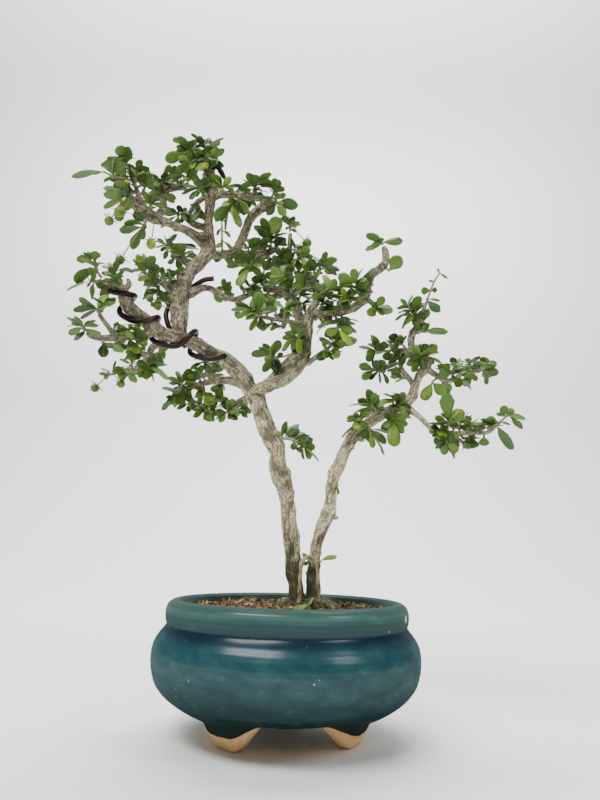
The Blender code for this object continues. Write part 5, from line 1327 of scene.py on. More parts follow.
def make_wire_finish():
    """Copper-brown anodised aluminium: a satin metal with die lines along it, and copper patches that are
    partly worn coat and partly painted sheen.
    """
    wire = Finish("wire_coat", metallic=0.75)
    grain = wire.carried("grain", "XYZ")
    # Bright copper patches by noise: partly worn coat, partly painted sheen in place of highlights.
    rubbed_and_painted_sheen = wire.noise(wire.stretched(grain, (0.5, 0.5, 0.25)), 0.35, 4.0, 0.6)
    lines = wire.noise(wire.stretched(grain, (1.0, 1.0, 0.03)), 3.0, 2.0)
    coat = wire.ramp(
        rubbed_and_painted_sheen, (0.35, (0.014, 0.009, 0.008)), (0.55, (0.032, 0.017, 0.013)), (0.70, (0.15, 0.056, 0.034))
    )
    bright = wire.mix(wire.carried("cut"), coat, (0.75, 0.30, 0.12))
    return wire.paint(base_color=bright, roughness=rubbed_and_painted_sheen * 0.2 + 0.27, normal=wire.bump(lines, 0.0001, 0.4))


def make_wires():
    finish = make_wire_finish()
    wound = limb_wire_route(solid_tree("trunk_and_branches"))
    tree = solid_tree("trunk_and_branches", "limb_wire")
    behind = as_vectors(smooth_path([tuple(sight_point(*knot)) for knot in LEADER_WIRE], WIRE_STEP))
    behind = held_off(tree, behind, WIRE_STANDOFF)
    for name, route in (("limb_wire", wound), ("leader_wire", behind)):
        path = smooth_path(np.array(route), 0.7)
        radii = np.full(len(path), WIRE_RADIUS)
        radii[[0, -1]] = WIRE_RADIUS * 0.8
        surface = Sheets()
        points, faces, grain = tube(path, radii, WIRE_SIDES)
        cut = np.zeros(len(points))
        cut[-2:] = 1.0
        surface.add(points, faces, grain=grain, cut=cut)
        shown(name + "_turns", "wire_coat", surface.piece(name + "_turns", [finish]), name)


make_wires()

# %% [markdown]
# ## The leafy stems
# A spray is one short twig with its leaves. For each, the list holds the twig's route, then the
# leaves seen in the photograph (how far along the twig, the tip across and down, the width in
# pixels), then how many more grow where the view doesn't reach. The solids have only some of these
# sprays, and on each of those only the largest leaves; the rest is added here.

# %% All sprays
SPRAYS = {
    "crown_tip": (
        ((129.5, 173, -18), (126.5, 166, -20), (123, 159.5, -22)),
        ((1, 119, 145.5, 12), (1, 131, 150, 4), (0.95, 136.5, 157.5, 2), (0.8, 135, 172, 8),
         (0.9, 100.5, 165.5, 8), (0.75, 110, 158, 5), (0.3, 109.5, 170, 7)), 2),
    "crown_long_leaf": (
        ((132.5, 180, -18), (121, 178.5, -28), (111, 175.5, -36), (103, 171.5, -42)),
        ((1, 71, 176, 6), (0.7, 103.5, 181.5, 4), (1, 92, 173.5, 3), (0.35, 113, 187, 6),
         (0.45, 124, 169, 6)), 2),
    "crown_low": (
        ((137.5, 192, -15), (131, 194.5, -22), (125, 200, -27)),
        ((0.4, 104, 188, 5), (0.75, 103.5, 194.5, 8.5), (1, 103, 207.5, 5.5), (1, 116.5, 221, 9.5),
         (0.5, 130, 184, 6)), 2),
    "crown_under": (
        ((148, 217.5, -9), (144.5, 224, -15), (141, 229, -19)),
        ((0.25, 141, 212, 8), (0.9, 120, 230, 8), (0.7, 141.5, 240, 8), (1, 132, 248.5, 9.5)), 1),
    "crown_right": (
        ((136, 188, -16), (143, 184.5, -12), (149, 183, -8)),
        ((0.3, 146, 177, 8), (1, 151, 189.5, 5), (0.5, 133.5, 175, 6)), 2),
    "inner_crown_top": (
        ((165, 190, 4), (163, 184, 1), (161.5, 179, -2)),
        ((0.6, 138, 181, 6.5), (1, 148, 175.5, 6), (1, 170, 165, 4.5), (0.75, 184, 173.5, 7),
         (0.3, 144.5, 199, 4.5), (0.2, 156, 194, 7)), 1),
    "inner_crown_low": (
        ((191, 213, 14), (183, 213, 9), (177, 216, 4)),
        ((0.7, 161, 210.5, 9.5), (1, 160, 227.5, 5.5), (0.4, 177, 205.5, 6), (0.15, 183, 207, 6)), 2),
    "crown_small_low": (
        ((152, 213, -8), (151, 207, -12), (150, 204.5, -15)),
        ((1, 165, 205, 5.5), (1, 144, 200, 3)), 1),
    "apex_left": (
        ((194.5, 147, 15), (190, 150, 10), (186, 152.5, 5)),
        ((1, 165, 160, 12), (0.8, 177.5, 148, 4), (0.4, 184.5, 136.5, 9), (0.9, 175, 152, 6)), 2),
    "apex_right": (
        ((194, 143, 16), (201, 146, 12), (207, 148, 8)),
        ((0.2, 198.5, 136, 8), (0.5, 209.5, 137, 7.5), (0.9, 219.5, 142, 6), (0.9, 223.5, 137, 2),
         (1, 215, 154, 8.5), (1, 220, 150, 4)), 2),
    "apex_under": (
        ((200, 157, 14), (194.5, 161, 7), (189, 163.5, 2)),
        ((1, 176, 172, 9), (0.9, 178.5, 161, 4), (0.4, 190, 173, 6), (0.7, 183, 157.5, 4),
         (0.2, 205, 170, 6)), 3),
    "apex_inner": (
        ((205, 167, 13), (209.5, 162, 8), (211.5, 158, 5)),
        ((1, 216.5, 165, 9), (0.8, 222, 163, 2.5), (0.4, 196, 168, 6), (1, 206, 154, 6)), 2),
    "apex_star": (
        ((211, 187, 9), (204.5, 189, 2), (198.5, 189, -4)),
        ((1, 183, 184, 4.5), (1, 181, 192.5, 5.5), (0.9, 213, 186, 4.5), (1, 206, 197, 4),
         (0.9, 194, 179, 6), (1, 190, 199, 4.5), (0.5, 191, 174, 7), (0.4, 207, 177, 6)), 1),
    "apex_back": (
        ((214, 184, 11), (210, 184, 22), (202, 182, 32)),
        (), 7),
    "top_arm_upper": (
        ((252, 197, -1), (254, 190, -4), (256, 183, -6)),
        ((1, 270.5, 172, 7), (0.8, 273.5, 182, 7.5), (0.7, 240.5, 184.5, 6), (0.5, 278.5, 187.5, 2.5),
         (0.35, 240.5, 190, 3), (1, 254.5, 174, 5)), 2),
    "top_arm_yellow": (
        ((219, 194.5, 6), (221, 189, 2), (223, 187, -1)),
        ((1, 234, 189.5, 5), (0.8, 241, 184.5, 3.5)), 1),
    "top_arm_end": (
        ((271, 198.5, -4), (274.5, 202, -7), (276.5, 206, -9)),
        ((0.6, 298.5, 204.5, 12), (0.2, 286, 194, 6), (0.1, 253.5, 195.5, 5), (1, 286, 215.5, 9)), 1),
    "tall_twig_star": (
        ((290, 234, 24), (290, 229, 23), (290, 224, 22)),
        ((1, 281, 217.5, 3.5), (1, 294.5, 219.5, 4), (0.8, 299.5, 223.5, 5), (0.6, 285, 229, 3),
         (0.3, 297, 231, 4)), 1),
    "upper_right_fan": (
        ((271, 252, 29), (271, 243, 25), (271.5, 235.5, 22)),
        ((1, 277.5, 216.5, 15), (1, 262, 217.5, 8), (0.9, 254, 226, 6.5), (0.85, 287.5, 232, 3),
         (0.2, 248.5, 242, 10), (0.5, 263.5, 239, 8), (0.5, 286, 240, 9)), 1),
    "top_arm_hanging": (
        ((240, 196, 3), (235, 201, -1), (230.5, 204, -3)),
        ((0.8, 215, 219.5, 13), (0.5, 235.5, 219, 9), (0.2, 249.5, 213.5, 7), (1, 238.5, 226, 6),
         (1, 224, 230.5, 3.5)), 1),
    "light_shoot": (
        ((222, 253.5, 11), (222, 241, 6), (222, 229, 4), (221.5, 219, 4)),
        ((1, 214.5, 220, 4), (0.7, 216, 235, 3.5), (0.6, 231.5, 236, 4.5), (0.25, 216.5, 248, 5),
         (0.3, 233, 249.5, 3.5), (1, 227, 222, 3)), 0),
    "left_loop_leaves": (
        ((191.5, 211, 15), (196, 208, 10), (200, 206, 6)),
        ((1, 192, 219.5, 8), (0.9, 203.5, 220, 6)), 2),
    "wired_end_upper": (
        ((104, 280.5, -30), (98, 273, -33), (95.5, 264.5, -36), (94, 257, -38)),
        ((1, 76.5, 259, 9), (1, 100.5, 253.5, 5), (0.5, 72.5, 279.5, 11), (0.75, 89, 251, 6)), 1),
    "wired_end_tip": (
        ((102, 281, -30), (95, 281, -34), (89, 281.5, -37)),
        ((1, 66, 290, 3.5), (0.6, 91.5, 299.5, 6), (0.8, 87, 287, 3)), 1),
    "wired_end_top": (
        ((116, 284, -26), (113, 276.5, -22), (117, 270, -18)),
        ((0.8, 103.5, 264, 7), (0.5, 101.5, 273, 5), (0.8, 120, 279, 7), (1, 134, 270, 4.5),
         (1, 108, 262, 5)), 2),
    "fork_shoot_end": (
        ((99, 314, -39), (97.5, 309.5, -41), (97, 308, -41)),
        ((0.8, 73, 309.5, 7), (1, 106.5, 294, 9), (0.8, 116, 301, 6), (0.5, 80, 317.5, 5),
         (0.9, 84, 305, 5)), 1),
    "left_fork_end": (
        ((87, 332.5, -41), (83.5, 328, -42), (82, 324.5, -43)),
        ((0.9, 71.5, 324, 4), (0.5, 68.5, 334, 6.5), (0, 75, 340.5, 6), (0.6, 98, 324.5, 6),
         (1, 95.5, 319.5, 4.5), (0.3, 98, 334, 5)), 2),
    "left_fork_under": (
        ((104, 339.5, -35), (103, 342, -37), (103, 343.5, -38)),
        ((1, 103.5, 357, 11), (0.6, 124.5, 350.5, 8)), 0),
    "left_fork_top": (
        ((130, 333.5, -23), (129, 330, -27), (128, 328.5, -29)),
        ((1, 116.5, 331, 4.5), (1, 117, 326, 5), (1, 139, 329, 6), (0.6, 131, 323.5, 5)), 1),
    "left_fork_hanging": (
        ((137, 338.5, -18), (137, 342, -22), (137, 345, -25)),
        ((0.8, 127.5, 344, 8), (0.8, 148, 343.5, 7), (1, 136, 352, 9), (0.5, 146, 337, 5)), 1),
    "twist_middle": (
        ((150, 354, 8), (141, 352, 2), (136, 353, -3)),
        ((1, 125, 351, 5), (0.8, 124.5, 359, 5), (0.9, 131.5, 361.5, 5), (0.3, 143, 343, 5)), 2),
    "twist_right": (
        ((144.5, 362.5, 13), (148, 365, 7), (149, 368, 3)),
        ((0.2, 159, 365.5, 7), (1, 169, 378, 7), (1, 150, 377, 7), (0.6, 139, 377.5, 8)), 1),
    "twist_tip": (
        ((121, 371.5, 24), (114, 373.5, 23), (108, 375, 22)),
        ((1, 99, 373.5, 4), (0.5, 115.5, 360, 3.5), (0.3, 115, 370.5, 6), (0.1, 124, 380, 6),
         (1, 104, 378.5, 5)), 1),
    "back_left_low_end": (
        ((145, 273, 19), (145, 270, 17), (145.5, 267.5, 15)),
        ((1, 155.5, 256.5, 9), (0.8, 138, 264, 9.5), (0.8, 159.5, 269, 8.5), (0.3, 132, 270, 3.5),
         (1, 145, 253.5, 6)), 1),
    "back_left_low_under": (
        ((160, 282.5, 12), (158, 289, 7), (157, 296, 4)),
        ((0.3, 144, 297.5, 9), (0.2, 152, 281.5, 6), (1, 158, 311, 8), (0.7, 168, 300, 8)), 2),
    "back_left_low_top": (
        ((166, 286, 8), (169, 281, 3), (173, 277, 0)),
        ((0.4, 173, 290.5, 9), (1, 183.5, 266, 6), (0.7, 162, 275, 5), (1, 168, 268, 5),
         (0.4, 177, 283, 6)), 1),
    "back_left_high_end": (
        ((172, 251.5, 23), (168, 247, 22), (165, 244, 21)),
        ((1, 157, 239, 5), (0.8, 177, 234, 4.5), (0.5, 199.5, 249, 5), (0.6, 160, 251, 4),
         (0.2, 190, 253.5, 4), (0.1, 163.5, 259, 5.5), (0.6, 196, 244.5, 4)), 2),
    "upper_right_under": (
        ((257, 256, 23), (252, 262, 16), (250, 267, 11)),
        ((0.2, 233, 257, 12), (0.6, 226, 265, 9), (0.7, 268, 262.5, 8), (1, 238, 276, 7),
         (1, 261, 274, 8), (0.9, 237, 284, 7)), 3),
    "upright_end": (
        ((297, 277, 2), (289, 277, -3), (282, 275.5, -8)),
        ((0.5, 268, 283, 7.5), (1, 270, 269, 8), (1, 283, 264.5, 8), (0.4, 290, 267, 7),
         (0.8, 276, 284, 6)), 3),
    "tall_twig_middle": (
        ((291, 262, 22), (297, 258.5, 15), (302, 256, 10)),
        ((0.6, 296.5, 247, 8), (1, 313.5, 257, 6), (0.9, 304.5, 250, 7), (1, 311, 271, 9),
         (0.6, 299, 271, 8)), 2),
    "tall_twig_low": (
        ((291, 274, 21), (285, 268, 26), (278, 262, 31)),
        ((1, 262, 268, 8), (0.8, 281, 253, 8), (1, 272, 256, 7), (0.5, 281, 279, 7)), 3),
    "upright_fork_end": (
        ((319.5, 269.5, -9), (320, 266.5, -10), (320.5, 264.5, -11)),
        ((1, 336.5, 258.5, 9), (0.8, 340, 269, 5), (0.5, 309.5, 263, 6), (0.3, 316.5, 276, 5)), 1),
    "front_arm_top": (
        ((321, 307, -14), (324, 297, -20), (327, 289, -25)),
        ((1, 337, 280.5, 9), (0.8, 333, 297.5, 9), (0.8, 315, 285, 8), (1, 325.5, 274.5, 8),
         (0.9, 343, 288, 6), (0.5, 311, 296, 8), (0.6, 339.5, 297, 5)), 2),
    "front_arm_big": (
        ((361, 299, -20), (357.5, 290, -25), (356, 283, -28)),
        ((1, 338, 276.5, 11), (1, 353, 268.5, 9), (1, 361.5, 267, 4.5), (0.9, 368.5, 282, 9),
         (0.8, 374.5, 267, 3), (0.3, 348.5, 292.5, 9), (0.4, 367, 290, 7)), 2),
    "front_arm_middle": (
        ((350, 307, -21), (348.5, 302, -25), (347, 297.5, -28)),
        ((0.4, 346, 310.5, 8), (1, 339, 301, 6), (0.6, 363, 298, 6), (1, 342, 290, 6)), 2),
    "front_arm_tip": (
        ((383.5, 247, -14), (382.5, 244.5, -15), (382, 242.5, -16)),
        ((0.6, 402, 240.5, 6.5), (1, 381, 237.5, 6), (0.8, 371.5, 245.5, 7), (0.3, 365.5, 250.5, 6),
         (1, 376.5, 240.5, 5)), 1),
    "front_arm_round": (
        ((387, 268.5, -15), (388.5, 270.5, -16), (389.5, 271, -17)),
        ((1, 401, 256.5, 14.5),), 0),
    "arm_twig_end": (
        ((374, 305.5, -24), (375, 307, -25), (376, 308, -26)),
        ((0.3, 384, 296.5, 9), (1, 393, 310.5, 10), (0.8, 369, 312, 7), (0.6, 383, 315, 4),
         (0.3, 369, 296, 4)), 0),
    "front_arm_under": (
        ((334, 313.5, -17), (337.5, 322, -22), (338, 330, -26)),
        ((0.2, 350, 323, 10), (0.8, 353, 332.5, 9), (1, 352, 344.5, 9), (1, 338, 344, 8),
         (0.8, 324, 336, 9), (0.4, 317, 326, 5), (0.6, 327, 321, 6)), 2),
    "limb_stub_end": (
        ((329, 347.5, -21), (332, 345, -24), (334, 343, -26)),
        ((0.2, 319, 338, 6), (0.8, 336, 355, 7), (1, 345, 345.5, 8), (1, 357, 339.5, 8),
         (0.6, 323, 341, 6)), 1),
    "limb_left": (
        ((308, 333, -12), (302, 334, -18), (297, 338, -22)),
        ((1, 281, 349.5, 6), (0.6, 291, 325, 8), (0.8, 299, 353.5, 8), (0.3, 305, 347, 7),
         (1, 287, 332, 6)), 2),
    "front_left_end": (
        ((261, 316.8, -30), (256.5, 313.5, -33), (252.5, 309, -35)),
        ((0.2, 250, 331, 6), (0.1, 263.5, 326.5, 6), (1, 236, 317.5, 6), (1, 231, 309, 5),
         (0.9, 235.5, 301.5, 5.5), (0.4, 266, 303, 7), (0.3, 277.5, 307.5, 7)), 2),
    "back_limb_end": (
        ((263, 289.5, 25), (260.5, 295, 22), (261, 301, 19)),
        ((1, 252, 298, 4.5), (1, 275.5, 300, 3.5), (0.1, 251, 286, 7), (0.6, 285, 305, 7),
         (0.5, 247, 291.5, 7), (0.6, 268, 309, 5)), 2),
    "behind_limb_shoot": (
        ((284, 368, 9), (277, 359, 3), (270.5, 354.5, -2)),
        ((1, 251, 353.5, 9), (0.75, 279, 340, 9.5), (0.8, 264.5, 361, 8), (0.6, 262, 371, 8),
         (0.5, 283, 353, 6), (1, 259, 347, 6)), 2),
    "trunk_shoot": (
        ((272, 438, -5), (283, 438, -12), (295, 441, -17), (304, 447.5, -20)),
        ((0.15, 276.5, 431, 6), (0.3, 298.5, 427.5, 9), (0.1, 286, 421, 7), (0.5, 308.5, 435.5, 7),
         (1, 320.5, 460, 2.5)), 0),
    "low_left_end": (
        ((187, 388.5, 29), (184, 387, 24), (182, 384, 20)),
        ((1, 168.5, 377, 5), (1, 189, 368.5, 7), (0.6, 202, 372, 9), (0.8, 179, 371, 5),
         (0.3, 171, 396, 7), (0.4, 181.5, 406, 6)), 2),
    "low_left_end_low": (
        ((182, 389.5, 30), (178, 393.5, 27), (174, 399, 24)),
        ((1, 161, 409, 6.5), (0.8, 166, 401, 4), (0.3, 190, 398, 6)), 1),
    "low_left_twig_end": (
        ((205, 364.5, 22), (204.5, 361, 20), (204.5, 358.5, 18)),
        ((0.2, 190, 368, 4), (0.6, 201, 352, 6), (0.3, 212, 368, 4)), 1),
    "low_left_hang": (
        ((203, 384.5, 21), (204, 390, 16), (204, 396, 12)),
        ((0.4, 196, 398, 7), (1, 209, 405, 8), (0.6, 213, 398, 7), (0.2, 197, 389, 5)), 1),
    "low_left_olive": (
        ((199.5, 406, 25), (202, 409.5, 22), (203, 411, 20)),
        ((1, 212.5, 421, 9.5), (0.6, 197, 415, 5)), 0),
    "low_left_second_end": (
        ((230.5, 409.5, 15), (228, 411.5, 11), (226, 412.5, 8)),
        ((0.9, 237.5, 419.5, 6), (1, 219, 422, 7), (0.7, 222.5, 401, 6), (0.4, 245, 409.5, 3),
         (0.8, 232.5, 398.5, 6), (1, 215, 409.5, 4)), 2),
    "bend_upper": (
        ((381, 415, 2), (375, 409, -5), (371, 405, -10)),
        ((0.9, 357.5, 399, 8), (1, 349, 404.5, 3), (0.7, 355, 411, 3.5), (0.6, 391.5, 397, 8),
         (0.9, 375, 392.5, 8), (0.3, 384, 406, 8)), 2),
    "bend_left": (
        ((366, 425, 5), (361, 421, -2), (358, 418, -6)),
        ((1, 346.5, 418.5, 7), (0.9, 366, 411.5, 8), (1, 356.5, 426, 8), (0.2, 341, 436.5, 4.5)), 1),
    "bend_front": (
        ((366, 423, 2), (369, 429, -6), (371, 435, -11)),
        ((0.5, 361, 435.5, 7), (0.7, 381, 437, 7), (1, 386.5, 453.5, 3), (1, 373, 447.5, 6),
         (0.6, 386.5, 443, 7)), 1),
    "bend_lobed": (
        ((388, 411.5, 0), (391, 416, -6), (393, 420, -10)),
        ((1, 394, 446.5, 14), (0.9, 407.5, 425, 8.5), (1, 404, 433, 9), (0.8, 382, 432, 9),
         (0.2, 411.5, 416.5, 4.5)), 1),
    "bend_back": (
        ((376, 418, 4), (373, 412, 19), (370, 407, 30)),
        (), 6),
    "leader_low_end": (
        ((394, 350.5, 10), (384, 351, 10), (374, 350, 11)),
        ((1, 358.5, 346.5, 4.5), (1, 367, 355, 8), (0.8, 372.5, 337, 6), (0.5, 391, 342, 6.5),
         (0.9, 366.5, 361, 9), (0.4, 384, 341, 8), (0.1, 399, 345, 6)), 3),
    "right_inner_end": (
        ((388, 371, 15), (380, 371.5, 13), (373, 369, 11)),
        ((1, 362.5, 379.5, 9), (1, 359.5, 365, 9), (0.7, 384, 359.5, 9), (0.3, 393, 361, 8),
         (0.3, 389, 383.5, 5), (0.6, 381, 383.5, 4), (0.1, 399, 360, 6)), 2),
    "leader_middle": (
        ((425, 359.5, -4), (422.5, 356.5, -9), (421, 354.5, -13)),
        ((0.7, 442.5, 362, 4), (1, 427, 351, 6), (0.8, 438, 352, 4), (0.5, 410, 360, 5),
         (0.2, 411, 371, 7), (1, 412.5, 346, 7)), 2),
    "leader_shoot": (
        ((419, 320.5, 9), (412.5, 312, 4), (408, 306, 1)),
        ((1, 400.5, 299, 5), (1, 412, 294.5, 3.5), (0.9, 396.5, 307.5, 4.5), (0.6, 394.5, 319.5, 4),
         (0.5, 400.5, 328, 4.5), (0.4, 407, 324, 5), (0.2, 425, 314, 9), (0.7, 424, 304, 6)), 1),
    "leader_tip": (
        ((426, 303, 10), (430.5, 291, 10), (435, 280, 10), (440, 272.5, 10)),
        ((0.05, 440, 300, 2.5), (0, 439.5, 311.5, 9), (0.35, 421, 291, 8), (0.35, 437.5, 290, 6),
         (0.65, 428.5, 280.5, 2.5), (1, 447.5, 278.5, 3), (1, 437.5, 268.5, 2.5)), 0),
    "leader_long_leaf": (
        ((414, 332, 7), (419.5, 331.5, 4), (424.5, 331, 2)),
        ((1, 447.5, 331.5, 8), (0.6, 425.5, 326, 4.5), (0.2, 416.5, 320.5, 7)), 0),
    "upper_stub_end": (
        ((438, 377, -2), (434, 380.5, -7), (432, 383, -9)),
        ((1, 423.5, 400, 11.5), (1, 445.5, 394, 12)), 0),
    "upper_reach_middle": (
        ((453, 379.5, 5), (452.5, 374, 0), (451, 370.5, -4)),
        ((0.6, 437.5, 374, 12), (1, 437.5, 364, 7), (0.8, 461, 367, 6), (0.5, 467, 366, 4),
         (0.05, 462.5, 385.5, 10.5)), 1),
    "upper_reach_end": (
        ((474, 372, 14), (481, 370.5, 16), (486, 370, 17)),
        ((1, 498.5, 373.5, 9), (0.7, 485.5, 359.5, 6.5), (0.5, 473, 361, 8), (0.1, 469, 366, 5),
         (0.6, 488, 384.5, 5)), 1),
    "reach_big_leaf": (
        ((446, 433.5, -19), (447.5, 427, -23), (448, 420, -25)),
        ((1, 446, 393.5, 15), (0.8, 435, 416.5, 7), (0.5, 430, 421.5, 3), (0.3, 440, 427, 7),
         (0.6, 458, 421, 9)), 2),
    "reach_middle_top": (
        ((459, 433.5, -20), (460, 427, -16), (460.5, 421, -13)),
        ((0.9, 471.5, 417.5, 8), (1, 461, 408.5, 9), (0.5, 467, 428, 8), (0.6, 449, 424.5, 8)), 2),
    "reach_low": (
        ((448, 434.5, -20), (447, 439, -25), (447, 443, -28)),
        ((0.4, 433.5, 442, 10), (1, 443, 455, 8), (0.7, 459.5, 446, 9), (0.2, 467, 443.5, 3.5)), 1),
    "reach_right_top": (
        ((477, 432.5, -23), (476, 428, -20), (474, 425, -17)),
        ((1, 464.5, 421, 6), (0.7, 485.5, 428, 7), (0.3, 470, 440, 6)), 1),
    "reach_right_low": (
        ((484, 433.5, -24), (484, 435.5, -28), (484, 436.5, -31)),
        ((1, 484, 445.5, 10.5),), 0),
    "reach_tip": (
        ((492, 430, -24), (498, 424, -23), (504, 418.5, -21), (508.5, 414.5, -19)),
        ((0.2, 485.5, 420, 12), (0.95, 501, 406, 9), (1, 513, 408, 7.5), (1, 525.5, 419.5, 5),
         (1, 523, 429, 4.5), (1, 520, 414, 3), (0.3, 510, 424, 2.5), (0, 513, 449.5, 10)), 0),
    "base_sprout": (
        ((318, 566, -5), (319.5, 562.5, -8), (320.5, 561, -10)),
        ((1, 336.5, 555, 5),), 0),
    "soil_leaf": (
        ((313, 599, -6), (311, 602, -16), (309.5, 604.5, -26)),
        ((1, 295, 611, 6.5), (1, 306, 611, 5)), 0),
    "trunk_bud": (
        ((335, 480, 8), (337, 484, 3), (337.5, 487, 0)),
        ((1, 338.6, 494.5, 3.5), (0.6, 334.5, 491, 3)), 0),
    "root_sprout": (
        ((311, 566, -3), (309, 561.5, -4), (308, 560, -5)),
        ((1, 303, 552.5, 5), (1, 304, 565, 5)), 0),
}

# Leaves that were read later, so that the solids don't have them
LATER_LEAVES = {
    "trunk_shoot": ((0.8, 315.5, 447.5, 9), (0.9, 299, 452.5, 8), (0.25, 296, 422, 9), (0.4, 305, 431, 9),
                    (0.6, 293, 450, 7), (0.7, 313, 440, 8)),
}

# Berries: on which spray, how far along its twig, across, down, how much deeper, radius
BERRIES = {
    "crown_low": ((0.9, 109, 221, -2, 3.3),),
    "crown_under": ((0.8, 120, 260, -3, 3.4),),
    "tall_twig_star": ((0.8, 307, 243, -3, 3.9),),
    "twist_tip": ((0.9, 94.9, 388, -2, 3.35), (0.5, 121, 384, -3, 3.2)),
    "limb_stub_end": ((0.8, 336, 354, -3, 3.2),),
}
RIPENING = ((151, 244, -11, 3.6, 1.15), (126.5, 182.2, -36, 1.7, 1.5))
UNRIPE = ((119.8, 211.5, -47, 3.7, 1.05), (149.8, 299, -12, 2.5, 1.0), (153, 304.5, -10, 2.0, 1.0))

# Leafy spurs too many for the solids: on which limb, from which share of it to which, how many, and
# the window in the picture that their leaves stay in (left, top, right, bottom)
SPURS = (
    ("front_arm", 0.05, 0.6, 15, (314, 262, 368, 350)), ("upright_twig", 0.1, 1, 7, (268, 255, 345, 312)),
    ("upright_fork", 0.2, 1, 3, (300, 250, 345, 300)), ("behind_limb", 0.45, 1, 16, (236, 268, 345, 330)),
    ("tall_twig", 0.1, 0.65, 11, (258, 238, 316, 300)), ("upper_right", 0.3, 1, 12, (226, 236, 290, 302)),
    ("right_loop", 0.12, 0.34, 5, (205, 256, 252, 292)), ("middle_right", 0.4, 1, 8, (222, 262, 268, 318)),
    ("front_left_twig", 0.3, 1, 7, (226, 296, 300, 330)), ("right_limb", 0.45, 0.8, 4, (248, 338, 306, 376)),
    ("low_left", 0.3, 1, 8, (163, 364, 224, 420)), ("low_left_return", 0.1, 1, 5, (163, 386, 226, 424)),
    ("low_left_second", 0.3, 1, 5, (205, 396, 250, 424)), ("low_left_twig", 0.4, 1, 3, (180, 358, 222, 385)),
    ("low_left_twist", 0.3, 1, 7, (108, 338, 170, 384)), ("left_fork", 0.1, 0.5, 6, (112, 318, 148, 352)),
    ("left_fork_shoot", 0.8, 1, 1, (72, 292, 118, 318)), ("left_trunk", 0.955, 1, 8, (70, 250, 140, 300)),
    ("back_left_low", 0.2, 1, 8, (138, 254, 188, 312)), ("back_left_high", 0.3, 1, 8, (155, 234, 206, 272)),
    ("inner_crown", 0.45, 1, 7, (138, 164, 192, 204)), ("crown_stem", 0.4, 1, 12, (99, 144, 152, 216)),
    ("upper_left", 0.8, 1, 4, (100, 190, 150, 250)), ("middle_leader", 0.78, 1, 14, (164, 132, 222, 200)),
    ("top_arm", 0.1, 1, 7, (230, 168, 285, 198)), ("top_arm", 0.05, 0.6, 4, (212, 198, 256, 232)),
    ("right_leader", 0.05, 0.25, 8, (400, 342, 445, 368)),
    ("right_leader", 0.55, 0.85, 8, (393, 294, 430, 332)),
    ("right_leader_low", 0.2, 1, 10, (356, 332, 410, 368)), ("right_inner", 0.3, 1, 9, (356, 355, 402, 386)),
    ("right_trunk", 0.74, 0.86, 15, (342, 392, 412, 452)), ("right_upper", 0.2, 1, 8, (428, 355, 500, 392)),
    ("right_reach", 0.42, 0.95, 12, (428, 404, 510, 456)), ("limb_stub", 0.6, 1, 3, (316, 330, 360, 360)),
)
print("sprays:", len(SPRAYS), "of them solids:", sum(name in NODES for name in SPRAYS))

# %% [markdown]
# A leaf seen in the picture lies somewhere on its tip's sight line. Its depth is drawn at random,
# with a seed of its own, and then tried against everything that already stands: wood, wires, pot
# and other leaves. The first try that meets nothing is kept, as a real leaf grows into the light
# that is left. The same rule placed the leaves of the solids, so both stand in the same places.

# %% Working values of the leaf rule
TWIG_RADIUS = 0.95
TWIG_TIP_RADIUS = 0.65
TWIG_TEST_SWELL = 1.15
TWIG_STEP = 0.4
TWIG_SEGMENTS = 3
TWIG_SHIFTS = (0, 1.5, -1.5, 3, -3, 5, -5, 8, -8)
TWIG_STARTS = (0, 0.3, 0.6, 0.9, 1.2, 1.6, 2.0, 2.5)
TWIG_CLIMB = 0.8
BARK_CLEARANCE = 0.25
LEAF_THICKNESS = 1.2
LEAF_WIDTH_SHARE = 0.54
LEAF_ARCH = 0.08
LEAF_BEND = 0.15
LEAF_WIDEST_SHARE = 0.95
LEAF_ROUNDEST = 0.8
LONGEST_LEAF = 25.0
LEAF_OUTLINE = ((0.42, 0.8), (0.78, 1), (0.89, 0.52), (1, 0), (0.89, -0.52), (0.78, -1), (0.42, -0.8))
LEAF_THICKEST = 0.55
FREE_LEAF_LENGTHS = (10.5, 15.0)
GOLDEN_ANGLE = 137.5
LEAF_DEPTH_SHARE = 0.45
LEAF_DEPTH_SHIFTS = (0, 5, -5, 9, -9, 13, -13, 17, -17)
LEAF_SCALES = (1.0, 0.8)
FREE_LEAF_TURNS = (0, 40, -40, 80, -80, 120, -120, 160)
LEAF_INSET = 0.6
LEAF_CLEARANCE = 0.35
OWN_CLEARANCE = 0.15
DEPTH_LIMIT = 82.0
BOX_SLACK = 0.01
SPACE_ROOM = 6000
SEED = 41


# %% What already stands
class Space:
    """What already stands, each item with its owner, its bounds and its search tree."""

    def __init__(self):
        self.items = []
        self.bounds = np.empty((SPACE_ROOM, 2, 3))

    def add(self, owner, points, faces):
        tree = BVHTree.FromPolygons([tuple(point * MM) for point in points], faces)
        rows = np.array([tuple(point) for point in points])
        self.bounds[len(self.items)] = rows.min(0), rows.max(0)
        self.items.append((owner, tree))

    def add_node(self, name):
        mesh = NODES[name].data
        points = [vertex.co / MM for vertex in mesh.vertices]
        self.add(name, points, [tuple(face.vertices) for face in mesh.polygons])

    def meets(self, points, faces, owner, own):
        """Whether a test shape meets an item: only the owner's items, or only those of others."""
        rows = np.array([tuple(point) for point in points])
        known = self.bounds[:len(self.items)]
        near = (rows.min(0) <= known[:, 1]).all(1) & (rows.max(0) >= known[:, 0]).all(1)
        tree = None
        for index in np.flatnonzero(near):
            item_owner, item_tree = self.items[index]
            if (item_owner == owner) != own:
                continue
            tree = tree or BVHTree.FromPolygons([tuple(point * MM) for point in points], faces)
            if tree.overlap(item_tree):
                return True
        return False


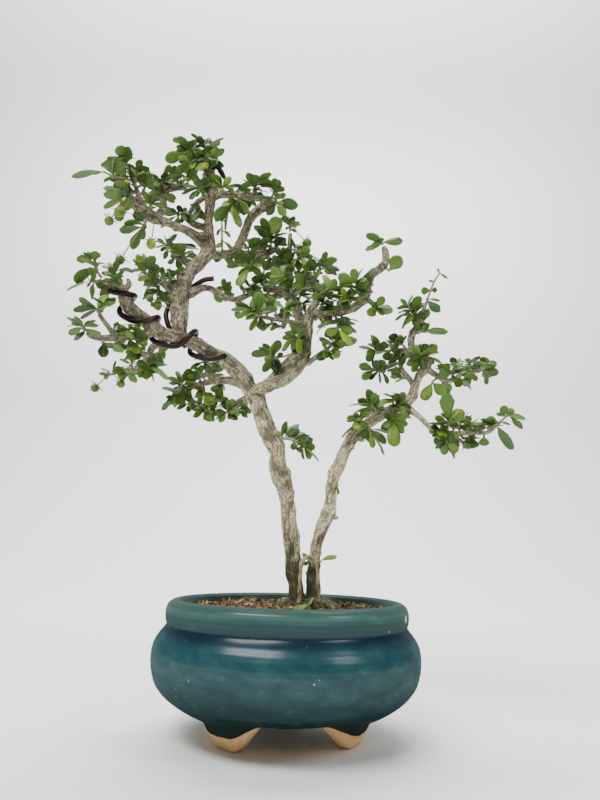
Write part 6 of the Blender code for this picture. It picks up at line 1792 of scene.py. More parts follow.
# %% A leaf's place
def blade_directions(base, tip, seen_width):
    """A blade's way along, its facing way, length and width, from its ends and its width in the picture."""
    along = (tip - base).normalized()
    length = (tip - base).length
    to_view = (VIEW_PLACE - base).normalized()
    facing = (to_view - along * along.dot(to_view)).normalized()
    side = along.cross(facing)
    width = min(max(seen_width, LEAF_WIDTH_SHARE * length), LEAF_WIDEST_SHARE * length)
    turn = math.acos(min(seen_width / width, 1.0))
    choices = [facing * math.cos(turn) + side * way * math.sin(turn) for way in (1.0, -1.0)]
    normal = max(choices, key=lambda way: abs(way.z))
    return along, normal if normal.z > 0 else -normal, length, width


def blade_place(base, blade, share_along, share_across):
    """A place on a blade's middle surface, which arches along it and bends down to both edges."""
    along, normal, length, width = blade
    across = normal.cross(along)
    arch = 4.0 * LEAF_ARCH * length * share_along * (1.0 - share_along)
    bend = LEAF_BEND * abs(share_across) * width / 2
    flat = base + along * (share_along * length) + across * (share_across * width / 2)
    return flat + normal * (arch - bend)


def blade_envelope(base, blade, margin, start):
    """Points and faces of a leaf widened by a margin, from a share of its length on."""
    along, normal, length, width = blade
    wide = (along, normal, length + margin, width + 2.0 * margin)
    shares = [(start, 0.0)] + [share for share in LEAF_OUTLINE if share[0] > start]
    rim = [blade_place(base, wide, *share) for share in shares]
    middle = blade_place(base, blade, LEAF_THICKEST, 0.0)
    points = [point + normal * margin for point in rim] + [point - normal * margin for point in rim]
    bulge = normal * (LEAF_THICKNESS / 2 + margin)
    points += [middle + bulge, middle - bulge]
    count = len(rim)
    faces = []
    for index in range(count):
        after = (index + 1) % count
        faces += [(index, after, 2 * count), (count + after, count + index, 2 * count + 1)]
        faces += [(after, index, count + index), (after, count + index, count + after)]
    return points, faces


def seen_leaf_choices(base, across, down, seen_pixels, draw):
    """Blades that cover a leaf seen in the picture: its first depth, then others, then a shorter one."""
    flat = (sight_point(across, down, base.y) - base).length
    seen_width = seen_pixels * pixel_size(base)
    share = draw.uniform(-LEAF_DEPTH_SHARE, LEAF_DEPTH_SHARE)
    least = math.sqrt(max((seen_width / LEAF_ROUNDEST) ** 2 - flat**2, 0.0))
    first = math.copysign(max(abs(share * flat), least), share)
    for scale in LEAF_SCALES:
        for shift in LEAF_DEPTH_SHIFTS:
            tip = base + (sight_point(across, down, base.y + first + shift) - base) * scale
            if (tip - base).length < max(LONGEST_LEAF, 1.35 * flat):
                yield blade_directions(base, tip, seen_width * scale)


def free_leaf_choices(base, heading, number, draw):
    """Blades for a leaf that the picture hides: set round the twig in a spiral, facing mostly up."""
    length = draw.uniform(*FREE_LEAF_LENGTHS)
    start = draw.uniform(0.0, 360.0)
    side = heading.cross(UP).normalized()
    lift = side.cross(heading)
    for scale in LEAF_SCALES:
        for extra in FREE_LEAF_TURNS:
            angle = math.radians(start + number * GOLDEN_ANGLE + extra)
            out = side * math.cos(angle) + lift * math.sin(angle)
            along = (out + heading * 0.7 + Vector((0.0, 0.0, 0.25))).normalized()
            normal = (Vector((0.0, 0.0, 1.0)) + out * 0.35 - along * along.z).normalized()
            normal = (normal - along * along.dot(normal)).normalized()
            yield along, normal, length * scale, length * scale * LEAF_WIDTH_SHARE


def within_box(point):
    """Whether a point lies inside the box of the solids."""
    sides = zip(point, LOW_CORNER, HIGH_CORNER)
    return all(low - BOX_SLACK <= value <= high + BOX_SLACK for value, low, high in sides)


def leaf_fits(space, owner, base, blade):
    """Whether a blade stays in the box and meets no other shape, nor its own spray's past its stalk."""
    tip = blade_place(base, blade, 1.0, 0.0)
    if abs(tip.y) > DEPTH_LIMIT or not within_box(tip):
        return False
    if space.meets(*blade_envelope(base, blade, LEAF_CLEARANCE, 0.0), owner, False):
        return False
    return not space.meets(*blade_envelope(base, blade, OWN_CLEARANCE, 0.34), owner, True)


# %% A twig's place
def twig_route(knots, tree):
    """A twig's fine route from the bark out to its tip, held off the bark."""
    places = [spread_point(*knot) for knot in knots]
    height, outwards = height_above(tree, places[0])
    if height > TWIG_RADIUS:
        places.insert(0, places[0] - outwards * height)
    route = as_vectors(smooth_path([tuple(place) for place in places], TWIG_STEP))
    while len(route) > 4 and height_above(tree, route[0])[0] < FIT_GAP:
        route.pop(0)
    cleared = []
    for index, point in enumerate(route):
        wanted = FIT_GAP + TWIG_STEP * TWIG_CLIMB * index
        cleared.append(push_clear(tree, point, min(wanted, TWIG_RADIUS * TWIG_TEST_SWELL + FIT_GAP)))
    return cleared


def twig_radii(points):
    return np.linspace(TWIG_RADIUS, TWIG_TIP_RADIUS, len(points))


def twig_choices(route):
    """Twigs along a route: further and further off the bark, and bent to the back or the front."""
    length = route_length(route)
    for shift in TWIG_SHIFTS:
        for start in TWIG_STARTS:
            points = []
            for step in range(TWIG_SEGMENTS + 1):
                share = step / TWIG_SEGMENTS
                place = point_along(route, start + (length - start) * share)[0]
                points.append(place + FORWARD * (shift * share**0.7))
            yield points


def twig_test(points, margin):
    """Points and faces of a twig widened by a margin, and started that much earlier."""
    early = points[0] - (points[1] - points[0]).normalized() * margin
    path = np.array([tuple(point) for point in (early, *points[1:])])
    shape, blocks, _ = tube(path, (twig_radii(points) + margin) * TWIG_TEST_SWELL, 4)
    return as_vectors(shape), [tuple(face) for block in blocks for face in block.tolist()]


def place_twig(name, knots, tree, space):
    """A twig's points, bent clear of what stands in its way."""
    choices = list(twig_choices(twig_route(knots, tree)))
    for points in choices:
        if space.meets(*twig_test(points, BARK_CLEARANCE), "trunk_and_branches", True):
            continue
        if not space.meets(*twig_test(points, LEAF_CLEARANCE), "trunk_and_branches", False):
            return points
    return choices[0]


# %% The leaves' places
SOLID_LEAVES = 4
SOLID_HIDDEN_LEAVES = 1
LEAF_SLIMMEST = 0.4


def settle(space, owner, base, blade, where, blades):
    """Keeps a blade, if there is one: it is listed, and stands in the way of later ones."""
    if blade is not None:
        space.add(owner, *blade_envelope(base, blade, 0.0, 0.0))
        blades.append((base, blade, where))


def place_leaves(owner, route, wanted, first, space):
    """The blades of one spray, each where its first clear choice puts it."""
    blades = []
    length = route_length(route)
    for number, (where, leaf) in enumerate(wanted, first):
        draw = random.Random(f"{owner} {number} {SEED}")
        inset = LEAF_INSET * (0.7 + 0.3 * (number % 4))
        base, heading = point_along(route, min(where * length, length - inset))
        if leaf:
            choices = seen_leaf_choices(base, *leaf, draw)
        else:
            choices = free_leaf_choices(base, heading, number, draw)
        blade = next((choice for choice in choices if leaf_fits(space, owner, base, choice)), None)
        settle(space, owner, base, blade, where, blades)
    return blades


def leaf_list(seen, hidden):
    """Seen leaves, then hidden ones spread evenly along the twig."""
    unseen = [((number + 0.6) / hidden, None) for number in range(hidden)]
    return [(leaf[0], leaf[1:]) for leaf in seen] + unseen


def picture_area(knots, leaf):
    """About how much of the picture a leaf covers: its length from the twig, times its width."""
    where, across, down, width = leaf
    flat = np.array([knot[:2] for knot in knots])
    length = path_lengths(flat)
    foot = [np.interp(where * length[-1], length, flat[:, axis]) for axis in range(2)]
    reach = math.dist(foot, (across, down))
    return reach * max(width, LEAF_SLIMMEST * reach)


def wanted_leaves(name, knots, seen, hidden):
    """A spray's leaves in two lists: those that its solid has, or all where it has none, and the rest."""
    if name not in NODES:
        return leaf_list(seen, hidden), []
    largest = sorted(seen, key=lambda leaf: -picture_area(knots, leaf))[:SOLID_LEAVES]
    shared = [leaf for leaf in seen if leaf in largest]
    others = [leaf for leaf in seen if leaf not in largest]
    few = min(hidden, SOLID_HIDDEN_LEAVES)
    return leaf_list(shared, few), leaf_list([*others, *LATER_LEAVES.get(name, ())], hidden - few)


# %% Leaves that fill the rosettes
FILLERS_PER_SPRAY = 6
FILLER_LENGTHS = (7.5, 13.0)
FILLER_TRIES = 9
FILLER_SPREAD = 30.0
FILLER_TURN = 50.0
FILLER_RAISES = (5.0, 60.0)
FILLER_WIDTHS = (0.5, 0.66)
FILLER_CLEARANCE = -0.2
FILLER_OWN_CLEARANCE = -0.35
FILLER_WINDOW_MARGIN = 2.0
SPARSE_FILLERS = {
    "left_fork_end": 3, "left_fork_under": 1, "left_fork_hanging": 4, "fork_shoot_end": 3,
    "wired_end_tip": 2, "wired_end_top": 3, "twist_tip": 3, "crown_long_leaf": 3, "crown_low": 3,
    "crown_under": 3, "top_arm_end": 3, "front_arm_tip": 2, "top_arm_hanging": 3, "bend_front": 3,
    "reach_tip": 2, "left_loop_leaves": 3,
}
SPUR_LENGTHS = (2.5, 6.5)
SPUR_LEAVES = (5, 8)
SPUR_SINK = 0.7
BARE_SPRAYS = (
    "soil_leaf", "trunk_bud", "leader_tip", "leader_long_leaf", "base_sprout", "root_sprout",
    "reach_right_low", "front_arm_round", "light_shoot", "upper_stub_end", "low_left_olive",
)


def filler_blade(owner, base, heading, number, window, space, draw):
    """The first clear blade of a whorl: set round a heading in a spiral, raised towards it, and facing
    between the heading and the sky. None where nothing fits."""
    length = draw.uniform(*FILLER_LENGTHS)
    side = heading.cross(UP if abs(heading.dot(UP)) < 0.9 else RIGHT).normalized()
    lift = side.cross(heading)
    left, top, right, bottom = window
    for attempt in range(FILLER_TRIES):
        turn = number * GOLDEN_ANGLE + draw.uniform(-FILLER_SPREAD, FILLER_SPREAD) + FILLER_TURN * attempt
        angle, raised = math.radians(turn), math.radians(draw.uniform(*FILLER_RAISES))
        out = side * math.cos(angle) + lift * math.sin(angle)
        along = out * math.cos(raised) + heading * math.sin(raised)
        up = heading + Vector((0.0, 0.0, draw.uniform(0.2, 1.2))) + out * draw.uniform(-0.4, 0.4)
        normal = (up - along * along.dot(up)).normalized()
        size = length * (1.0 - 0.05 * attempt)
        blade = (along, normal, size, size * draw.uniform(*FILLER_WIDTHS))
        tip = blade_place(base, blade, 1.0, 0.0)
        across, down = picture_point(tip)
        in_window = left < across < right and top < down < bottom
        if not (in_window and within_box(tip) and abs(tip.y) < DEPTH_LIMIT):
            continue
        if space.meets(*blade_envelope(base, blade, FILLER_CLEARANCE, 0.2), owner, False):
            continue
        if not space.meets(*blade_envelope(base, blade, FILLER_OWN_CLEARANCE, 0.45), owner, True):
            return blade
    return None


def fill_spray(name, route, blades, space):
    """More blades along a spray's twig, within the picture window that its seen leaves span."""
    spots = [picture_point(place) for place in route]
    spots += [picture_point(blade_place(base, blade, 1.0, 0.0)) for base, blade, _ in blades]
    low, high = np.min(spots, axis=0) - FILLER_WINDOW_MARGIN, np.max(spots, axis=0) + FILLER_WINDOW_MARGIN
    draw = random.Random(f"{name} fill")
    length = route_length(route)
    for number in range(SPARSE_FILLERS.get(name, FILLERS_PER_SPRAY)):
        where = draw.uniform(0.25, 1.0)
        base, heading = point_along(route, min(where * length, length - 0.3))
        blade = filler_blade(name, base, heading, number, (*low, *high), space, draw)
        settle(space, name, base, blade, where, blades)


def place_spurs(space):
    """Short twigs out of the bark of the SPURS' limbs, each with a whorl of leaves: by group name,
    lists of (twig's points, blades)."""
    groups = {}
    for group, (limb, low, high, count, window) in enumerate(SPURS):
        path = PATHS[limb]
        along, across, over = path_frames(path[:, :3])
        draw = random.Random(f"{limb} {group} {SEED}")
        name = f"{limb}_spurs_{group}"
        groups[name] = []
        for spur in range(count):
            share = low + (high - low) * (spur + draw.random()) / count
            ring = min(int(share * len(path)), len(path) - 1)
            angle = draw.uniform(0.0, 2.0 * math.pi)
            out = Vector(across[ring] * math.cos(angle) + over[ring] * math.sin(angle))
            out = (out + Vector(along[ring]) * 0.4 + Vector((0.0, 0.0, 0.3))).normalized()
            centre, girth = Vector(path[ring, :3]), path[ring, 3]
            length = draw.uniform(*SPUR_LENGTHS)
            bend = (out + Vector((0.0, 0.0, 0.35))).normalized()
            halfway = centre + out * (girth + length * 0.5)
            twig = [centre + out * (girth - SPUR_SINK), halfway, halfway + bend * length * 0.5]
            if not within_box(twig[2]) or space.meets(*twig_test(twig, 0.0), "trunk_and_branches", False):
                continue
            owner = f"{name} {spur}"
            space.add(owner, *twig_test(twig, -0.2))
            blades = []
            for number in range(draw.randint(*SPUR_LEAVES)):
                where = draw.choice((0.75, 0.9, 1.0, 1.0))
                base = twig[1].lerp(twig[2], where)
                blade = filler_blade(owner, base, bend, number, window, space, draw)
                settle(space, owner, base, blade, where, blades)
            if blades:
                groups[name].append((twig, blades))
    return groups


# %% All places
def place_berries(owner, route, berries, space):
    """The stalk's start, the centre and the radius of each berry on a twig."""
    fruit = []
    for where, across, down, deeper, radius in berries:
        start = point_along(route, min(where * route_length(route), route_length(route) - LEAF_INSET))[0]
        centre = sight_point(across, down, start.y + deeper)
        fruit.append((start, centre, radius))
        points, blocks = ball(np.array(centre), radius, 4, 6)
        space.add(owner, as_vectors(points), [tuple(face) for block in blocks for face in block.tolist()])
    return fruit


def place_sprays():
    """Every spray's twig, blades and berries. What the solids have comes first, as it did in them."""
    space = Space()
    for name in ("pot", "soil", "trunk_and_branches", "limb_wire", "leader_wire", "ripening_berry"):
        space.add_node(name)
    tree = solid_tree("trunk_and_branches")
    wanted = {name: wanted_leaves(name, *spray) for name, spray in SPRAYS.items()}
    twigs, blades, fruit = {}, {}, {}
    for solid in (True, False):
        names = [name for name in SPRAYS if (name in NODES) == solid]
        for name in names:
            twigs[name] = place_twig(name, SPRAYS[name][0], tree, space)
            space.add(name, *twig_test(twigs[name], 0.0))
        for name, berries in BERRIES.items():
            if name in names:
                fruit[name] = place_berries(name, twigs[name], berries, space)
        for name in names:
            blades[name] = place_leaves(name, twigs[name], wanted[name][0], 0, space)
    for name, (first, added) in wanted.items():
        blades[name] += place_leaves(name, twigs[name], added, len(first), space)
    spurs = place_spurs(space)
    for name in twigs:
        if name not in BARE_SPRAYS:
            fill_spray(name, twigs[name], blades[name], space)
    return twigs, blades, fruit, spurs


TWIGS, BLADES, FRUIT, SPUR_GROUPS = place_sprays()
print("leaves on sprays:", sum(len(group) for group in BLADES.values()))
print("leaves on spurs:", sum(len(blades) for group in SPUR_GROUPS.values() for _, blades in group))

# %% [markdown]
# ## Leaf shape and finish
# A fukien tea leaf is a small paddle: narrow at its stalk, widest near the tip, with a few blunt
# teeth there, glossy on top and paler beneath. It is a grid of 9 rows by 5 columns. The rows' half
# width follows the paddle, the last rows are pushed in and out to make teeth, and the whole sheet
# arches along and folds down from its midrib. The underside is a second grid that shares the
# outline's points, so each leaf is closed and has a real thickness.

# %% The leaf's grid
LEAF_ROWS = np.array((0.0, 0.10, 0.22, 0.38, 0.55, 0.71, 0.85, 0.945, 0.99))
LEAF_COLUMNS = np.array((-1.0, -0.62, 0.0, 0.62, 1.0))
LEAF_STALK = 0.11
LEAF_WIDEST_AT = 0.64
LEAF_BODY = 0.3
LEAF_TEETH = np.array((0, 0, 0, 0, -0.4, 0.6, -1, 0.7, -0.5))

# How much leaves differ: lengths and heights as shares of a leaf's own
WIDEST_SHIFTS = (-0.07, 0.05)
TIP_ROUNDINGS = (0.46, 0.62)
TOOTH_DEPTHS = (0.0, 0.02, 0.05, 0.09)
MOST_LEAN = 0.10
MOST_WAVE = 0.035
MOST_TWIST = 0.2
CUPPINGS = (0.7, 1.9)
MOST_DROOP = 0.09


def leaf_grid_faces():
    """Quads of the top, and of an underside that uses the top's points along the outline."""
    rows, columns = len(LEAF_ROWS), len(LEAF_COLUMNS)
    top = np.arange(rows * columns).reshape(rows, columns)
    under = top.copy()
    under[1:-1, 1:-1] = top.size + np.arange((rows - 2) * (columns - 2)).reshape(rows - 2, columns - 2)
    quads = []
    for sheet, order in ((top, 1), (under, -1)):
        corners = np.stack([sheet[:-1, :-1], sheet[1:, :-1], sheet[1:, 1:], sheet[:-1, 1:]], -1)
        quads.append(corners.reshape(-1, 4)[:, ::order])
    return quads


LEAF_TOP, LEAF_UNDER = leaf_grid_faces()


def paddle_width(u, widest, tip):
    """Half width from 0 to 1: the stalk's, then an eased rise to the widest row, then an arc like an
    ellipse's down to the tip, fuller than a circle where tip is below 0.5."""
    rise = LEAF_STALK + (1.0 - LEAF_STALK) * eased(u, 0.02, widest) ** 0.85
    past = np.clip((u - widest) / (1.0 - widest), 0.0, 1.0)
    return np.where(u < widest, rise, np.maximum(1.0 - past**2.1, 0.0) ** tip)


def leaf_points(base, blade, draw):
    """Place (u, v) = base + along * L * a(u, v) + across * W/2 * w(u) * v + normal * h(u, v): a is u
    with a rounded end, w the paddle with a few teeth, h the arch less the fold, with a wavy edge."""
    along, normal, length, width = (np.array(part) if isinstance(part, Vector) else part for part in blade)
    across = np.cross(normal, along)
    u = LEAF_ROWS[:, None]
    v = LEAF_COLUMNS[None, :]
    paddle = paddle_width(u, LEAF_WIDEST_AT + draw.uniform(*WIDEST_SHIFTS), draw.uniform(*TIP_ROUNDINGS))
    tooth = draw.choice(TOOTH_DEPTHS) * LEAF_TEETH[:, None]
    share = u + 0.012 * (1.0 - v**2) * u - 0.05 * v**2 * u * (1.0 - u) + 0.1 * tooth * np.abs(v)
    lean = draw.uniform(-MOST_LEAN, MOST_LEAN) * u**2
    side = paddle * (1.0 + tooth) * v + lean
    wave = draw.uniform(0.0, MOST_WAVE) * length * np.sin(2.6 * math.pi * u + draw.uniform(0.0, 6.3))
    wave = wave * v * np.abs(v)
    twist = draw.uniform(-MOST_TWIST, MOST_TWIST) * width / 2 * u * v * paddle
    cup = draw.uniform(*CUPPINGS) * LEAF_BEND * np.abs(v) ** 1.25 * width / 2 * paddle
    droop = draw.uniform(0.0, MOST_DROOP) * length * u**3
    arch = 4.0 * LEAF_ARCH * length * u * (1.0 - u) + 0.0 * v
    height = arch - cup + wave * paddle + twist - droop
    top = (np.array(base) + along * length * share[..., None] + across * (width / 2 * side)[..., None]
           + normal * height[..., None])
    thickness = LEAF_BODY * (1.0 + 1.2 * np.exp(-((v / 0.2) ** 2)) * (1.0 - u))
    under = top[1:-1, 1:-1] - normal * thickness[1:-1, 1:-1, None]
    where = np.stack([u + 0.0 * v, v + 0.0 * u], -1)
    spots = np.vstack([where.reshape(-1, 2), where[1:-1, 1:-1].reshape(-1, 2)])
    return np.vstack([top.reshape(-1, 3), under.reshape(-1, 3)]), spots


# %% The leaf's finish
def make_leaf_finish(name, under):
    """Dark glossy green with a pale midrib and side veins, a paler edge of painted light shining through it,
    yellower on young leaves; dull beneath.
    """
    leaf = Finish(name, ior=1.45, specular_ior_level=0.40)
    spot = leaf.carried("leaf", "XYZ")
    u, v, young = (leaf.part(spot, part) for part in "XYZ")
    place = leaf.place()
    tone = leaf.carried("tone")
    mottle = leaf.noise(place, 260.0, 3.0)
    old = leaf.ramp(
        tone, (0.0, (0.0035, 0.0135, 0.006)), (0.35, (0.012, 0.034, 0.010)), (0.7, (0.036, 0.074, 0.014)),
        (1.0, (0.140, 0.190, 0.020))
    )
    fresh = leaf.mix(tone, (0.105, 0.235, 0.012), (0.260, 0.390, 0.018))
    edge = abs(v)
    rib = edge.between(0.11, 0.02) * u.between(1.02, 0.85)
    wave = leaf.node("ShaderNodeMath", {"operation": "SINE"}, {0: (u - edge * 0.34) * 34.0})
    vein = wave.between(0.86, 1.0) * edge.between(1.0, 0.75) * edge.between(0.0, 0.1)
    # Painted light: a paler rim where light shines through the thin edge of the leaf.
    margin = edge.between(0.82, 1.0) * 0.22
    veined = leaf.coats(
        leaf.mix(young, old, fresh),
        (mottle.between(0.35, 0.7) * 0.35, (0.022, 0.058, 0.012)),
        (rib * 0.5 + vein * 0.16 + margin, (0.18, 0.31, 0.045)),
    )
    if under:
        dull = leaf.mix(0.5, veined, (0.105, 0.205, 0.045))
        height = rib + vein * 0.5
        ridged = leaf.bump(height, 0.0003, 0.8)
        return leaf.paint(base_color=dull, roughness=0.55 + mottle * 0.1, normal=ridged)
    dots = leaf.cells(place, 1500.0).between(0.14, 0.05) * mottle.between(0.4, 0.6)
    dotted = leaf.mix(dots * 0.25, veined, (0.36, 0.46, 0.25))
    quilt = wave * -0.5 - rib * 1.4 + mottle * 0.8
    quilted = leaf.bump(quilt, 0.00022, 0.7)
    return leaf.paint(base_color=dotted, roughness=0.30 + mottle * 0.16, normal=quilted)


def make_twig_finish():
    """A young shoot: green-brown near the leaves, grey and scaly lower down."""
    twig = Finish("twig_bark", roughness=0.75)
    grain = twig.carried("grain", "XYZ")
    woody = twig.carried("tone")
    scales = twig.noise(twig.stretched(grain, (1.0, 1.0, 0.7)), 1.9, 3.0, 0.6)
    green = twig.mix(scales.between(0.35, 0.65), (0.10, 0.13, 0.035), (0.24, 0.25, 0.10))
    grey = twig.mix(scales.between(0.4, 0.6), (0.10, 0.085, 0.055), (0.36, 0.33, 0.25))
    return twig.paint(base_color=twig.mix(woody, green, grey), normal=twig.bump(scales, 0.0004, 0.8))


def make_berry_finish(name, flesh, cheek):
    """A waxy berry skin with small dull freckles and a warmer cheek."""
    berry = Finish(name, roughness=0.38, specular_ior_level=0.4)
    place = berry.place()
    blush = berry.noise(place, 160.0, 2.0).between(0.4, 0.65)
    freckle = berry.cells(place, 1700.0).between(0.12, 0.04)
    color = berry.mix(freckle * 0.35, berry.mix(blush, flesh, cheek), (0.35, 0.38, 0.2))
    return berry.paint(base_color=color, normal=berry.bump(berry.noise(place, 900.0), 0.0001, 0.4))


LEAF_FINISHES = [
    make_leaf_finish("leaf_top", False), make_leaf_finish("leaf_under", True), make_twig_finish(),
    make_berry_finish("green_berry", (0.048, 0.100, 0.010), (0.125, 0.195, 0.018)),
]


# %% The sprays' pieces
YOUNG_SPRAYS = {"light_shoot": 0.6, "top_arm_yellow": 0.7, "soil_leaf": 0.3}
TWIG_SLOT = 2
BERRY_SLOT = 3
TWIG_SIDES = 7
SEPALS = 6
SEPAL_SIDES = 5
SEPAL_BENDS = ((0.8, 0.2), (1.8, 0.1))
NO_LEAF = (0.0, 0.0, 0.0)
TWIG_KNOB = 0.3
TWIG_KNOB_REACH = 0.9
TWIG_KNOB_LIMIT = 0.35
BERRY_DIMPLE = 0.18
STALK_RADII = (0.42, 0.5)
SEPAL_RADII = (0.75, 0.22)


def add_berry(surface, start, centre, radius, slot, long=1.0):
    """A ball, dimpled where its stalk and star of thin sepals sit, and the stalk from the twig."""
    middle = np.array(centre)
    to_stalk = unit(np.array(start) - middle)
    points, faces = ball(middle, radius, 12, 20)
    share = (points - middle) @ to_stalk / radius
    dimple = share.clip(0.0, 1.0) ** 6
    points = points + to_stalk * (share * radius * (long - 1.0) - dimple * radius * BERRY_DIMPLE)[:, None]
    surface.add(points, faces, slot, tone=0.5, leaf=NO_LEAF, grain=(0.0, 0.0, 0.0))
    top = middle + to_stalk * radius * (long - 0.15)
    halfway = start.lerp(centre, 0.5) + UP * 0.5
    stalk = smooth_path([tuple(start), tuple(halfway), tuple(top)], 1.0)
    points, faces, grain = tube(stalk, np.linspace(*STALK_RADII, len(stalk)), TWIG_SIDES)
    surface.add(points, faces, TWIG_SLOT, tone=0.15, leaf=NO_LEAF, grain=grain)
    side = unit(np.cross(to_stalk, np.array(FORWARD)))
    over = np.cross(to_stalk, side)
    for number in range(SEPALS):
        angle = 2.0 * math.pi * (number + 0.3) / SEPALS
        out = side * math.cos(angle) + over * math.sin(angle)
        bent = [top + out * radius * far - to_stalk * radius * sunk for far, sunk in SEPAL_BENDS]
        sepal = smooth_path([top, *bent], 0.8)
        points, faces, grain = tube(sepal, np.linspace(*SEPAL_RADII, len(sepal)), SEPAL_SIDES)
        points = np.clip(points, LOW_CORNER, HIGH_CORNER)
        surface.add(points, faces, TWIG_SLOT, tone=0.0, leaf=NO_LEAF, grain=grain)


def add_twig(surface, knots, blades):
    """A twig's tube with a knob where each leaf sits, woody at its foot and green at its tip."""
    path = smooth_path(np.array([tuple(point) for point in knots]), 0.6)
    length = path_lengths(path)
    share = length / max(length[-1], 1e-6)
    wide = np.interp(share, (0.0, 1.0), (TWIG_RADIUS, TWIG_TIP_RADIUS))
    apart = [(length - where * length[-1]) / TWIG_KNOB_REACH for _, _, where in blades]
    radii = wide + np.minimum(sum(TWIG_KNOB * np.exp(-(gap**2)) for gap in apart), TWIG_KNOB_LIMIT)
    radii[-1] *= 0.5
    points, faces, grain = tube(path, radii, TWIG_SIDES)
    points = np.clip(points, LOW_CORNER, HIGH_CORNER)
    woody = 1.0 - np.append(np.repeat(share, TWIG_SIDES), [0.0, 1.0]) * 0.9
    surface.add(points, faces, TWIG_SLOT, tone=woody, leaf=NO_LEAF, grain=grain)


def add_leaves(surface, blades, seed, young):
    """Leaves of one twig: most dark, those at its end fresher, by as much as young says."""
    for number, (base, blade, where) in enumerate(blades):
        draw = random.Random(f"{seed} blade {number}")
        points, spots = leaf_points(base, blade, draw)
        points = np.clip(points, LOW_CORNER, HIGH_CORNER)
        fresh = draw.random() ** 1.9 * 0.7 + (0.45 if where > 0.9 else 0.0) * draw.random()
        spot = np.hstack([spots, np.full((len(spots), 1), min(fresh + young, 1.0))])
        values = {"tone": draw.uniform(0.0, 1.0), "leaf": spot, "grain": (0.0, 0.0, 0.0)}
        start = surface.count
        surface.add(points, [LEAF_TOP], 0, **values)
        surface.faces.append((LEAF_UNDER + start).tolist())
        surface.slots += [1] * len(LEAF_UNDER)


def make_spray(name):
    """One spray: its twig, its leaves and its berries."""
    surface = Sheets()
    add_twig(surface, TWIGS[name], BLADES[name])
    add_leaves(surface, BLADES[name], name, YOUNG_SPRAYS.get(name, 0.0))
    for berry in FRUIT.get(name, ()):
        add_berry(surface, *berry, BERRY_SLOT)
    made = surface.piece(f"spray_{name}", LEAF_FINISHES)
    return shown(made.name, "leaf_green", made, *((name,) if name in NODES else ()))


def make_spurs(name):
    """All spurs of one limb in one piece."""
    surface = Sheets()
    for number, (knots, blades) in enumerate(SPUR_GROUPS[name]):
        add_twig(surface, knots, blades)
        add_leaves(surface, blades, f"{name} {number}", 0.0)
    return shown(name, "leaf_green", surface.piece(name, LEAF_FINISHES))


for spray in TWIGS:
    make_spray(spray)
for group in SPUR_GROUPS:
    if SPUR_GROUPS[group]:
        make_spurs(group)
print("sprays made:", len(TWIGS), "groups of spurs:", len(SPUR_GROUPS))


# %% Berries that hang from the bark
def make_hanging(name, berries, skin, *nodes):
    """Berries on stalks of their own, each stalk led to the nearest bark."""
    tree = solid_tree("trunk_and_branches")
    surface = Sheets()
    for across, down, depth, radius, long in berries:
        centre = sight_point(across, down, depth)
        height, outwards = height_above(tree, centre)
        add_berry(surface, centre - outwards * (height - 0.2), centre, radius, 0, long)
    surface.slots = [min(slot, 1) for slot in surface.slots]
    return shown(name, "berry_skin", surface.piece(name, [skin, LEAF_FINISHES[TWIG_SLOT]]), *nodes)


RIPE_SKIN = make_berry_finish("ripe_berry", (0.20, 0.27, 0.020), (0.44, 0.42, 0.040))
make_hanging("yellow_berry", RIPENING, RIPE_SKIN, "ripening_berry")
make_hanging("green_berries", UNRIPE, LEAF_FINISHES[BERRY_SLOT])


# %% [markdown]
# ## Stage and light
# A pale seamless sweep, as behind a studio table, lets the tree's thin lines read well. Light comes
# from a large soft panel high on the left, a weaker one on the right and a bright surround, and two
# more panels wash the backdrop.

# %% Floor, backdrop and lights
STAGE_HALF_WIDTH = 3200.0
STAGE_FLOOR = (-1800.0, -600.0, 300.0)
STAGE_BEND_START = 900.0
STAGE_BEND_RADIUS = 600.0
STAGE_BEND_STEPS = 24
STAGE_HEIGHT = 3600.0
STAGE_DROP = 0.05

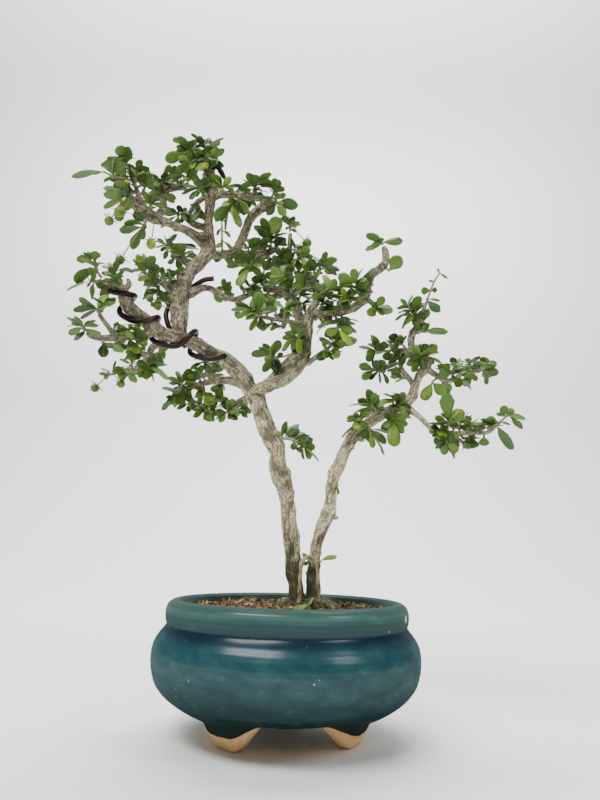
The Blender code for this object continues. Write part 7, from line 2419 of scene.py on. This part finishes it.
# Soft panels: name, place, what it points at, size, power, colour, in metres and watts
PANELS = (
    ("high_left", (-0.5, -0.7, 1.15), (0.0, 0.0, 0.22), (0.95, 0.35), 22.0, (1.0, 0.985, 0.95)),
    ("right_fill", (0.8, -0.6, 0.8), (0.0, 0.0, 0.2), (0.35, 0.4), 5.0, (0.95, 0.98, 1.0)),
    ("low_wash", (0.0, 0.75, 1.4), (0.0, 1.4, 0.4), (1.8, 0.6), 24.0, (1.0, 1.0, 1.0)),
    ("high_wash", (0.0, 0.6, 2.9), (0.0, 1.5, 1.6), (2.6, 0.8), 84.0, (1.0, 1.0, 1.0)),
)


def make_stage():
    """A floor that curves up to a wall in a quarter circle, just below the pot's feet."""
    bend = np.linspace(0.0, math.pi / 2, STAGE_BEND_STEPS)
    start, radius = STAGE_BEND_START, STAGE_BEND_RADIUS
    y = np.concatenate([STAGE_FLOOR, start + radius * np.sin(bend), [start + radius]])
    z = np.concatenate([[0.0, 0.0, 0.0], radius - radius * np.cos(bend), [STAGE_HEIGHT]])
    x = np.array((-STAGE_HALF_WIDTH, STAGE_HALF_WIDTH))
    points = np.stack([x[None, :] + 0 * y[:, None], y[:, None] + 0 * x, z[:, None] + 0 * x - STAGE_DROP], -1)
    surface = Sheets()
    surface.add(points.reshape(-1, 3), [grid_faces(len(y), 2)])
    sweep = Finish("pale_sweep", roughness=0.9, specular_ior_level=0.1)
    mottle = sweep.noise(sweep.place(), 3.0, 2.0)
    sweep.paint(base_color=sweep.mix(mottle, (0.83, 0.85, 0.84), (0.86, 0.875, 0.865)))
    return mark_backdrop(surface.piece("pale_sweep", [sweep.material]))


def add_panel(name, place, aim, size, power, color):
    panel = bpy.data.lights.new(name, "AREA")
    panel.shape = "RECTANGLE"
    panel.size, panel.size_y = size
    panel.energy = power
    panel.color = color
    made = bpy.data.objects.new(name, panel)
    bpy.context.collection.objects.link(made)
    turn = (Vector(aim) - Vector(place)).to_track_quat("-Z", "Y").to_matrix().to_4x4()
    made.matrix_world = Matrix.Translation(place) @ turn
    return made


def light_stage():
    world = bpy.data.worlds.new("surround")
    world.use_nodes = True
    back = world.node_tree.nodes["Background"]
    back.inputs["Color"].default_value = (0.88, 0.91, 0.92, 1.0)
    back.inputs["Strength"].default_value = 0.30
    bpy.context.scene.world = world
    for panel in PANELS:
        add_panel(*panel)


make_stage()
light_stage()
